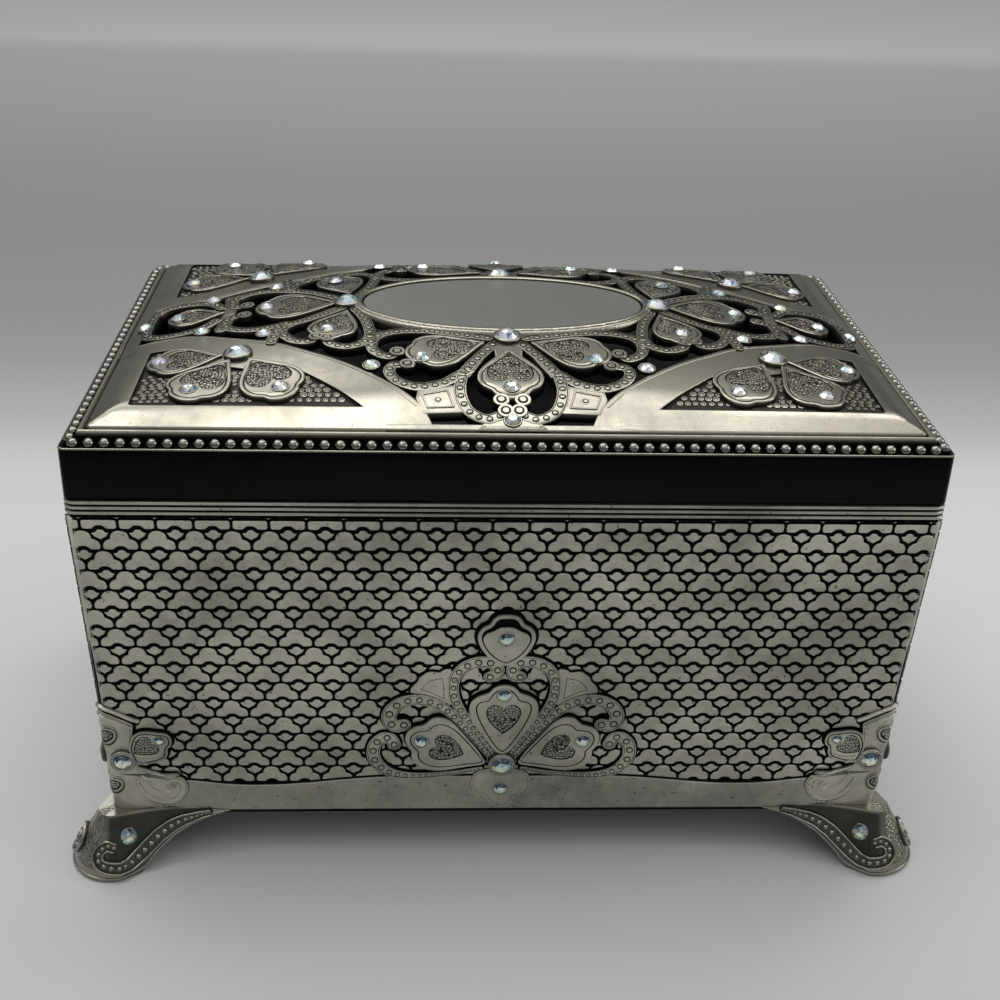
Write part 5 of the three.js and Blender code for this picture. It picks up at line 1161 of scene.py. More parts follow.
class Effects:
    """Node groups that several finishes share."""

    def __init__(self) -> None:
        """Builds each group once."""
        number = "NodeSocketFloat"
        tree, sh, start, end = new_group(
            "tarnish", (("Scale", number, 60.0), ("Amount", number, 0.5)),
            (("Mask", number), ("Speck", number)))
        cloud = sh.noise(start["Scale"], 6.0)
        fine = sh.noise(sh.math("MULTIPLY", start["Scale"], 9.0), 3.0)
        blot = sh.span(sh.math("ADD", cloud, sh.math("MULTIPLY", fine, 0.25)), 0.5, 0.78)
        sh.put(end["Mask"], sh.math("MULTIPLY", blot, start["Amount"], clamp=True))
        speck = sh.span(sh.noise(sh.math("MULTIPLY", start["Scale"], 26.0), 2.0), 0.66, 0.74)
        sh.put(end["Speck"], sh.math("MULTIPLY", speck, start["Amount"], clamp=True))
        self.tarnish = tree

        tree, sh, start, end = new_group(
            "fine_scratches", (("Scale", number, 900.0), ("Stretch", number, 12.0)),
            (("Height", number),))
        mapping = sh.add("ShaderNodeMapping")
        sh.put(mapping.inputs["Vector"], sh.place())
        parts = sh.add("ShaderNodeCombineXYZ")
        sh.put(parts.inputs[0], 1.0)
        sh.put(parts.inputs[1], start["Stretch"])
        sh.put(parts.inputs[2], start["Stretch"])
        sh.put(mapping.inputs["Scale"], parts.outputs[0])
        sh.put(end["Height"], sh.noise(start["Scale"], 3.0, mapping.outputs[0]))
        self.scratches = tree

        tree, sh, start, end = new_group(
            "stipple", (("Scale", number, 1400.0),), (("Height", number), ("Pit", number)))
        cells = sh.add("ShaderNodeTexVoronoi", feature="DISTANCE_TO_EDGE")
        sh.put(cells.inputs["Vector"], sh.place())
        sh.put(cells.inputs["Scale"], start["Scale"])
        cells.inputs["Randomness"].default_value = 0.75
        sh.put(end["Height"], sh.span(cells.outputs["Distance"], 0.0, 0.3))
        sh.put(end["Pit"], sh.span(cells.outputs["Distance"], 0.07, 0.14, 1.0, 0.0))
        self.stipple = tree

        tree, sh, start, end = new_group(
            "pile", (("Scale", number, 2600.0),), (("Height", number), ("Shade", number)))
        hair = sh.noise(start["Scale"], 3.0)
        nap = sh.noise(sh.math("MULTIPLY", start["Scale"], 0.025), 4.0)
        sh.put(end["Height"], hair)
        sh.put(end["Shade"], sh.math("ADD", sh.math("MULTIPLY", hair, 0.5), sh.math("MULTIPLY", nap, 0.6)))
        self.pile = tree


def new_material(name: str) -> tuple[bpy.types.Material, Shader, bpy.types.Node]:
    """Plain material with its shader helper and its surface node.

    Args:
        name: Name of the material.

    Returns:
        The material, its helper and its surface node.
    """
    material = bpy.data.materials.new(name)
    material.use_nodes = True
    sh = Shader(material.node_tree)
    return material, sh, sh.tree.nodes["Principled BSDF"]


def use_group(sh: Shader, tree: bpy.types.NodeTree, **values: object) -> bpy.types.Node:
    """Places a group in a material with its own values.

    Args:
        sh: Helper of the material.
        tree: The group.
        values: Values of its inputs.

    Returns:
        Node of the group.
    """
    node = sh.add("ShaderNodeGroup", node_tree=tree)
    for key, value in values.items():
        sh.put(node.inputs[key], value)
    return node


@dataclass(frozen=True)
class Metal:
    """Metal whose recesses are painted dark: patina and painted shade together.

    Args:
        name: Name of the material.
        bright: Colour of the crests.
        dark: Colour of the recesses, patina and painted shade together.
        rough: Roughness of the crests.
        tarnish: Share of cloudy tarnish.
        carved: Whether the piece carries relief and hatch values.
        brushed: Strength of fine scratches.
        cloud: Scale of the tarnish.
    """

    name: str
    bright: tuple[float, float, float]
    dark: tuple[float, float, float] = (0.012, 0.011, 0.010)
    rough: float = 0.3
    tarnish: float = 0.5
    carved: bool = True
    brushed: float = 0.05
    cloud: float = 60.0

    def build(self, effects: Effects) -> bpy.types.Material:
        """Material of the finish.

        Args:
            effects: Node groups that the finishes share.

        Returns:
            The material.
        """
        material, sh, shade = new_material(self.name)
        worn = use_group(sh, effects.tarnish, Scale=self.cloud, Amount=self.tarnish)
        dull = tuple(0.52 * c for c in self.bright)
        colour = sh.mix(worn.outputs["Mask"], self.bright, dull)
        colour = sh.mix(worn.outputs["Speck"], colour, self.dark)
        rough = sh.span(worn.outputs["Mask"], 0.0, 1.0, self.rough, min(0.75, self.rough + 0.22))
        lines = use_group(sh, effects.scratches, Scale=700.0, Stretch=10.0)
        height = sh.math("MULTIPLY", lines.outputs["Height"], self.brushed)
        if self.carved:
            relief, hatch = sh.attribute("relief"), sh.attribute("hatch")
            stipple = use_group(sh, effects.stipple, Scale=1500.0)
            # Painted shade and patina: where the relief tone is low, in grooves, gaps and dark borders, the
            # colour goes to the dark one.
            crest = sh.span(relief, 0.18, 0.72)
            colour = sh.mix(crest, self.dark, colour)
            pits = sh.math("MULTIPLY", stipple.outputs["Pit"], hatch)
            colour = sh.mix(pits, colour, self.dark)
            ground = sh.math("MULTIPLY", sh.math("SUBTRACT", 1.0, crest), 0.25)
            rough = sh.math("ADD", rough, ground, clamp=True)
            dents = sh.math("MULTIPLY", sh.math("MULTIPLY", stipple.outputs["Height"], hatch), 1.2)
            height = sh.math("ADD", height, dents)
        sh.fill(shade, {"Metallic": 1.0, "Base Color": colour, "Roughness": rough,
                        "Normal": sh.bump(height, 0.5, 0.0002)})
        return material


@dataclass(frozen=True)
class Velvet:
    """Short flock over card or foam, with a soft sheen."""

    name: str
    colour: tuple[float, float, float]
    light: tuple[float, float, float]

    def build(self, effects: Effects) -> bpy.types.Material:
        """Material of the finish.

        Args:
            effects: Node groups that the finishes share.

        Returns:
            The material.
        """
        material, sh, shade = new_material(self.name)
        pile = use_group(sh, effects.pile, Scale=2600.0)
        nap = pile.outputs["Shade"]
        sh.fill(shade, {
            "Base Color": sh.mix(sh.span(nap, 0.35, 0.75), self.colour, self.light),
            "Roughness": sh.span(nap, 0.0, 1.0, 0.85, 1.0),
            "Sheen Weight": 0.6,
            "Sheen Roughness": 0.5,
            "Sheen Tint": (0.5, 0.5, 0.55),
            "Normal": sh.bump(pile.outputs["Height"], 0.6, 0.0003),
        })
        return material


@dataclass(frozen=True)
class Crystal:
    """Foiled glass stone whose facets show painted glints in pale colours."""

    name: str

    def build(self) -> bpy.types.Material:
        """Material of the finish.

        Returns:
            The material.
        """
        material, sh, shade = new_material(self.name)
        # Painted glints: each facet's glint value picks a colour from near black through pale tints to white.
        stops = ((0.0, (0.05, 0.07, 0.10)), (0.18, (0.42, 0.62, 0.72)), (0.34, (0.92, 0.95, 0.95)),
                 (0.5, (0.95, 0.88, 0.5)), (0.62, (0.55, 0.9, 0.85)), (0.76, (1.0, 1.0, 1.0)),
                 (0.88, (0.7, 0.55, 0.85)), (1.0, (0.95, 0.97, 1.0)))
        painted_glint = sh.attribute("relief")
        wobble = sh.math("MULTIPLY", sh.math("SUBTRACT", sh.noise(1600.0, 2.0), 0.5), 0.25)
        sh.fill(shade, {
            "Base Color": sh.ramp(sh.math("ADD", painted_glint, wobble, clamp=True), stops),
            "Metallic": 0.75,
            "Coat Weight": 1.0,
            "Coat Roughness": 0.02,
            "Roughness": sh.span(painted_glint, 0.0, 1.0, 0.05, 0.16),
        })
        return material


class Finishes:
    """Every material of the box."""

    def __init__(self) -> None:
        """Builds the node groups, then the materials."""
        effects = Effects()
        # Walls, lid and feet are one antique nickel: the walls' colour is painted lighter and the lid's
        # darker, for how the light falls on each.
        self.walls = Metal("antique_nickel_walls_painted_lighter", (0.52, 0.503, 0.44), rough=0.34, tarnish=0.8,
                           cloud=45.0).build(effects)
        self.lid = Metal("antique_nickel_lid_painted_darker", (0.315, 0.296, 0.243), rough=0.24, tarnish=0.5).build(effects)
        self.feet = Metal("antique_nickel_feet", (0.36, 0.345, 0.295), rough=0.2, tarnish=0.4).build(effects)
        # Painted dark reflection: the polished skirt's colour is near black.
        self.skirt = Metal("skirt_painted_dark_reflection", (0.010, 0.010, 0.010), rough=0.07, tarnish=0.25,
                           carved=False, brushed=0.01, cloud=25.0).build(effects)
        self.beads = Metal("bright_nickel_beads", (0.26, 0.25, 0.22), rough=0.11, tarnish=0.35).build(effects)
        self.plaque = Metal("satin_plaque", (0.27, 0.27, 0.25), rough=0.42, tarnish=0.4,
                            carved=False, brushed=0.35, cloud=35.0).build(effects)
        self.steel = Metal("bright_steel", (0.52, 0.52, 0.53), rough=0.28, tarnish=0.25,
                           carved=False, brushed=0.2, cloud=90.0).build(effects)
        self.brass = Metal("machined_brass", (0.72, 0.52, 0.22), rough=0.3, tarnish=0.3,
                           carved=False, brushed=0.2, cloud=90.0).build(effects)
        self.velvet = Velvet("black_velvet", (0.012, 0.012, 0.014), (0.035, 0.034, 0.038)).build(effects)
        # Crystal with painted glints on its facets.
        self.crystal = Crystal("iridescent_crystal_painted_glints").build()


# ---- case


def lean(height: Array) -> Array:
    """How far the tapered wall stands in from the case's top size at a height."""
    return CASE_TAPER * (WALL_TOP - height) / (WALL_TOP - CASE_LOW)


TILE_HALF = (
    (0, 0.82), (0.55, 0.76), (1.0, 0.5), (1.35, 0.15), (1.65, 0.0), (2.9, 0.0), (3.3, 0.1), (3.5, 0.42),
    (3.53, 0.85), (3.4, 1.4), (3.1, 1.88), (2.65, 2.22), (2.15, 2.42), (1.94, 2.54), (1.88, 2.9), (1.75, 3.4),
    (1.42, 3.88), (0.97, 4.2), (0.5, 4.36), (0, 4.4),
)
KEY_HALF = (
    (0, 2.34), (0.4, 2.62), (0.92, 2.92), (1.22, 3.06), (1.38, 3.35), (1.68, 3.78), (1.66, 3.92),
    (1.35, 3.93), (1.0, 4.02), (0.78, 4.34), (0.5, 4.6), (0, 4.7),
)
TOP_TILE_HALF = (
    (0, 0.82), (0.55, 0.76), (1.0, 0.5), (1.35, 0.15), (1.65, 0.0), (2.9, 0.0), (3.34, 0.16), (3.5, 0.55),
    (3.5, 1.55), (3.36, 1.88), (3.0, 2.0), (0, 2.0),
)


def closed_outline(half: Sequence[tuple[float, float]]) -> Array:
    """Whole outline from its right half, counter-clockwise from the bottom.

    Args:
        half: Its right half, from the bottom up.

    Returns:
        The outline.
    """
    right = np.array(half, float)
    left = right[-2:0:-1] * [-1, 1]
    return np.concatenate([right, left])


@dataclass
class ScaleWall:
    """Pressed scale pattern of the four walls, its tiles standing on the ground, dark with patina and painted
    shade.

    Args:
        pitch: Width of a scale at the wall's top.
        row: Height of the first row.
        shrink: How much lower each row is than the one over it, times two.
        first: Depth of the first baseline under the wall's top.
        proud: Height of a scale over the ground.
        rows: Number of rows.
        margin: Plain strip next to the case's corner.
        low: Height at which the pattern ends behind the apron.
    """

    pitch: float = 7.5
    row: float = 4.83
    shrink: float = 0.0125
    first: float = 2.9
    proud: float = 0.5
    rows: int = 15
    margin: float = 1.0
    low: float = 18.6

    def baseline(self, index: Array | int) -> Array | float:
        """Depth of a row's baseline: rows grow slowly lower towards the foot."""
        return self.first + self.row * index - self.shrink * index * index

    def tiles(self, half: float, outline: Array, heart_of: tuple[float, float], only_top: bool,
              shift: float) -> Surface:
        """Copies of one outline over a wall that is half wide at its top.

        Each tile is three rings, at the ground, under its bevel and on its top, and a fan to the
        middle. Tiles past the corner are drawn in to the margin.

        Args:
            half: Half length of the wall at its top.
            outline: Outline of the tile over its baseline.
            heart_of: Middle of the tile.
            only_top: Whether it stands in the first row alone.
            shift: Share of a pitch that its rows are moved along.

        Returns:
            The tiles in the wall's chart.
        """
        reach = half - self.margin
        places = []
        for index in (range(1) if only_top else range(1 if outline[0, 1] < 1 else 0, self.rows)):
            offset = (index % 2) / 2 + shift
            count = int(reach / self.pitch + 1.5)
            for column in range(-count, count + 1):
                centre = (column + offset) * self.pitch
                if abs(centre) < reach + self.pitch * 0.42:
                    places.append((centre, self.baseline(index), 1 - 2 * self.shrink * index / self.row))
        places = np.array(places)
        # Relief 0 at the ground ring rising to 1 on the top paints shade down each tile's edge.
        rings = ((0.03, -0.12, 0.0), (0.0, self.proud - 0.14, 0.35), (-0.11, self.proud, 1.0))
        local = np.concatenate([at_height(offset_outline(outline, away), up) for away, up, _ in rings]
                               + [[[*heart_of, self.proud]]])
        index = np.arange(len(local) - 1).reshape(len(rings), -1)
        tone = np.append(np.repeat([ring[2] for ring in rings], len(outline)), 1.0)
        tile = Surface(local, tube_quads(index), fan(index[-1], index.size), tone)
        along = np.clip(places[:, :1] + local[:, 0], -reach, reach)
        depth = np.clip(places[:, 1:2] - local[:, 1] * places[:, 2:], 0.25, None)
        return repeated(tile, stacked(along, depth, local[:, 2]))

    def wall(self, half: float) -> Surface:
        """All tiles of one wall in its chart: across, depth and height over the ground.

        Args:
            half: Half length of the wall at its top.

        Returns:
            The tiles.
        """
        whole = merge([
            self.tiles(half, closed_outline(TILE_HALF), (0, 1.9), False, 0.0),
            self.tiles(half, closed_outline(KEY_HALF), (0, 3.6), False, 0.5),
            self.tiles(half, closed_outline(TOP_TILE_HALF), (0, 1.4), True, 0.0),
        ])
        height = WALL_TOP - whole.points[:, 1]
        whole.points[:, 0] *= (half - lean(height)) / half
        return whole

    def build(self, finishes: Finishes) -> None:
        """Tiles of the front, rear, left and right walls.

        Args:
            finishes: Finishes of the whole box.
        """
        for name, half, turn in (("front", CASE_HALF_X, 0), ("right", CASE_HALF_Y, 1),
                                 ("rear", CASE_HALF_X, 2), ("left", CASE_HALF_Y, 3)):
            surface = self.wall(half)
            u, depth, out = surface.points.T
            height = WALL_TOP - depth
            away = (CASE_HALF_Y if turn % 2 == 0 else CASE_HALF_X) - lean(height) + out
            cos, sin = ((1, 0), (0, 1), (-1, 0), (0, -1))[turn]
            surface.points = at_height(np.column_stack([u, -away]) @ [[cos, sin], [-sin, cos]], height)
            surface = keep_faces(surface, height > self.low)
            add_piece(f"scale_pattern_{name}", surface, Body.CASE, finishes.walls, sharp=25.0)


def keep_faces(surface: Surface, keep: Array) -> Surface:
    """Surface without the faces of which every corner is left out.

    Args:
        surface: The surface.
        keep: Whether each point is kept.

    Returns:
        What is left of it.
    """
    quads = surface.quads[keep[surface.quads].any(axis=1)]
    tris = surface.tris[keep[surface.tris].any(axis=1)]
    used = np.zeros(len(surface.points), bool)
    used[quads.ravel()] = True
    used[tris.ravel()] = True
    number = np.cumsum(used) - 1
    return Surface(surface.points[used], number[quads], number[tris], surface.relief[used])


@dataclass
class CaseShell:
    """Tapered walls with a reeded rim, and the plain apron band round their foot.

    Args:
        ridges: Ridges of the rim.
        ridge_proud: How far a ridge stands out.
        apron_proud: How far the apron stands out.
        apron_low: Height of the apron's lower edge.
    """

    ridges: int = 3
    ridge_proud: float = 0.5
    apron_proud: float = 0.62
    apron_low: float = 12.1

    def shell(self) -> Surface:
        """Walls: the rim's ridges are half rounds along the profile.

        Returns:
            The walls as one closed band.
        """
        # The walls at relief 0 are the dark ground between the scales: patina and painted shade.
        rows = [(CASE_TAPER, CASE_LOW, 0.0), (CASE_TAPER * 0.5, (CASE_LOW + WALL_TOP) / 2, 0.0),
                (0.0, WALL_TOP - 0.02, 0.0)]
        pitch = (RIM_TOP - WALL_TOP) / self.ridges
        for ridge in range(self.ridges):
            for share in np.linspace(0.0, 1.0, 12)[:-1]:
                # Relief follows each ridge: a painted highlight on its crest and painted shade in the
                # valleys.
                rise = max(math.sin(share * math.pi), 0) ** 0.7
                rows.append((0.25 - (self.ridge_proud + 0.25) * rise, WALL_TOP + (ridge + share) * pitch,
                             1.1 * rise - 0.35))
        rows += [(0.1, RIM_TOP, 0.6), (CASE_WALL - 0.3, RIM_TOP, 0.8), (CASE_WALL, RIM_TOP - 0.3, 0.7),
                 (CASE_WALL, WALL_TOP, 0.5), (CASE_TAPER + CASE_WALL, CASE_LOW, 0.4)]
        return sweep(rows, CASE_HALF_X, CASE_HALF_Y, CASE_RADIUS)

    def apron_top(self, along: Array, half: float) -> Array:
        """Height of the apron's upper edge: a shallow wave between the corners and the middle.

        Args:
            along: Places along the wall.
            half: Half length of the wall.

        Returns:
            Height at each place.
        """
        share = np.clip(np.abs(along) / half, 0, 1)
        depth = np.interp(share, (0, 0.3, 0.36, 0.42, 0.5, 0.58, 0.66, 0.72, 0.79, 0.87, 1),
                          (66.7, 66.8, 67.2, 67.7, 68.5, 69.05, 69.1, 68.7, 67.8, 67.2, 66.7))
        return WALL_TOP - depth

    def apron(self) -> Surface:
        """Band whose section is a flat strip with a rounded upper edge and a step over it at relief 0, a
        painted shadow line.

        Returns:
            The band on all four sides.
        """
        plan, normal = rounded_plan(FOOT_X, FOOT_Y, CASE_RADIUS, 8, 90)
        front = np.abs(normal[:, 1]) > np.abs(normal[:, 0])
        along = np.where(front, plan[:, 0], plan[:, 1])
        half = np.where(front, FOOT_X, FOOT_Y)
        top = self.apron_top(along, half)
        proud = self.apron_proud
        # Painted shadow: the rows of the step over the upper edge are at relief 0.
        section = ((0.0, 0, -0.4, 0.3), (0.0, 0, proud - 0.2, 0.7), (0.02, 0, proud, 0.62),
                   (0.5, 0, proud, 0.6), (1.0, -0.35, proud, 0.62), (1.0, -0.08, proud - 0.03, 0.95),
                   (1.0, 0.0, proud - 0.12, 0.1), (1.0, 0.04, proud - 0.1, 0.0),
                   (1.0, 0.62, proud - 0.1, 0.0), (1.0, 0.64, 0.3, 0.0), (1.0, 0.64, -0.4, 0.0))
        rings = []
        for share, rise, out, _ in section:
            height = self.apron_low + share * (top - self.apron_low) + rise
            rings.append(at_height(plan + normal * (CASE_TAPER - lean(height) + out)[:, None], height))
        return loop_surface(np.stack(rings), np.repeat([row[3] for row in section], len(plan)))

    def post(self) -> Surface:
        """Plain strip that closes the scale pattern over one rounded corner, notched at every row.

        Returns:
            The strip of the first quarter.
        """
        wrap = CornerLeaves()
        along, down = np.meshgrid(np.linspace(-1.15, 1.15, 22), np.linspace(0.3, WALL_TOP - 19.5, 200))
        rows = ScaleWall().baseline(np.arange(ScaleWall.rows)) + 0.2
        near = np.abs(down[..., None] - rows).min(axis=-1)
        notch = np.exp(-(near / 0.3) ** 2) * smooth(0.3, 0.8, np.abs(along))
        out = 0.45 - 0.3 * notch
        out[:, [0, -1]] = -0.2
        out[[0, -1]] = -0.2
        points = wrap.place(along, WALL_TOP - down, out)
        back = wrap.place(along, WALL_TOP - down, -0.3)
        quads = sheet_quads(np.arange(out.size).reshape(out.shape))
        # Painted shade: the tone is dark in every notch and along both edges of the strip.
        tone = np.clip(1 - 1.1 * notch, 0, 1)
        tone[:, [0, -1]] = 0
        both = np.concatenate([quads, quads[:, ::-1] + out.size])
        return oriented(Surface(np.concatenate([points.reshape(-1, 3), back.reshape(-1, 3)]), both,
                                relief=np.concatenate([tone.ravel(), np.zeros(out.size)])))

    def build(self, finishes: Finishes) -> None:
        """Shell, corner strips and apron.

        Args:
            finishes: Finishes of the whole box.
        """
        post = self.post()
        add_piece("corner_strips", merge([post.mirrored(sx, sy) for _, sx, sy in CORNERS]), Body.CASE,
                  finishes.walls)
        add_piece("case_shell", self.shell(), Body.CASE, finishes.walls, ("case_walls",))
        add_piece("apron_band", self.apron(), Body.CASE, finishes.walls)


@dataclass
class FrontPalmette:
    """Palmette on the front wall: finial, heart petals, ringed straps and pendant.

    Args:
        floor: Height of every back.
        strap_top: Height of the straps.
        petal_top: Height of the petals.
        ear_top: Height of the scalloped plates.
        shadow_border: Width and height of the border of painted shadow round each form.
        root: Place of the cup at the foot.
        ground: Height of the scales' faces.
        lift: How far a face is set up the wall for each millimetre before the scales.
    """

    floor: float = 0.05
    strap_top: float = 1.25
    petal_top: float = 1.75
    ear_top: float = 1.05
    # Painted shadow: dark border round each raised form of the palmette.
    shadow_border: tuple[float, float] = (0.42, 0.56)
    root: tuple[float, float] = (0.0, 62.6)
    ground: float = 0.6
    lift: float = 0.25

    def place(self, x: Array, depth: Array, out: Array) -> Array:
        """Chart place on the leaning front wall, raised from the ground of the scales."""
        level = WALL_TOP - depth
        return stacked(x, -(CASE_HALF_Y - lean(level)) - out, level)

    def raised(self, points: Array, top: float) -> Array:
        """Places set up the wall, by how far their face stands before the scales."""
        return np.asarray(points, float) - [0, self.lift * (top - self.ground)]

    def straps(self) -> list[Surface]:
        """Ringed straps of both sides.

        Returns:
            The parts, as surfaces of their own.
        """
        made = []
        for number, rows in enumerate(FRONT_STRAPS):
            line = spline(rows, 5)
            top = self.strap_top + 0.04 * number
            flat, halves = self.raised(line[:, :2], top), line[:, 2]
            band = chart_ribbon(self.place, flat, halves, top, self.floor, shadow_border=self.shadow_border)
            spots, sizes = strung(flat, halves, 1.78)
            dots = on_chart(self.place, DOT, spots, top - 0.03, sizes * 0.56)
            made += [band, dots, band.mirrored(-1, 1), dots.mirrored(-1, 1)]
        return made

    def ears(self) -> list[Surface]:
        """Scalloped plates beside the finial, each with an incised triangle and a sunk stud.

        Returns:
            The parts, as surfaces of their own.
        """
        outline = self.raised(rounded(FRONT_EAR), self.ear_top)
        plate = raised_plate(self.place, outline, self.ear_top, self.floor, shadow_border=self.shadow_border)
        line = straight(self.raised(FRONT_TRIANGLE, self.ear_top), 5)
        groove = chart_ribbon(self.place, line, 0.17, self.ear_top + 0.03, self.ear_top - 0.2, plain=True)
        groove.relief = np.zeros(len(groove.points))
        at = self.raised([[15.3, 41.95]], self.ear_top)
        stud = on_chart(self.place, SCROLL_END, at, self.ear_top, 0.72)
        return [part.mirrored(sign, 1) for part in (plate, groove, stud) for sign in (1, -1)]

    def finial(self) -> list[Surface]:
        """Three-lobed rim round a pointed leaf, with a dark gap between them.

        Returns:
            The parts, as surfaces of their own.
        """
        width, height = self.shadow_border
        top = 1.6
        rim, leaf = (self.raised(rounded(both_sides(half)[::3]), top) * [0.94, 1]
                     for half in (FRONT_FINIAL, FRONT_LEAF))
        middle = self.raised([0, 29.8], top)
        # Painted shadow: a wider dark border round the rim's foot.
        border = foot_rows(self.floor, 0.0, (width * 1.6, height))
        face = [(0, top - 0.4, 0.3, 0), (0.12, top - 0.06, 0.95, 0), (0.35, top, 1, 0)]
        slope = [(0.7, top - 0.02, 1, 0), (0.9, top - 0.1, 0.8, 0), (1.0, top - 0.6, 0.0, 0)]
        gap = [(share, top - 0.62, 0.0, 0) for share in (1.0, 1.3)]
        leaf_face = ((0.02, top - 0.7, 0.0, 0), (0.02, top - 0.24, 0.3, 0), (0.1, top - 0.06, 0.9, 0),
                     (0.3, top, 1, 0), (0.62, top, 1, 0))
        leaf_core = [(share, top, 1, 0) for share in (0.25, 0.5, 0.8)]
        return [
            boss(self.place, rim, border + face, ((offset_outline(rim, -0.95), slope), (leaf, gap)), middle),
            boss(self.place, leaf, leaf_face, ((middle + (leaf - middle) * 0.05, leaf_core),), middle),
        ]

    def pendant(self) -> list[Surface]:
        """Round-lobed drop under the root cup.

        Returns:
            The parts, as surfaces of their own.
        """
        outline = self.raised(rounded(both_sides(FRONT_PENDANT)[::3]), 0.85)
        middle = np.array([0, 70.6])
        rows = ((0, 0.3, 0.0, 0), (0, 0.7, 0.2, 0), (0.12, 0.86, 0.9, 0), (0.5, 0.9, 1, 0),
                (0.62, 0.84, 0.2, 0), (0.74, 0.9, 0.95, 0))
        core = (middle + (outline - middle) * 0.05, [(share, 0.92, 1, 0) for share in (0.3, 0.6)])
        return [boss(self.place, outline, rows, (core,), middle)]

    def petals(self) -> list[Surface]:
        """Middle petal and the two side petals.

        Returns:
            The parts, as surfaces of their own.
        """
        top = self.petal_top
        made = []
        upper = [both_sides(np.array(half) * [1, 0.96] + [0, 3.08])[::3]
                 for half in (FRONT_MIDDLE, FRONT_MIDDLE_LINE)]
        side = [np.array(outline) * [0.955, 1] for outline in (FRONT_SIDE, FRONT_SIDE_LINE)]
        for lines, centre, towards, size in ((upper, (0, 49.85), (0, -1.0), 3.75),
                                             (side, (12.4, 58.5), (0.928, -0.371), 3.55)):
            core = heart(np.array(centre), np.array(towards), size)[::2]
            outlines = [self.raised(rounded(one), top) for one in (*lines, core)]
            leaf = heart_petal(self.place, *outlines, top, self.floor, self.shadow_border)
            made += [leaf, leaf.mirrored(-1, 1)] if centre[0] else [leaf]
        return made

    def build(self, finishes: Finishes) -> None:
        """Palmette and its crystals.

        Args:
            finishes: Finishes of the whole box.
        """
        root = np.array([self.root])
        spots = np.array([(0, 28.75), (0, 43.45), (17.8, 56.0), (-17.8, 56.0), (0, 70.2)])
        levels = np.array([1.62, 1.77, 1.77, 1.77, 0.95])
        centres, ups = normal_at(self.place, spots[:, 0], spots[:, 1])
        seats = centres + ups * levels[:, None]
        parts = self.straps() + self.ears() + self.finial() + self.pendant() + self.petals()
        parts += [on_chart(self.place, CUP, root, 1.9), copies(COLLET, seats, ups, 0.95)]
        add_piece("front_palmette", merge(parts), Body.CASE, finishes.walls,
                  ("front_ornament",))
        add_piece("palmette_crystals", set_stones(seats, ups, 1.5, 0.62, 7), Body.CASE,
                  finishes.crystal, sharp=1.0)
        at, up = normal_at(self.place, *root.T)
        root = set_stones(at + up * 2.0, up, 2.25, 0.95, 11)
        add_piece("palmette_root_crystal", root, Body.CASE,
                  finishes.crystal, ("ornament_stone",), sharp=1.0)


def set_stones(places: Array, axes: Array, radius: float, crown: float, seed: int) -> Surface:
    """Faceted stones with a flat table, each facet with a painted glint value of its own.

    The girdle is a ring of twelve, the crown meets a half-turned ring of six and a low point. Every
    face has its own corners, so its painted glint is even over it, and facets that look down are painted
    paler.

    Args:
        places: Place of each stone.
        axes: Upright of each stone.
        radius: Radius of the girdle.
        crown: Height of the stone.
        seed: Seed of the painted glint values.

    Returns:
        The stones as one surface.
    """
    sides, upper = 12, 6
    around = circle(np.arange(sides) * 2 * math.pi / sides)
    half = circle((np.arange(upper) * 2 + 0.5) * 2 * math.pi / sides)
    ring = np.concatenate([at_height(around, -0.35), at_height(around, 0.12), at_height(0.6 * half, 0.86),
                           [[0, 0, 1.0]]])
    faces = []
    for k in range(sides):
        n = (k + 1) % sides
        faces += [(k, n, n + sides), (k, n + sides, k + sides)]
    first, peak, walls = 2 * sides, len(ring) - 1, len(faces)
    for k in range(upper):
        a, b, c = sides + 2 * k, sides + 2 * k + 1, sides + (2 * k + 2) % sides
        top, following = first + k, first + (k + 1) % upper
        faces += [(a, b, top), (b, c, following), (b, following, top), (top, following, peak)]
    local = (ring * [radius, radius, crown])[np.array(faces).ravel()]
    many = copies(Surface(local, tris=np.arange(len(local)).reshape(-1, 3)), places, axes)
    rng = np.random.default_rng(seed)
    a, b, c = (many.points[many.tris[:, k]] for k in range(3))
    facing = unit(np.cross(b - a, c - a))
    upright = np.repeat(unit(axes)[:, 2], len(faces))
    chance = rng.random(len(many.tris))
    # Painted glints: random brightness on each facet, paler on facets that look down, and the girdle painted
    # dark.
    wall = 0.3 * chance + 0.22 - 1.25 * (facing[:, 2] - upright)
    painted_glint = np.where(np.abs(upright) < 0.5, np.clip(wall, 0.02, 0.6), chance)
    painted_glint[np.arange(len(painted_glint)) % len(faces) < walls] = 0.1
    many.relief = np.repeat(painted_glint, 3)
    return many


LEAF_PLATE = (
    (0, 40.0), (1.3, 39.5), (3.2, 38.4), (5.6, 37.1), (6.2, 36.3), (5.9, 34.2), (5.5, 31.0), (5.4, 28.0),
    (5.9, 25.4), (7.7, 23.8), (11.3, 22.1), (12.4, 22.3), (14.0, 22.5), (15.3, 21.7), (16.3, 19.6),
    (15.8, 17.2), (14.1, 14.9), (11.8, 13.7), (8.0, 12.8), (4.0, 12.3), (0, 12.2),
)
LEAF_BAND = (
    (5.2, 20.8, 0.5), (6.3, 17.6, 0.8), (8.6, 15.4, 0.95), (11.7, 14.95, 1.0), (14.0, 16.1, 1.0),
    (15.1, 18.3, 0.95), (14.9, 20.2, 0.9), (13.6, 21.2, 0.85), (12.3, 20.8, 0.8), (12.0, 19.7, 0.75),
    (12.9, 19.2, 0.7),
)
LEAF_INNER = ((6.4, 22.4, 0.35), (8.3, 19.9, 0.6), (10.3, 18.1, 0.6), (12.0, 17.9, 0.35))
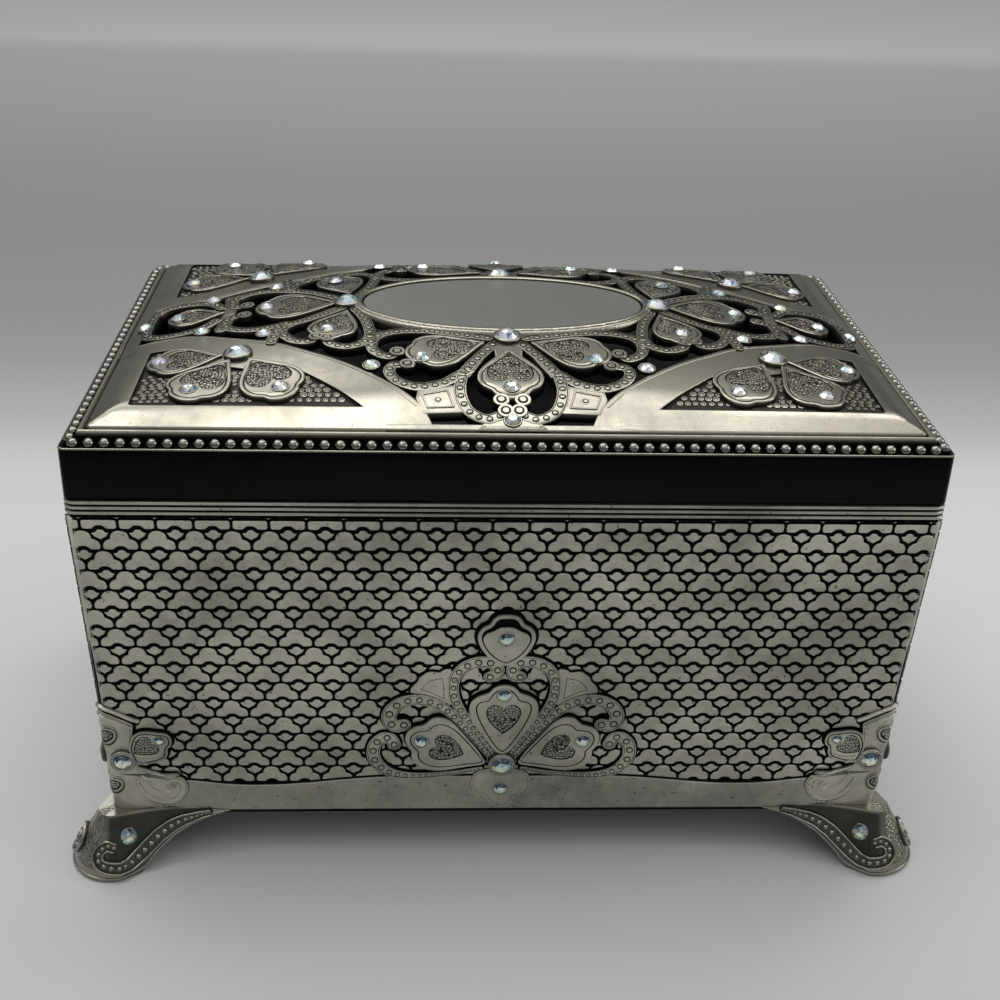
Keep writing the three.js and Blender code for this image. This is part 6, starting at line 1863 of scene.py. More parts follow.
LEAF_PETAL = (
    (6.2, 32.84), (7.5, 33.84), (9.2, 34.14), (11.2, 33.84), (13.2, 33.6), (14.2, 32.8), (14.5, 31.5),
    (14.2, 30.2), (13.4, 29.3), (13.3, 28.2), (12.7, 26.8), (11.2, 25.84), (9.2, 25.24), (6.8, 24.94),
    (5.8, 25.8), (5.2, 27.6), (5.0, 29.3), (5.3, 30.9),
)


@dataclass
class CornerLeaves:
    """Leaf ornament wrapped round each corner of the case over the apron."""

    floor: float = 0.1

    def place(self, along: Array, height: Array, out: Array) -> Array:
        """Chart place round the rounded corner of the first quarter: +X and +Y walls.

        Args:
            along: Way round the corner from its middle.
            height: Height over the floor.
            out: Distance from the wall.

        Returns:
            Points in space.
        """
        radius = CASE_RADIUS
        hx, hy = CASE_HALF_X - lean(height), CASE_HALF_Y - lean(height)
        quarter = radius * math.pi / 4
        angle = math.pi / 4 - np.clip(along / radius, -math.pi / 4, math.pi / 4)
        beyond = np.sign(along) * np.maximum(np.abs(along) - quarter, 0)
        x = hx - radius + (radius + out) * np.cos(angle) - np.maximum(-beyond, 0)
        y = hy - radius + (radius + out) * np.sin(angle) - np.maximum(beyond, 0)
        return stacked(x, y, height)

    def hatched_heart(self, core: tuple[float, float], size: float) -> Surface:
        """Small sunk heart on the corner's ridge, with a second ridge round it.

        Args:
            core: Its middle.
            size: Its half width.

        Returns:
            The heart.
        """
        shape = heart(np.array(core), np.array([0, 1.0]), size)
        rows = ((-1.15, 0.98, 0, 0), (-1.1, 1.16, 0.9, 0), (-0.9, 1.2, 1, 0), (-0.76, 1.05, 0.05, 0),
                (-0.45, 1.04, 0.5, 0), (-0.25, 1.16, 1, 0), (-0.08, 1.18, 0.9, 0), (0.0, 1.1, 0.1, 0),
                (0.1, 1.04, 0.0, 0.5))
        steps = [(share, 1.06, 0.75, 1) for share in (0.2, 0.4, 0.6, 0.8)]
        return boss(self.place, shape, rows, ((shape * 0.02 + np.array(core) * 0.98, steps),), np.array(core))

    def ridge(self, line: Array, half: float | Array, top: float, floor: float) -> Surface:
        """Round ridge along a line of the chart."""
        return chart_ribbon(self.place, line, half, top, floor, plain=True)

    def plate(self) -> Surface:
        """Ground plate of one ornament, with a raised edge.

        Returns:
            The plate.
        """
        outline, seen = both_sides(LEAF_PLATE, 5), np.array([0.0, 23.0])
        # The first three rows are a flat border at relief 0: painted shadow round the plate.
        rows = ((-0.6, self.floor, 0.0, 0), (-0.6, 0.56, 0.0, 0), (-0.02, 0.56, 0.0, 0), (0.0, 0.85, 0.25, 0),
                (0.12, 1.02, 0.9, 0), (0.35, 1.06, 1, 0), (0.55, 0.96, 0.15, 0), (0.7, 1.02, 0.95, 0))
        steps = [(share, 1.02, 0.95, 0) for share in np.linspace(0.08, 0.95, 13)]
        return boss(self.place, outline, rows, ((outline * 0.02 + seen * 0.98, steps),), seen)

    def side(self, sign: int) -> list[Surface]:
        """Scrolled bands, hatched petal, dots and cups on one side of the corner.

        Args:
            sign: 1, or -1 for the other side.

        Returns:
            The parts, as surfaces of their own.
        """
        turn = np.array([sign, 1])
        whole = rounded(np.array(LEAF_PETAL) + [-0.35, 0.85], 0.4)
        core = rounded(heart(np.array([8.2, 30.7]), np.array([0.826, 0.565]), 2.6)[::2], 0.4)
        brow = spline([(0.0, 41.1), (1.4, 40.5), (3.4, 39.4), (5.9, 38.0), (7.4, 37.4)], 7)
        edge = spline([(4.6, 18.2), (6.6, 15.4), (9.4, 13.9), (12.4, 13.9)], 7) * turn
        tail = spline([(5.6, 25.0), (7.7, 23.9), (11.4, 22.3)], 6)
        parts = []
        for rows, top in ((LEAF_BAND, 1.42), (LEAF_INNER, 1.2)):
            line = spline(rows, 6)
            parts.append(self.ridge(line[:, :2] * turn, line[:, 2], top, 0.7))
        parts.append(on_chart(self.place, DOT, spaced(edge, 1.25, 0.3), 1.0, 0.5))
        parts += [self.ridge(brow * turn, 0.42, 1.3, self.floor),
                  self.ridge((brow[:-7] - [0, 2.3]) * turn, 0.3, 1.3, 0.6)]
        petal_lines = [(line * turn)[::sign] for line in (whole, offset_outline(whole, -0.62), core)]
        # The last value is the width and height of the petal's border of painted shadow.
        parts.append(heart_petal(self.place, *petal_lines, 1.55, self.floor, (0.5, 0.56)))
        for drop in (0.0, 1.1):
            under = spline(np.array(((6.4, 27.9), (8.8, 27.6), (11.2, 28.2), (12.4, 29.7))) - [0, drop], 6)
            parts.append(self.ridge(under * turn, 0.16, 1.68, 1.2))
        parts.append(self.ridge(tail * turn, 0.3, 1.15, self.floor))
        settings = ((CUP, (2.9, 26.8), 1.45, 0.93), (COLLET, (11.5, 32.6), 1.56, 0.66))
        for shape, spot, height, scale in settings:
            parts.append(on_chart(self.place, shape, np.array([spot]) * turn, height, scale))
        return parts

    def build(self, finishes: Finishes) -> None:
        """Four ornaments and their crystals.

        Args:
            finishes: Finishes of the whole box.
        """
        hearts = [self.hatched_heart((0.0, 33.4), 1.8), self.hatched_heart((0.0, 19.6), 1.6)]
        base = merge([self.plate(), *hearts, *self.side(1), *self.side(-1)])
        gems = []
        for spot, level, radius in (((2.9, 26.8), 1.55, 2.0), ((11.5, 32.6), 1.56, 1.0)):
            for sign in (1, -1):
                centre, up = normal_at(self.place, np.array([spot[0] * sign]), np.array([spot[1]]))
                gems.append(set_stones(centre + up * level, up, radius, radius * 0.45, 20 + len(gems)))
        gems = merge(gems)
        for name, sx, sy in CORNERS:
            add_piece(f"corner_leaves_{name}", base.mirrored(sx, sy),
                      Body.CASE, finishes.walls, (f"corner_ornament_{name}",))
            add_piece(f"corner_crystals_{name}", gems.mirrored(sx, sy),
                      Body.CASE, finishes.crystal, sharp=1.0)


CORNERS = (("front_left", -1, -1), ("front_right", 1, -1), ("rear_left", -1, 1), ("rear_right", 1, 1))


@dataclass
class ScrollFeet:
    """Flared feet: a hollow face painted dark as a reflection, a beaded strap that curls up over the toe, and
    a rim under it.

    Args:
        rows: Rings of the face.
        offset: How far the toe's axis stands outside the case's corner.
        top: Height at which the foot runs out on the apron.
        arm_end: Share of the line at which an arm meets the toe.
        toe_start: Degrees at which the toe's arc starts, where -135 is the corner's diagonal.
    """

    rows: int = 44
    offset: float = 0.9
    top: float = 13.2
    arm_end: float = 0.38
    toe_start: float = -75.0

    arms = (
        (0, 5.6), (1.5, 6.95), (2.9, 8.05), (4.0, 9.15), (5.1, 10.4), (6.2, 11.8), (7.4, 13.3), (8.3, 15.1),
        (9.2, 16.6), (10.0, 18.4), (10.7, 20.1), (11.3, 21.7), (11.7, 23.8), (12.1, 25.4), (12.5, 22.5),
        (13.2, 18.5),
    )
    toes = (
        (0, 9.35), (0.35, 9.65), (1.2, 9.45), (2.5, 9.0), (5.1, 7.8), (7.7, 6.3), (10.3, 4.6), (12.1, 3.6),
        (13.2, 3.0),
    )
    tips = (
        (0, -7.5), (2.5, -6.2), (5.0, -4.6), (7.7, -3.0), (10.3, -1.5), (12.1, -0.75), (13.2, -0.66),
    )
    strap = (
        (0.043, 11.7, 0.7), (0.052, 10.98, 1.0), (0.070, 10.16, 1.3), (0.089, 8.89, 1.5),
        (0.100, 7.28, 1.6), (0.122, 5.4, 1.65), (0.168, 3.8, 1.6), (0.256, 2.75, 1.5), (0.340, 2.85, 1.45),
        (0.395, 3.05, 1.4), (0.430, 3.7, 1.35), (0.446, 4.9, 1.3), (0.442, 6.5, 1.25), (0.418, 7.5, 1.15),
        (0.392, 7.1, 1.05),
    )
    rim = (
        (0.012, 11.9), (0.012, 10.5), (0.012, 9.0), (0.012, 7.0), (0.012, 5.0), (0.013, 3.4), (0.018, 2.2),
        (0.034, 1.4), (0.07, 0.95), (0.13, 0.72), (0.2, 0.64), (0.28, 0.62), (0.35, 0.62), (0.42, 0.66),
        (0.46, 0.75), (0.497, 0.9),
    )
    stone = (0.306, 8.35)

    def section(self, height: Array, way: Array) -> tuple[Array, Array]:
        """Outer line of the foot at a height: arm, toe arc and arm again.

        The arm is a quadratic curve from its tip to the toe, and the toe is an arc about an axis
        just outside the corner.

        Args:
            height: Height over the floor.
            way: Place along the line, 0 at one arm's end and 1 at the other.

        Returns:
            Plan places relative to the case corner, inwards positive.
        """
        arm, toe, tip = (np.interp(height, *np.array(table).T) for table in (self.arms, self.toes, self.tips))
        start = math.radians(self.toe_start)
        sx, sy = toe * math.cos(start) - self.offset, toe * math.sin(start) - self.offset
        low = np.clip(-tip / 7.5, 0, 1) ** 3
        bend_x = sx + (arm - sx) * 0.4
        bend_y = (1 - low) * (0.55 * tip + 0.05 * sy) + low * (0.4 * tip + 0.62 * sy)
        mirrored = way > 0.5
        t = np.where(mirrored, 1 - way, way)
        a = np.clip(t / self.arm_end, 0, 1)
        x = (1 - a) ** 2 * arm + 2 * a * (1 - a) * bend_x + a * a * sx
        y = (1 - a) ** 2 * tip + 2 * a * (1 - a) * bend_y + a * a * sy
        share = np.clip((t - self.arm_end) / (0.5 - self.arm_end), 0, 1)
        angle = np.radians(self.toe_start - (135 + self.toe_start) * share)
        arc = t > self.arm_end
        x = np.where(arc, toe * np.cos(angle) - self.offset, x)
        y = np.where(arc, toe * np.sin(angle) - self.offset, y)
        return np.where(mirrored, y, x), np.where(mirrored, x, y)

    def face(self, way: Array, height: Array) -> Array:
        """Place on the foot's face."""
        x, y = self.section(height, way)
        return stacked(FOOT_X - x, FOOT_Y - y, height)

    def along(self, path: Array) -> tuple[Array, Array]:
        """Points of a path of way and height, with the outward direction at each.

        Args:
            path: Points of the path.

        Returns:
            Points in space, and directions of length one.
        """
        way, height = path[:, 0], path[:, 1]
        here = self.face(way, height)
        out = np.cross(self.face(way + STEP / 10, height) - here, self.face(way, height - STEP) - here)
        return here, outward(out, here - [FOOT_X - 4, FOOT_Y - 4, 6.0])

    def foot(self) -> Surface:
        """One foot in the first quarter: outer face, flat back and two ends.

        Returns:
            The foot.
        """
        heights = np.concatenate([np.linspace(0, 1.2, 8), np.linspace(1.2, self.top, self.rows)[1:]])
        way = np.concatenate([np.linspace(0, self.arm_end, 44, endpoint=False),
                              np.linspace(self.arm_end, 1 - self.arm_end, 44, endpoint=False),
                              np.linspace(1 - self.arm_end, 1, 45)])
        height, t = np.meshgrid(heights, way, indexing="ij")
        near = np.minimum(t, 1 - t)
        knots = np.array(self.strap[:10])
        edge = np.interp(near, knots[:, 0], knots[:, 1])
        # Painted dark reflection on the hollow face over the strap, and painted shade below the strap, both
        # in the tone.
        hollow = smooth(0.0, 1.0, height - edge) * (1 - smooth(0.40, 0.455, near)) \
            * (1 - smooth(12.7, 13.1, height))
        under = smooth(0.3, 1.4, edge - height) * smooth(0.42, 0.3, near)
        tone = 0.9 - 0.62 * hollow - 0.42 * under
        grain = 0.6 * smooth(0.435, 0.47, near) * smooth(1.5, 3.0, height)
        arm = np.interp(heights, *np.array(self.arms).T)
        heel = np.minimum(arm, np.interp(heights, (0, 4, 8, 12, 13.2), (4.4, 4.4, 3.6, 2.4, 2.0)))
        inner = [np.column_stack([FOOT_X - a, FOOT_Y - b, heights]) for a, b in ((heel, arm), (arm, heel))]
        grid = np.concatenate([self.face(t, height), inner[0][:, None], inner[1][:, None]], axis=1)
        tones = np.concatenate([tone, np.full((len(heights), 2), 0.5)], axis=1)
        grains = np.concatenate([grain, np.zeros((len(heights), 2))], axis=1)
        return capped(grid, grid[0].mean(axis=0), grid[-1].mean(axis=0),
                      np.append(tones.ravel(), (0.5, 0.5)), np.append(grains.ravel(), (0, 0)))

    def trim(self) -> list[Surface]:
        """Strap with its beads, and the rim round the sole, for both faces of one foot.

        Returns:
            The parts, as surfaces of their own.
        """
        line = spline(self.strap, 9)
        centres, ups = self.along(line)
        band = ribbon(centres, ups, line[:, 2], 0.42, -0.6)
        ahead = np.gradient(centres, axis=0)
        away = np.cross(ahead, ups) / np.linalg.norm(ahead, axis=1, keepdims=True) * (line[:, 2:] - 0.12)
        lips = [ribbon(centres + side * away, ups, 0.3, 0.85, -0.2, plain=True) for side in (1, -1)]
        # Darker channel between the strap's lips: patina and painted shade.
        band.relief = band.relief * 0.4
        spots, sizes = strung(np.hstack([centres, ups]), line[:, 2], 1.25)
        studs = copies(KNOB, spots[:, :3] + spots[:, 3:] * 0.2, spots[:, 3:], sizes * 0.47)
        sole = ribbon(*self.along(spline(self.rim, 6)), 0.34, 0.3, -0.5, plain=True)
        return [part for piece in (band, *lips, studs, sole) for part in (piece, across(piece))]

    def build(self, finishes: Finishes) -> None:
        """Four feet and their crystals.

        Args:
            finishes: Finishes of the whole box.
        """
        body, trim = self.foot(), merge(self.trim())
        centre, up = self.along(np.array([self.stone]))
        stone = set_stones(centre, up, 1.8, 0.8, 31)
        seat = copies(COLLET, centre + up * 0.02, up)
        both, seats = (merge([piece, across(piece)]) for piece in (stone, seat))
        for name, sx, sy in CORNERS:
            whole = merge([body, trim, seats]).mirrored(sx, sy)
            add_piece(f"scroll_foot_{name}", whole, Body.CASE, finishes.feet,
                      (f"foot_{name}",), sharp=50.0)
            add_piece(f"foot_crystals_{name}", both.mirrored(sx, sy), Body.CASE, finishes.crystal,
                      sharp=1.0)


def across(surface: Surface) -> Surface:
    """Mirror image over the upright plane that halves a case corner of the first quarter.

    Args:
        surface: The surface.

    Returns:
        Its image, faces outwards.
    """
    shift = FOOT_X - FOOT_Y
    points = surface.points[:, [1, 0, 2]] + [shift, -shift, 0]
    return Surface(points, surface.quads[:, ::-1], surface.tris[:, ::-1], surface.relief, surface.hatch)


# ---- lid


DOME_INSET_X, DOME_INSET_Y, DOME_POWER_X, DOME_POWER_Y = 10.0, 7.8, 2.5, 2.35
DOME_FOOT, DOME_SWELL, DOME_BLEND = 5.0, 6.85, 1.6
EDGE_RISE, EDGE_SLOPE, EDGE_INSET = 2.4, 0.49, 4.6


def dome(x: Array, y: Array) -> Array:
    """Height of the lid's top: a product of two power curves, cut off by the sloping edge.

    Args:
        x: Places along the lid.
        y: Places over its depth.

    Returns:
        Height at each place.
    """
    inset = np.minimum(LID_HALF_X - np.abs(x), LID_HALF_Y - np.abs(y))
    long = np.maximum(0, 1 - (np.abs(x) / (LID_HALF_X - DOME_INSET_X)) ** DOME_POWER_X)
    short = np.maximum(0, 1 - (np.abs(y) / (LID_HALF_Y - DOME_INSET_Y)) ** DOME_POWER_Y)
    edge = EDGE_RISE + EDGE_SLOPE * (inset - EDGE_INSET)
    swell = DOME_FOOT + DOME_SWELL * long * short
    soft = np.clip(0.5 + (edge - swell) / DOME_BLEND, 0, 1)
    return LID_TOP + edge * (1 - soft) + swell * soft - DOME_BLEND / 2 * soft * (1 - soft)


@dataclass
class Openwork:
    """Domed openwork of the lid: petals, ringed straps, scrolls and four solid corner fields.

    Args:
        back: Height of every back over the dome.
        half: Half width of a strap.
        strap_top: Height of the straps.
        petal_top: Height of the petals.
        pebble_pitch: Distance between pebbles in a row.
        pebble_row: Distance between rows of pebbles.
    """

    back: float = -1.8
    half: float = 1.28
    strap_top: float = 0.14
    petal_top: float = 0.6
    pebble_pitch: float = 1.68
    pebble_row: float = 1.47

    def at(self, shares: Sequence) -> Array:
        """Plan place of a share, or of each in a list."""
        return np.asarray(shares, float) * [TOP_HALF_X, TOP_HALF_Y]

    def place(self, x: Array, y: Array, height: Array) -> Array:
        """Plan place on the dome, raised by a height."""
        return stacked(x, y, dome(x, y) + height)

    def spread(self, surface: Surface, on_x: bool = False, on_y: bool = False) -> list[Surface]:
        """Surface with its mirror images in the other quarters.

        Args:
            surface: Form of the first quarter.
            on_x: Whether it lies on the depth axis, and needs no copy across it.
            on_y: Whether it lies on the length axis, and needs no copy across it.

        Returns:
            The copies.
        """
        return [surface.mirrored(sx, sy) for sx in ((1,) if on_x else (1, -1))
                for sy in ((1,) if on_y else (1, -1))]

    def straps(self) -> list[Surface]:
        """Ringed straps with their dots.

        Returns:
            The parts, as surfaces of their own.
        """
        made = []
        for number, shares in enumerate(LID_STRAPS):
            line = spline(self.at(shares))
            top = self.strap_top + 0.03 * number
            made += self.spread(chart_ribbon(self.place, line, self.half, top, self.back))
            made += self.spread(on_chart(self.place, DOT, spaced(line, 2.2, 0.1), top - 0.03, 0.76))
        for number, share in enumerate(LID_SCROLLS):
            made += self.spread(on_chart(self.place, SCROLL_END, self.at([share]), 0.5 + 0.02 * number))
        return made

    def plates(self) -> list[Surface]:
        """Edge strips, webs and the ear plates with their stud.

        Returns:
            The parts, as surfaces of their own.
        """
        made = []
        for shares, on_x, on_y in LID_PLATES:
            made += self.spread(raised_plate(self.place, self.at(shares), 0.12, self.back), on_x, on_y)
        ear = ((0.155, 0.805), (0.216, 0.83), (0.203, 0.895), (0.14, 0.89), (0.155, 0.805))
        line = straight(self.at(ear), 6)
        made += self.spread(chart_ribbon(self.place, line, 0.25, 0.3, 0.0, plain=True))
        made += self.spread(on_chart(self.place, SCROLL_END, self.at([(0.178, 0.855)]), 0.16, 0.6))
        web = spline(self.at(((0.742, 0.2), (0.735, 0.1), (0.735, 0))), 6)
        made += self.spread(chart_ribbon(self.place, web, 1.6, 0.2, self.back))
        return made

    def corner(self) -> list[Surface]:
        """Solid corner field: a smooth band round a sunk floor of pebbles.

        Returns:
            The parts, as surfaces of their own.
        """
        arc = spline(self.at(LID_ARC), 6)
        edge = [(TOP_HALF_X * 0.99, TOP_HALF_Y), (TOP_HALF_X, TOP_HALF_Y * 0.984)]
        corners = np.concatenate([arc, edge, arc[:1]])
        outline = np.concatenate([np.linspace(a, b, max(2, int(np.hypot(*(b - a)) / 1.2)), endpoint=False)
                                  for a, b in zip(corners[:-1], corners[1:])])
        bound = self.at(LID_RECESS)
        rows = ((0, self.back, 0.1, 0), (0, -0.3, 0.5, 0), (0.12, -0.04, 0.9, 0), (0.36, 0.04, 1, 0))
        steps = [(share, 0.04, 1, 0) for share in np.linspace(0.03, 0.97, 24)]
        # Painted shade: a dark line down the step into the recess, and a darker sunk floor.
        steps += [(0.99, 0.02, 0.9, 0), (1.0, -0.12, 0.2, 0), (1.003, -0.45, 0.0, 0)]
        steps += [(1 + share, -0.48, 0.22, 0) for share in (0.05, 0.2, 0.4, 0.6, 0.8)]
        made = self.spread(boss(self.place, outline, rows, ((bound, steps),), self.at((0.75, 0.75))))
        inner = spline(self.at(LID_ARC[1:-1]), 6)
        lip = inner + unit(self.at((1.1, 1.25)) - inner) * 1.1
        made += self.spread(chart_ribbon(self.place, lip, 0.22, 0.16, -0.2, plain=True))
        column, row = np.meshgrid(np.arange(60), np.arange(60))
        nudge = 0.5 * (row % 2) + 0.13 * np.sin(row * 2.3)
        along = (column + nudge) * self.pebble_pitch + 0.12 * np.sin(column * 5.1 + row * 3.7)
        spots = np.column_stack([along.ravel(), (row * self.pebble_row).ravel()])
        keep = inside(spots, bound, 0.75)
        for tip, end, width in LID_PETALS[5:]:
            keep &= ~inside(spots, petal(self.at(tip), self.at(end), width * TOP_HALF_Y), -0.1)
        spots = spots[keep]
        sizes = 0.92 + 0.16 * np.sin(spots[:, 0] * 7.3 + spots[:, 1] * 3.1)
        return made + self.spread(on_chart(self.place, PEBBLE, spots, -0.42, sizes))

    def petals(self) -> list[Surface]:
        """Heart petals of every fan.

        Returns:
            The parts, as surfaces of their own.
        """
        made = []
        for tip, end, width in LID_PETALS:
            leaf = raised_petal(self.place, self.at(tip), self.at(end), width * TOP_HALF_Y, self.petal_top,
                                self.back)
            made += self.spread(leaf, tip[0] == end[0] == 0, tip[1] == end[1] == 0)
        return made

    def build(self, finishes: Finishes) -> None:
        """Openwork in four groups, the bezel and the crystals.

        Args:
            finishes: Finishes of the whole box.
        """
        for name, parts in (("corner_fields", self.corner()), ("straps", self.straps()),
                            ("petals", self.petals()), ("plates", self.plates())):
            add_piece(f"openwork_{name}", merge(parts), Body.LID, finishes.lid,
                      ("lid_openwork",))
        self.build_bezel(finishes)
        petal_spots, cup_spots, roots = (quarters(table) for table in (
            LID_PETAL_STONES, LID_SMALL_CUPS, LID_ROOT_CUPS))
        centres, ups = normal_at(self.place, *np.concatenate([petal_spots, cup_spots]).T)
        level = np.repeat([0.63, 0.3], [len(petal_spots), len(cup_spots)])[:, None]
        seats = [copies(COLLET, centres + ups * level, ups)]
        root_at, root_up = normal_at(self.place, *roots.T)
        seats.append(copies(CUP, root_at + root_up * 0.55, root_up))
        add_piece("crystal_seats", merge(seats), Body.LID, finishes.lid, ("lid_openwork",),
                  sharp=50.0)
        add_piece("lid_set_crystals", set_stones(centres + ups * level, ups, 1.55, 0.85, 5), Body.LID,
                  finishes.crystal, sharp=1.0)
        add_piece("lid_root_crystals", set_stones(root_at + root_up * 0.65, root_up, 2.25, 1.4, 6), Body.LID,
                  finishes.crystal, tuple(f"lid_stone_{k}" for k in range(1, 9)), sharp=1.0)

    def build_bezel(self, finishes: Finishes) -> None:
        """Oval bezel with a milled outer cord, and the plaque in it.

        Args:
            finishes: Finishes of the whole box.
        """
        turn = np.linspace(0, 2 * math.pi, 400, endpoint=False)
        around = circle(turn)
        rows = ((31.9, 16.9, 113.0, 0.3), (31.95, 16.95, 114.9, 0.6), (32.3, 17.3, 115.15, 1.0),
                (32.9, 17.9, 115.1, 1.0), (33.2, 18.2, 114.8, 0.25), (33.5, 18.5, 114.75, 0.9),
                (34.0, 19.0, 114.4, 1.0), (34.3, 19.3, 113.6, 0.7), (34.3, 19.3, 112.2, 0.2),
                (31.9, 16.9, 112.2, 0.2))
        rings = [at_height(around * [a, b], z) for a, b, z, _ in rows]
        ripple = 0.16 * np.abs(np.sin(turn * 75))
        for row in (5, 6):
            rings[row][:, 2] += ripple
        surface = loop_surface(np.stack(rings), np.repeat([row[3] for row in rows], len(turn)))
        add_piece("plaque_bezel", surface, Body.LID, finishes.lid, sharp=50.0)
        steps = ((1.0, PLAQUE_LOW), (1.0, PLAQUE_TOP - 0.25), (0.992, PLAQUE_TOP), (0.7, PLAQUE_TOP),
                 (0.35, PLAQUE_TOP))
        disc = np.stack([at_height(around[::4] * [PLAQUE_X * s, PLAQUE_Y * s], z) for s, z in steps])
        plaque = capped(disc, np.array([0, 0, PLAQUE_LOW]), np.array([0, 0, PLAQUE_TOP]))
        add_piece("plaque", plaque, Body.LID, finishes.plaque, ("oval_plaque",))


@dataclass
class LidFrame:
    """Skirt painted near black as a dark reflection, bead channel and raised moulding of the lid.

    Args:
        bead_radius: Radius of a bead.
        bead_pitch: Distance between beads.
        bead_inset: How far their row stands in from the lid's outline.
        bead_rise: Height of their middles over the skirt.
    """

    bead_radius: float = 1.22
    bead_pitch: float = 3.06
    bead_inset: float = 1.8
    bead_rise: float = 0.32

    def skirt(self) -> Surface:
        """Skirt with small roundings at its foot and shoulder.

        Returns:
            The skirt.
        """
        rows = ((0.25, SKIRT_LOW, 1.0), (0.0, SKIRT_LOW + 0.3, 1.0), (0.0, LID_TOP - 0.35, 1.0),
                (0.12, LID_TOP - 0.1, 1.0), (0.3, LID_TOP - 0.1, 1.0), (2.2, LID_TOP - 1.4, 1.0),
                (2.2, SKIRT_LOW, 1.0))
        return sweep(rows, LID_HALF_X, LID_HALF_Y, LID_RADIUS, 10, 40)

    def moulding(self) -> Surface:
        """Lip, channel, riser, ridge and groove, as one section of small arcs.

        Returns:
            The moulding.
        """
        # Relief 0 in the channel, on the riser and in the groove paints them dark: patina and painted shade.
        rows = ((0.0, -0.3, 0.2), (0.02, -0.05, 0.9), (0.1, 0.05, 1.0), (0.24, 0.08, 1.0), (0.36, -0.02, 0.6),
                (0.42, -0.2, 0.0), (0.5, -0.8, 0.0), (0.9, -1.0, 0.0), (2.5, -1.0, 0.0), (2.9, -0.7, 0.0),
                (3.02, 0.0, 0.0), (3.1, 1.0, 0.1), (3.2, 1.7, 0.3), (3.42, 2.36, 1.0), (3.75, 2.5, 1.0),
                (4.1, 2.42, 1.0), (4.35, 2.2, 0.8), (4.6, 1.9, 0.2), (4.62, 0.4, 0.0), (8.2, 0.35, 0.0),
                (8.2, -2.25, 0.0), (2.2, -2.25, 0.0), (0.9, -1.5, 0.0))
        return sweep(np.array(rows) + [0, LID_TOP, 0], LID_HALF_X, LID_HALF_Y, LID_RADIUS, 10, 8)

    def beads(self) -> Surface:
        """Row of beads, each a ball of rings, set all round the channel.

        Returns:
            The beads as one surface.
        """
        plan, _ = rounded_plan(LID_HALF_X - self.bead_inset, LID_HALF_Y - self.bead_inset, 0.8, 6, 2)
        loop = np.concatenate([plan, plan[:1]])
        length = np.hypot(*np.diff(loop, axis=0).T).sum()
        spots = spaced(loop, length / round(length / self.bead_pitch), 0.0)[:-1]
        radius = self.bead_radius
        # Painted shade: each bead's relief falls on its underside, so its lower half is dark.
        rings = [(radius * math.cos(a), radius * math.sin(a), smooth(-0.5, 0.3, math.sin(a)))
                 for a in np.radians((-62, -35, -12, 12, 35, 58, 76))]
        return copies(lathe(rings, 14), at_height(spots, LID_TOP + self.bead_rise))

    def build(self, finishes: Finishes) -> None:
        """Skirt, moulding and beads.

        Args:
            finishes: Finishes of the whole box.
        """
        add_piece("lid_skirt", self.skirt(), Body.LID, finishes.skirt, ("lid_frame",))
        add_piece("lid_moulding", self.moulding(), Body.LID, finishes.lid, ("lid_frame",),
                  sharp=50.0)
        add_piece("bead_string", self.beads(), Body.LID, finishes.beads, ("bead_border",),
                  sharp=60.0)


# ---- lining


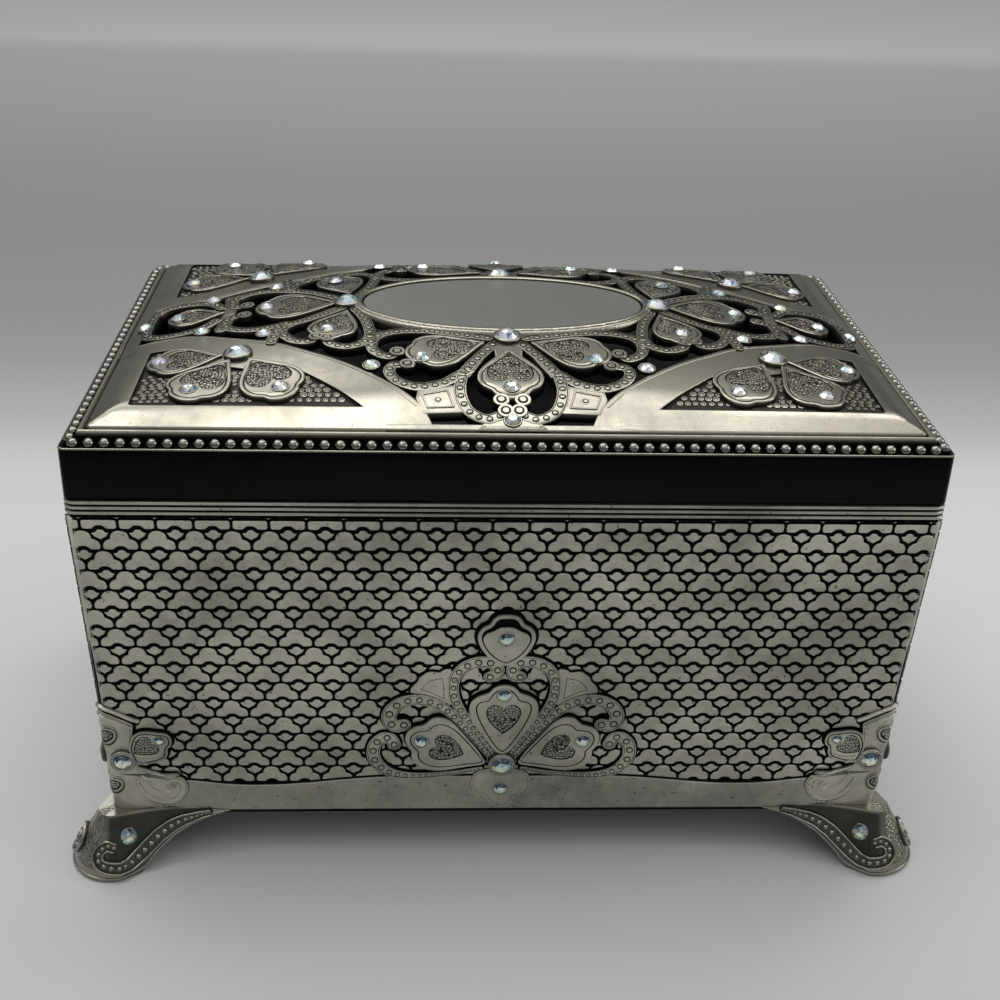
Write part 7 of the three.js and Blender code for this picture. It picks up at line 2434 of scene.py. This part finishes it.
@dataclass
class Lining:
    """Flocked tray with its shelf, divider and well, and the padded ring rolls.

    Args:
        weld: Distance under which the tray's corners are merged.
        bevel: Width of the rounding on its edges.
        power: Power that squares a roll's round section.
    """

    weld: float = 0.02
    bevel: float = 0.6
    power: float = 0.66

    def tray_mesh(self, node: bpy.types.Object) -> bpy.types.Object:
        """Copy of the tray's solid, with its corners merged and its edges rounded.

        Args:
            node: The tray's node.

        Returns:
            The copy.
        """
        mesh = node.data.copy()
        mesh.name = "flocked_lining"
        piece = linked(mesh.name, mesh)
        weld = piece.modifiers.new("weld", "WELD")
        weld.merge_threshold = self.weld * MM
        bevel = piece.modifiers.new("bevel", "BEVEL")
        bevel.width = self.bevel * MM
        bevel.segments = 3
        bevel.limit_method = "ANGLE"
        bevel.angle_limit = math.radians(40)
        return piece

    def roll(self, index: int, low: Array, high: Array) -> Surface:
        """Bolster: a rounded section with drawn-in ends and faint cross wrinkles.

        Args:
            index: Number of the roll, which sets its wrinkles.
            low: Low corner of its box.
            high: High corner of its box.

        Returns:
            The roll.
        """
        along = np.linspace(0, 1, 90)
        angle = np.linspace(0, 2 * math.pi, 56, endpoint=False)
        drawn = (1 - np.abs(2 * along - 1) ** 14) ** 0.35 * 0.42 + 0.58
        centre = (low + high) / 2
        half = (high - low) / 2 * [0.985, 1, 0.985]
        side, up = (np.sign(wave) * np.abs(wave) ** self.power for wave in (np.cos(angle), np.sin(angle)))
        wrinkle = 1 + 0.008 * np.sin(along * 61 + index)[:, None] * np.sin(3 * angle + index)[None] \
            + 0.006 * np.sin(along * 23 + 2 * index)[:, None]
        wrinkle = np.minimum(wrinkle, 1.0)
        x = centre[0] + half[0] * side[None] * drawn[:, None] * wrinkle
        z = low[2] + half[2] * drawn[:, None] * (1 + up[None] * wrinkle)
        rings = stacked(x, (low[1] + along * (high[1] - low[1]))[:, None], z)
        return capped(rings, rings[0].mean(axis=0), rings[-1].mean(axis=0))

    def build(self, finishes: Finishes, nodes: dict[str, bpy.types.Object]) -> None:
        """Tray and rolls.

        Args:
            finishes: Finishes of the whole box.
            nodes: Nodes of the frame by name.
        """
        tray = self.tray_mesh(nodes["flocked_tray"])
        tray.data.materials.clear()
        tray.data.materials.append(finishes.velvet)
        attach(tray, Body.CASE.value)
        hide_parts("flocked_tray")
        for index in range(1, 6):
            low, high = (np.array(corner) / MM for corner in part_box(f"ring_roll_{index}"))
            piece = add_piece(f"padded_roll_{index}", self.roll(index, low, high), Body.CASE,
                              finishes.velvet, (f"ring_roll_{index}",), sharp=60.0)


class Movement:
    """Movement, hinges and fixings: the frame's own solids with their finishes."""

    brass = ("movement_bed", "spring_barrel", "music_cylinder")
    velvet = ("lid_lining_board",)

    def build(self, finishes: Finishes, nodes: dict[str, bpy.types.Object]) -> None:
        """Gives every node that stays in view its material.

        Args:
            finishes: Finishes of the whole box.
            nodes: Nodes of the frame by name.
        """
        for name, node in nodes.items():
            if node.hide_render:
                continue
            look = finishes.brass if name in self.brass else finishes.steel
            if name in self.velvet:
                look = finishes.velvet
            node.data.materials.clear()
            node.data.materials.append(look)


# ---- studio


@dataclass
class Studio:
    """Pale floor, soft lamps and the camera at the photograph's angle.

    Args:
        position: Camera place in millimetres.
        pitch: Degrees down.
        yaw: Degrees to the right.
        roll: Degrees of roll.
        lens: Focal length on a 36 mm sensor.
        floor_size: Half width of the floor.
    """

    position: tuple[float, float, float] = (-18.14, -306.78, 223.26)
    pitch: float = 27.364
    yaw: float = 3.556
    roll: float = 2.026
    lens: float = 51.08
    floor_size: float = 6000.0

    def camera(self) -> None:
        """Camera with its three fitted turns."""
        pitch, yaw, roll = (math.radians(v) for v in (self.pitch, self.yaw, self.roll))
        forward = Vector((math.sin(yaw) * math.cos(pitch), math.cos(yaw) * math.cos(pitch), -math.sin(pitch)))
        right = Vector((math.cos(yaw), -math.sin(yaw), 0))
        down = forward.cross(right)
        across = math.cos(roll) * right - math.sin(roll) * down
        up = -(math.sin(roll) * right + math.cos(roll) * down)
        data = bpy.data.cameras.new("photo_camera")
        data.sensor_width = 36
        data.lens = self.lens
        data.clip_start = 0.01
        camera = linked("photo_camera", data)
        matrix = Matrix((across, up, -forward)).transposed().to_4x4()
        matrix.translation = Vector(self.position) * MM
        camera.matrix_world = matrix
        bpy.context.scene.camera = camera

    def floor(self) -> None:
        """Large floor whose colour is painted with light and shade: palest round the box, darkest some 0.4 m
        behind it, and paler again further back.
        """
        x, y = np.meshgrid(*[np.linspace(-self.floor_size, self.floor_size, 24)] * 2)
        quads = sheet_quads(np.arange(x.size).reshape(x.shape))
        floor = to_object("studio_floor", Surface(stacked(x, y, 0.0).reshape(-1, 3), quads))
        material, sh, shade = new_material("studio_floor")
        parts = sh.add("ShaderNodeSeparateXYZ")
        sh.put(parts.inputs[0], sh.place())
        # Painted light and shade: the floor's colour follows the fall of light across it.
        stops = ((0.0, 0.50), (0.05, 0.56), (0.1, 0.57), (0.19, 0.54), (0.225, 0.505), (0.2645, 0.368),
                 (0.318, 0.272), (0.365, 0.243), (0.4755, 0.225), (0.587, 0.247), (0.7345, 0.306),
                 (0.945, 0.39), (1.0, 0.5))
        tone = sh.ramp(sh.span(parts.outputs[1], -0.1, 1.0), [(at, (v, v, v * 0.985)) for at, v in stops])
        sh.fill(shade, {"Base Color": tone, "Roughness": 0.9, "Specular IOR Level": 0.1})
        floor.data.materials.append(material)

    def lamp(self, name: str, place: tuple[float, float, float], size: tuple[float, float],
             power: float) -> None:
        """Soft rectangular lamp that looks at the box.

        Args:
            name: Its name.
            place: Its place in metres.
            size: Its length and width in metres.
            power: Its power in watts.
        """
        data = bpy.data.lights.new(name, "AREA")
        data.shape = "RECTANGLE"
        data.size, data.size_y = size
        data.energy = power
        lamp = linked(name, data)
        lamp.location = place
        aim = Vector((0, 0, 0.05)) - Vector(place)
        lamp.rotation_euler = aim.to_track_quat("-Z", "Y").to_euler()

    def world(self) -> None:
        """Pale sky that grows from a grey horizon to a bright zenith."""
        world = bpy.data.worlds.new("studio_world")
        bpy.context.scene.world = world
        world.use_nodes = True
        sh = Shader(world.node_tree)
        parts = sh.add("ShaderNodeSeparateXYZ")
        sh.put(parts.inputs[0], sh.add("ShaderNodeTexCoord").outputs["Generated"])
        stops = ((0.0, 0.12), (0.25, 0.2), (0.5, 0.38), (0.75, 0.75), (1.0, 1.1))
        tone = sh.ramp(parts.outputs[2], [(at, (v * 0.985, v, v)) for at, v in stops])
        sh.fill(sh.tree.nodes["Background"], {"Color": tone, "Strength": 0.9})

    def build(self) -> None:
        """Camera, floor, lamps and world."""
        bpy.context.scene.view_settings.view_transform = "Standard"
        self.camera()
        self.floor()
        self.world()
        self.lamp("soft_key", (-0.08, 0.17, 1.0), (1.5, 0.26), 5.2)
        self.lamp("soft_back", (-0.4, 0.6, 0.8), (0.7, 0.4), 1.5)
        self.lamp("soft_side", (0.95, -0.1, 0.55), (0.5, 0.6), 2.5)


def main() -> None:
    """Builds the box round the frame, then the studio."""
    logging.basicConfig(level=logging.INFO, format="%(message)s")
    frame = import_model()
    nodes = frame["nodes"]
    finishes = Finishes()
    CaseShell().build(finishes)
    ScaleWall().build(finishes)
    FrontPalmette().build(finishes)
    CornerLeaves().build(finishes)
    ScrollFeet().build(finishes)
    LidFrame().build(finishes)
    Openwork().build(finishes)
    Lining().build(finishes, nodes)
    Movement().build(finishes, nodes)
    Studio().build()


if __name__ == "__main__":
    main()
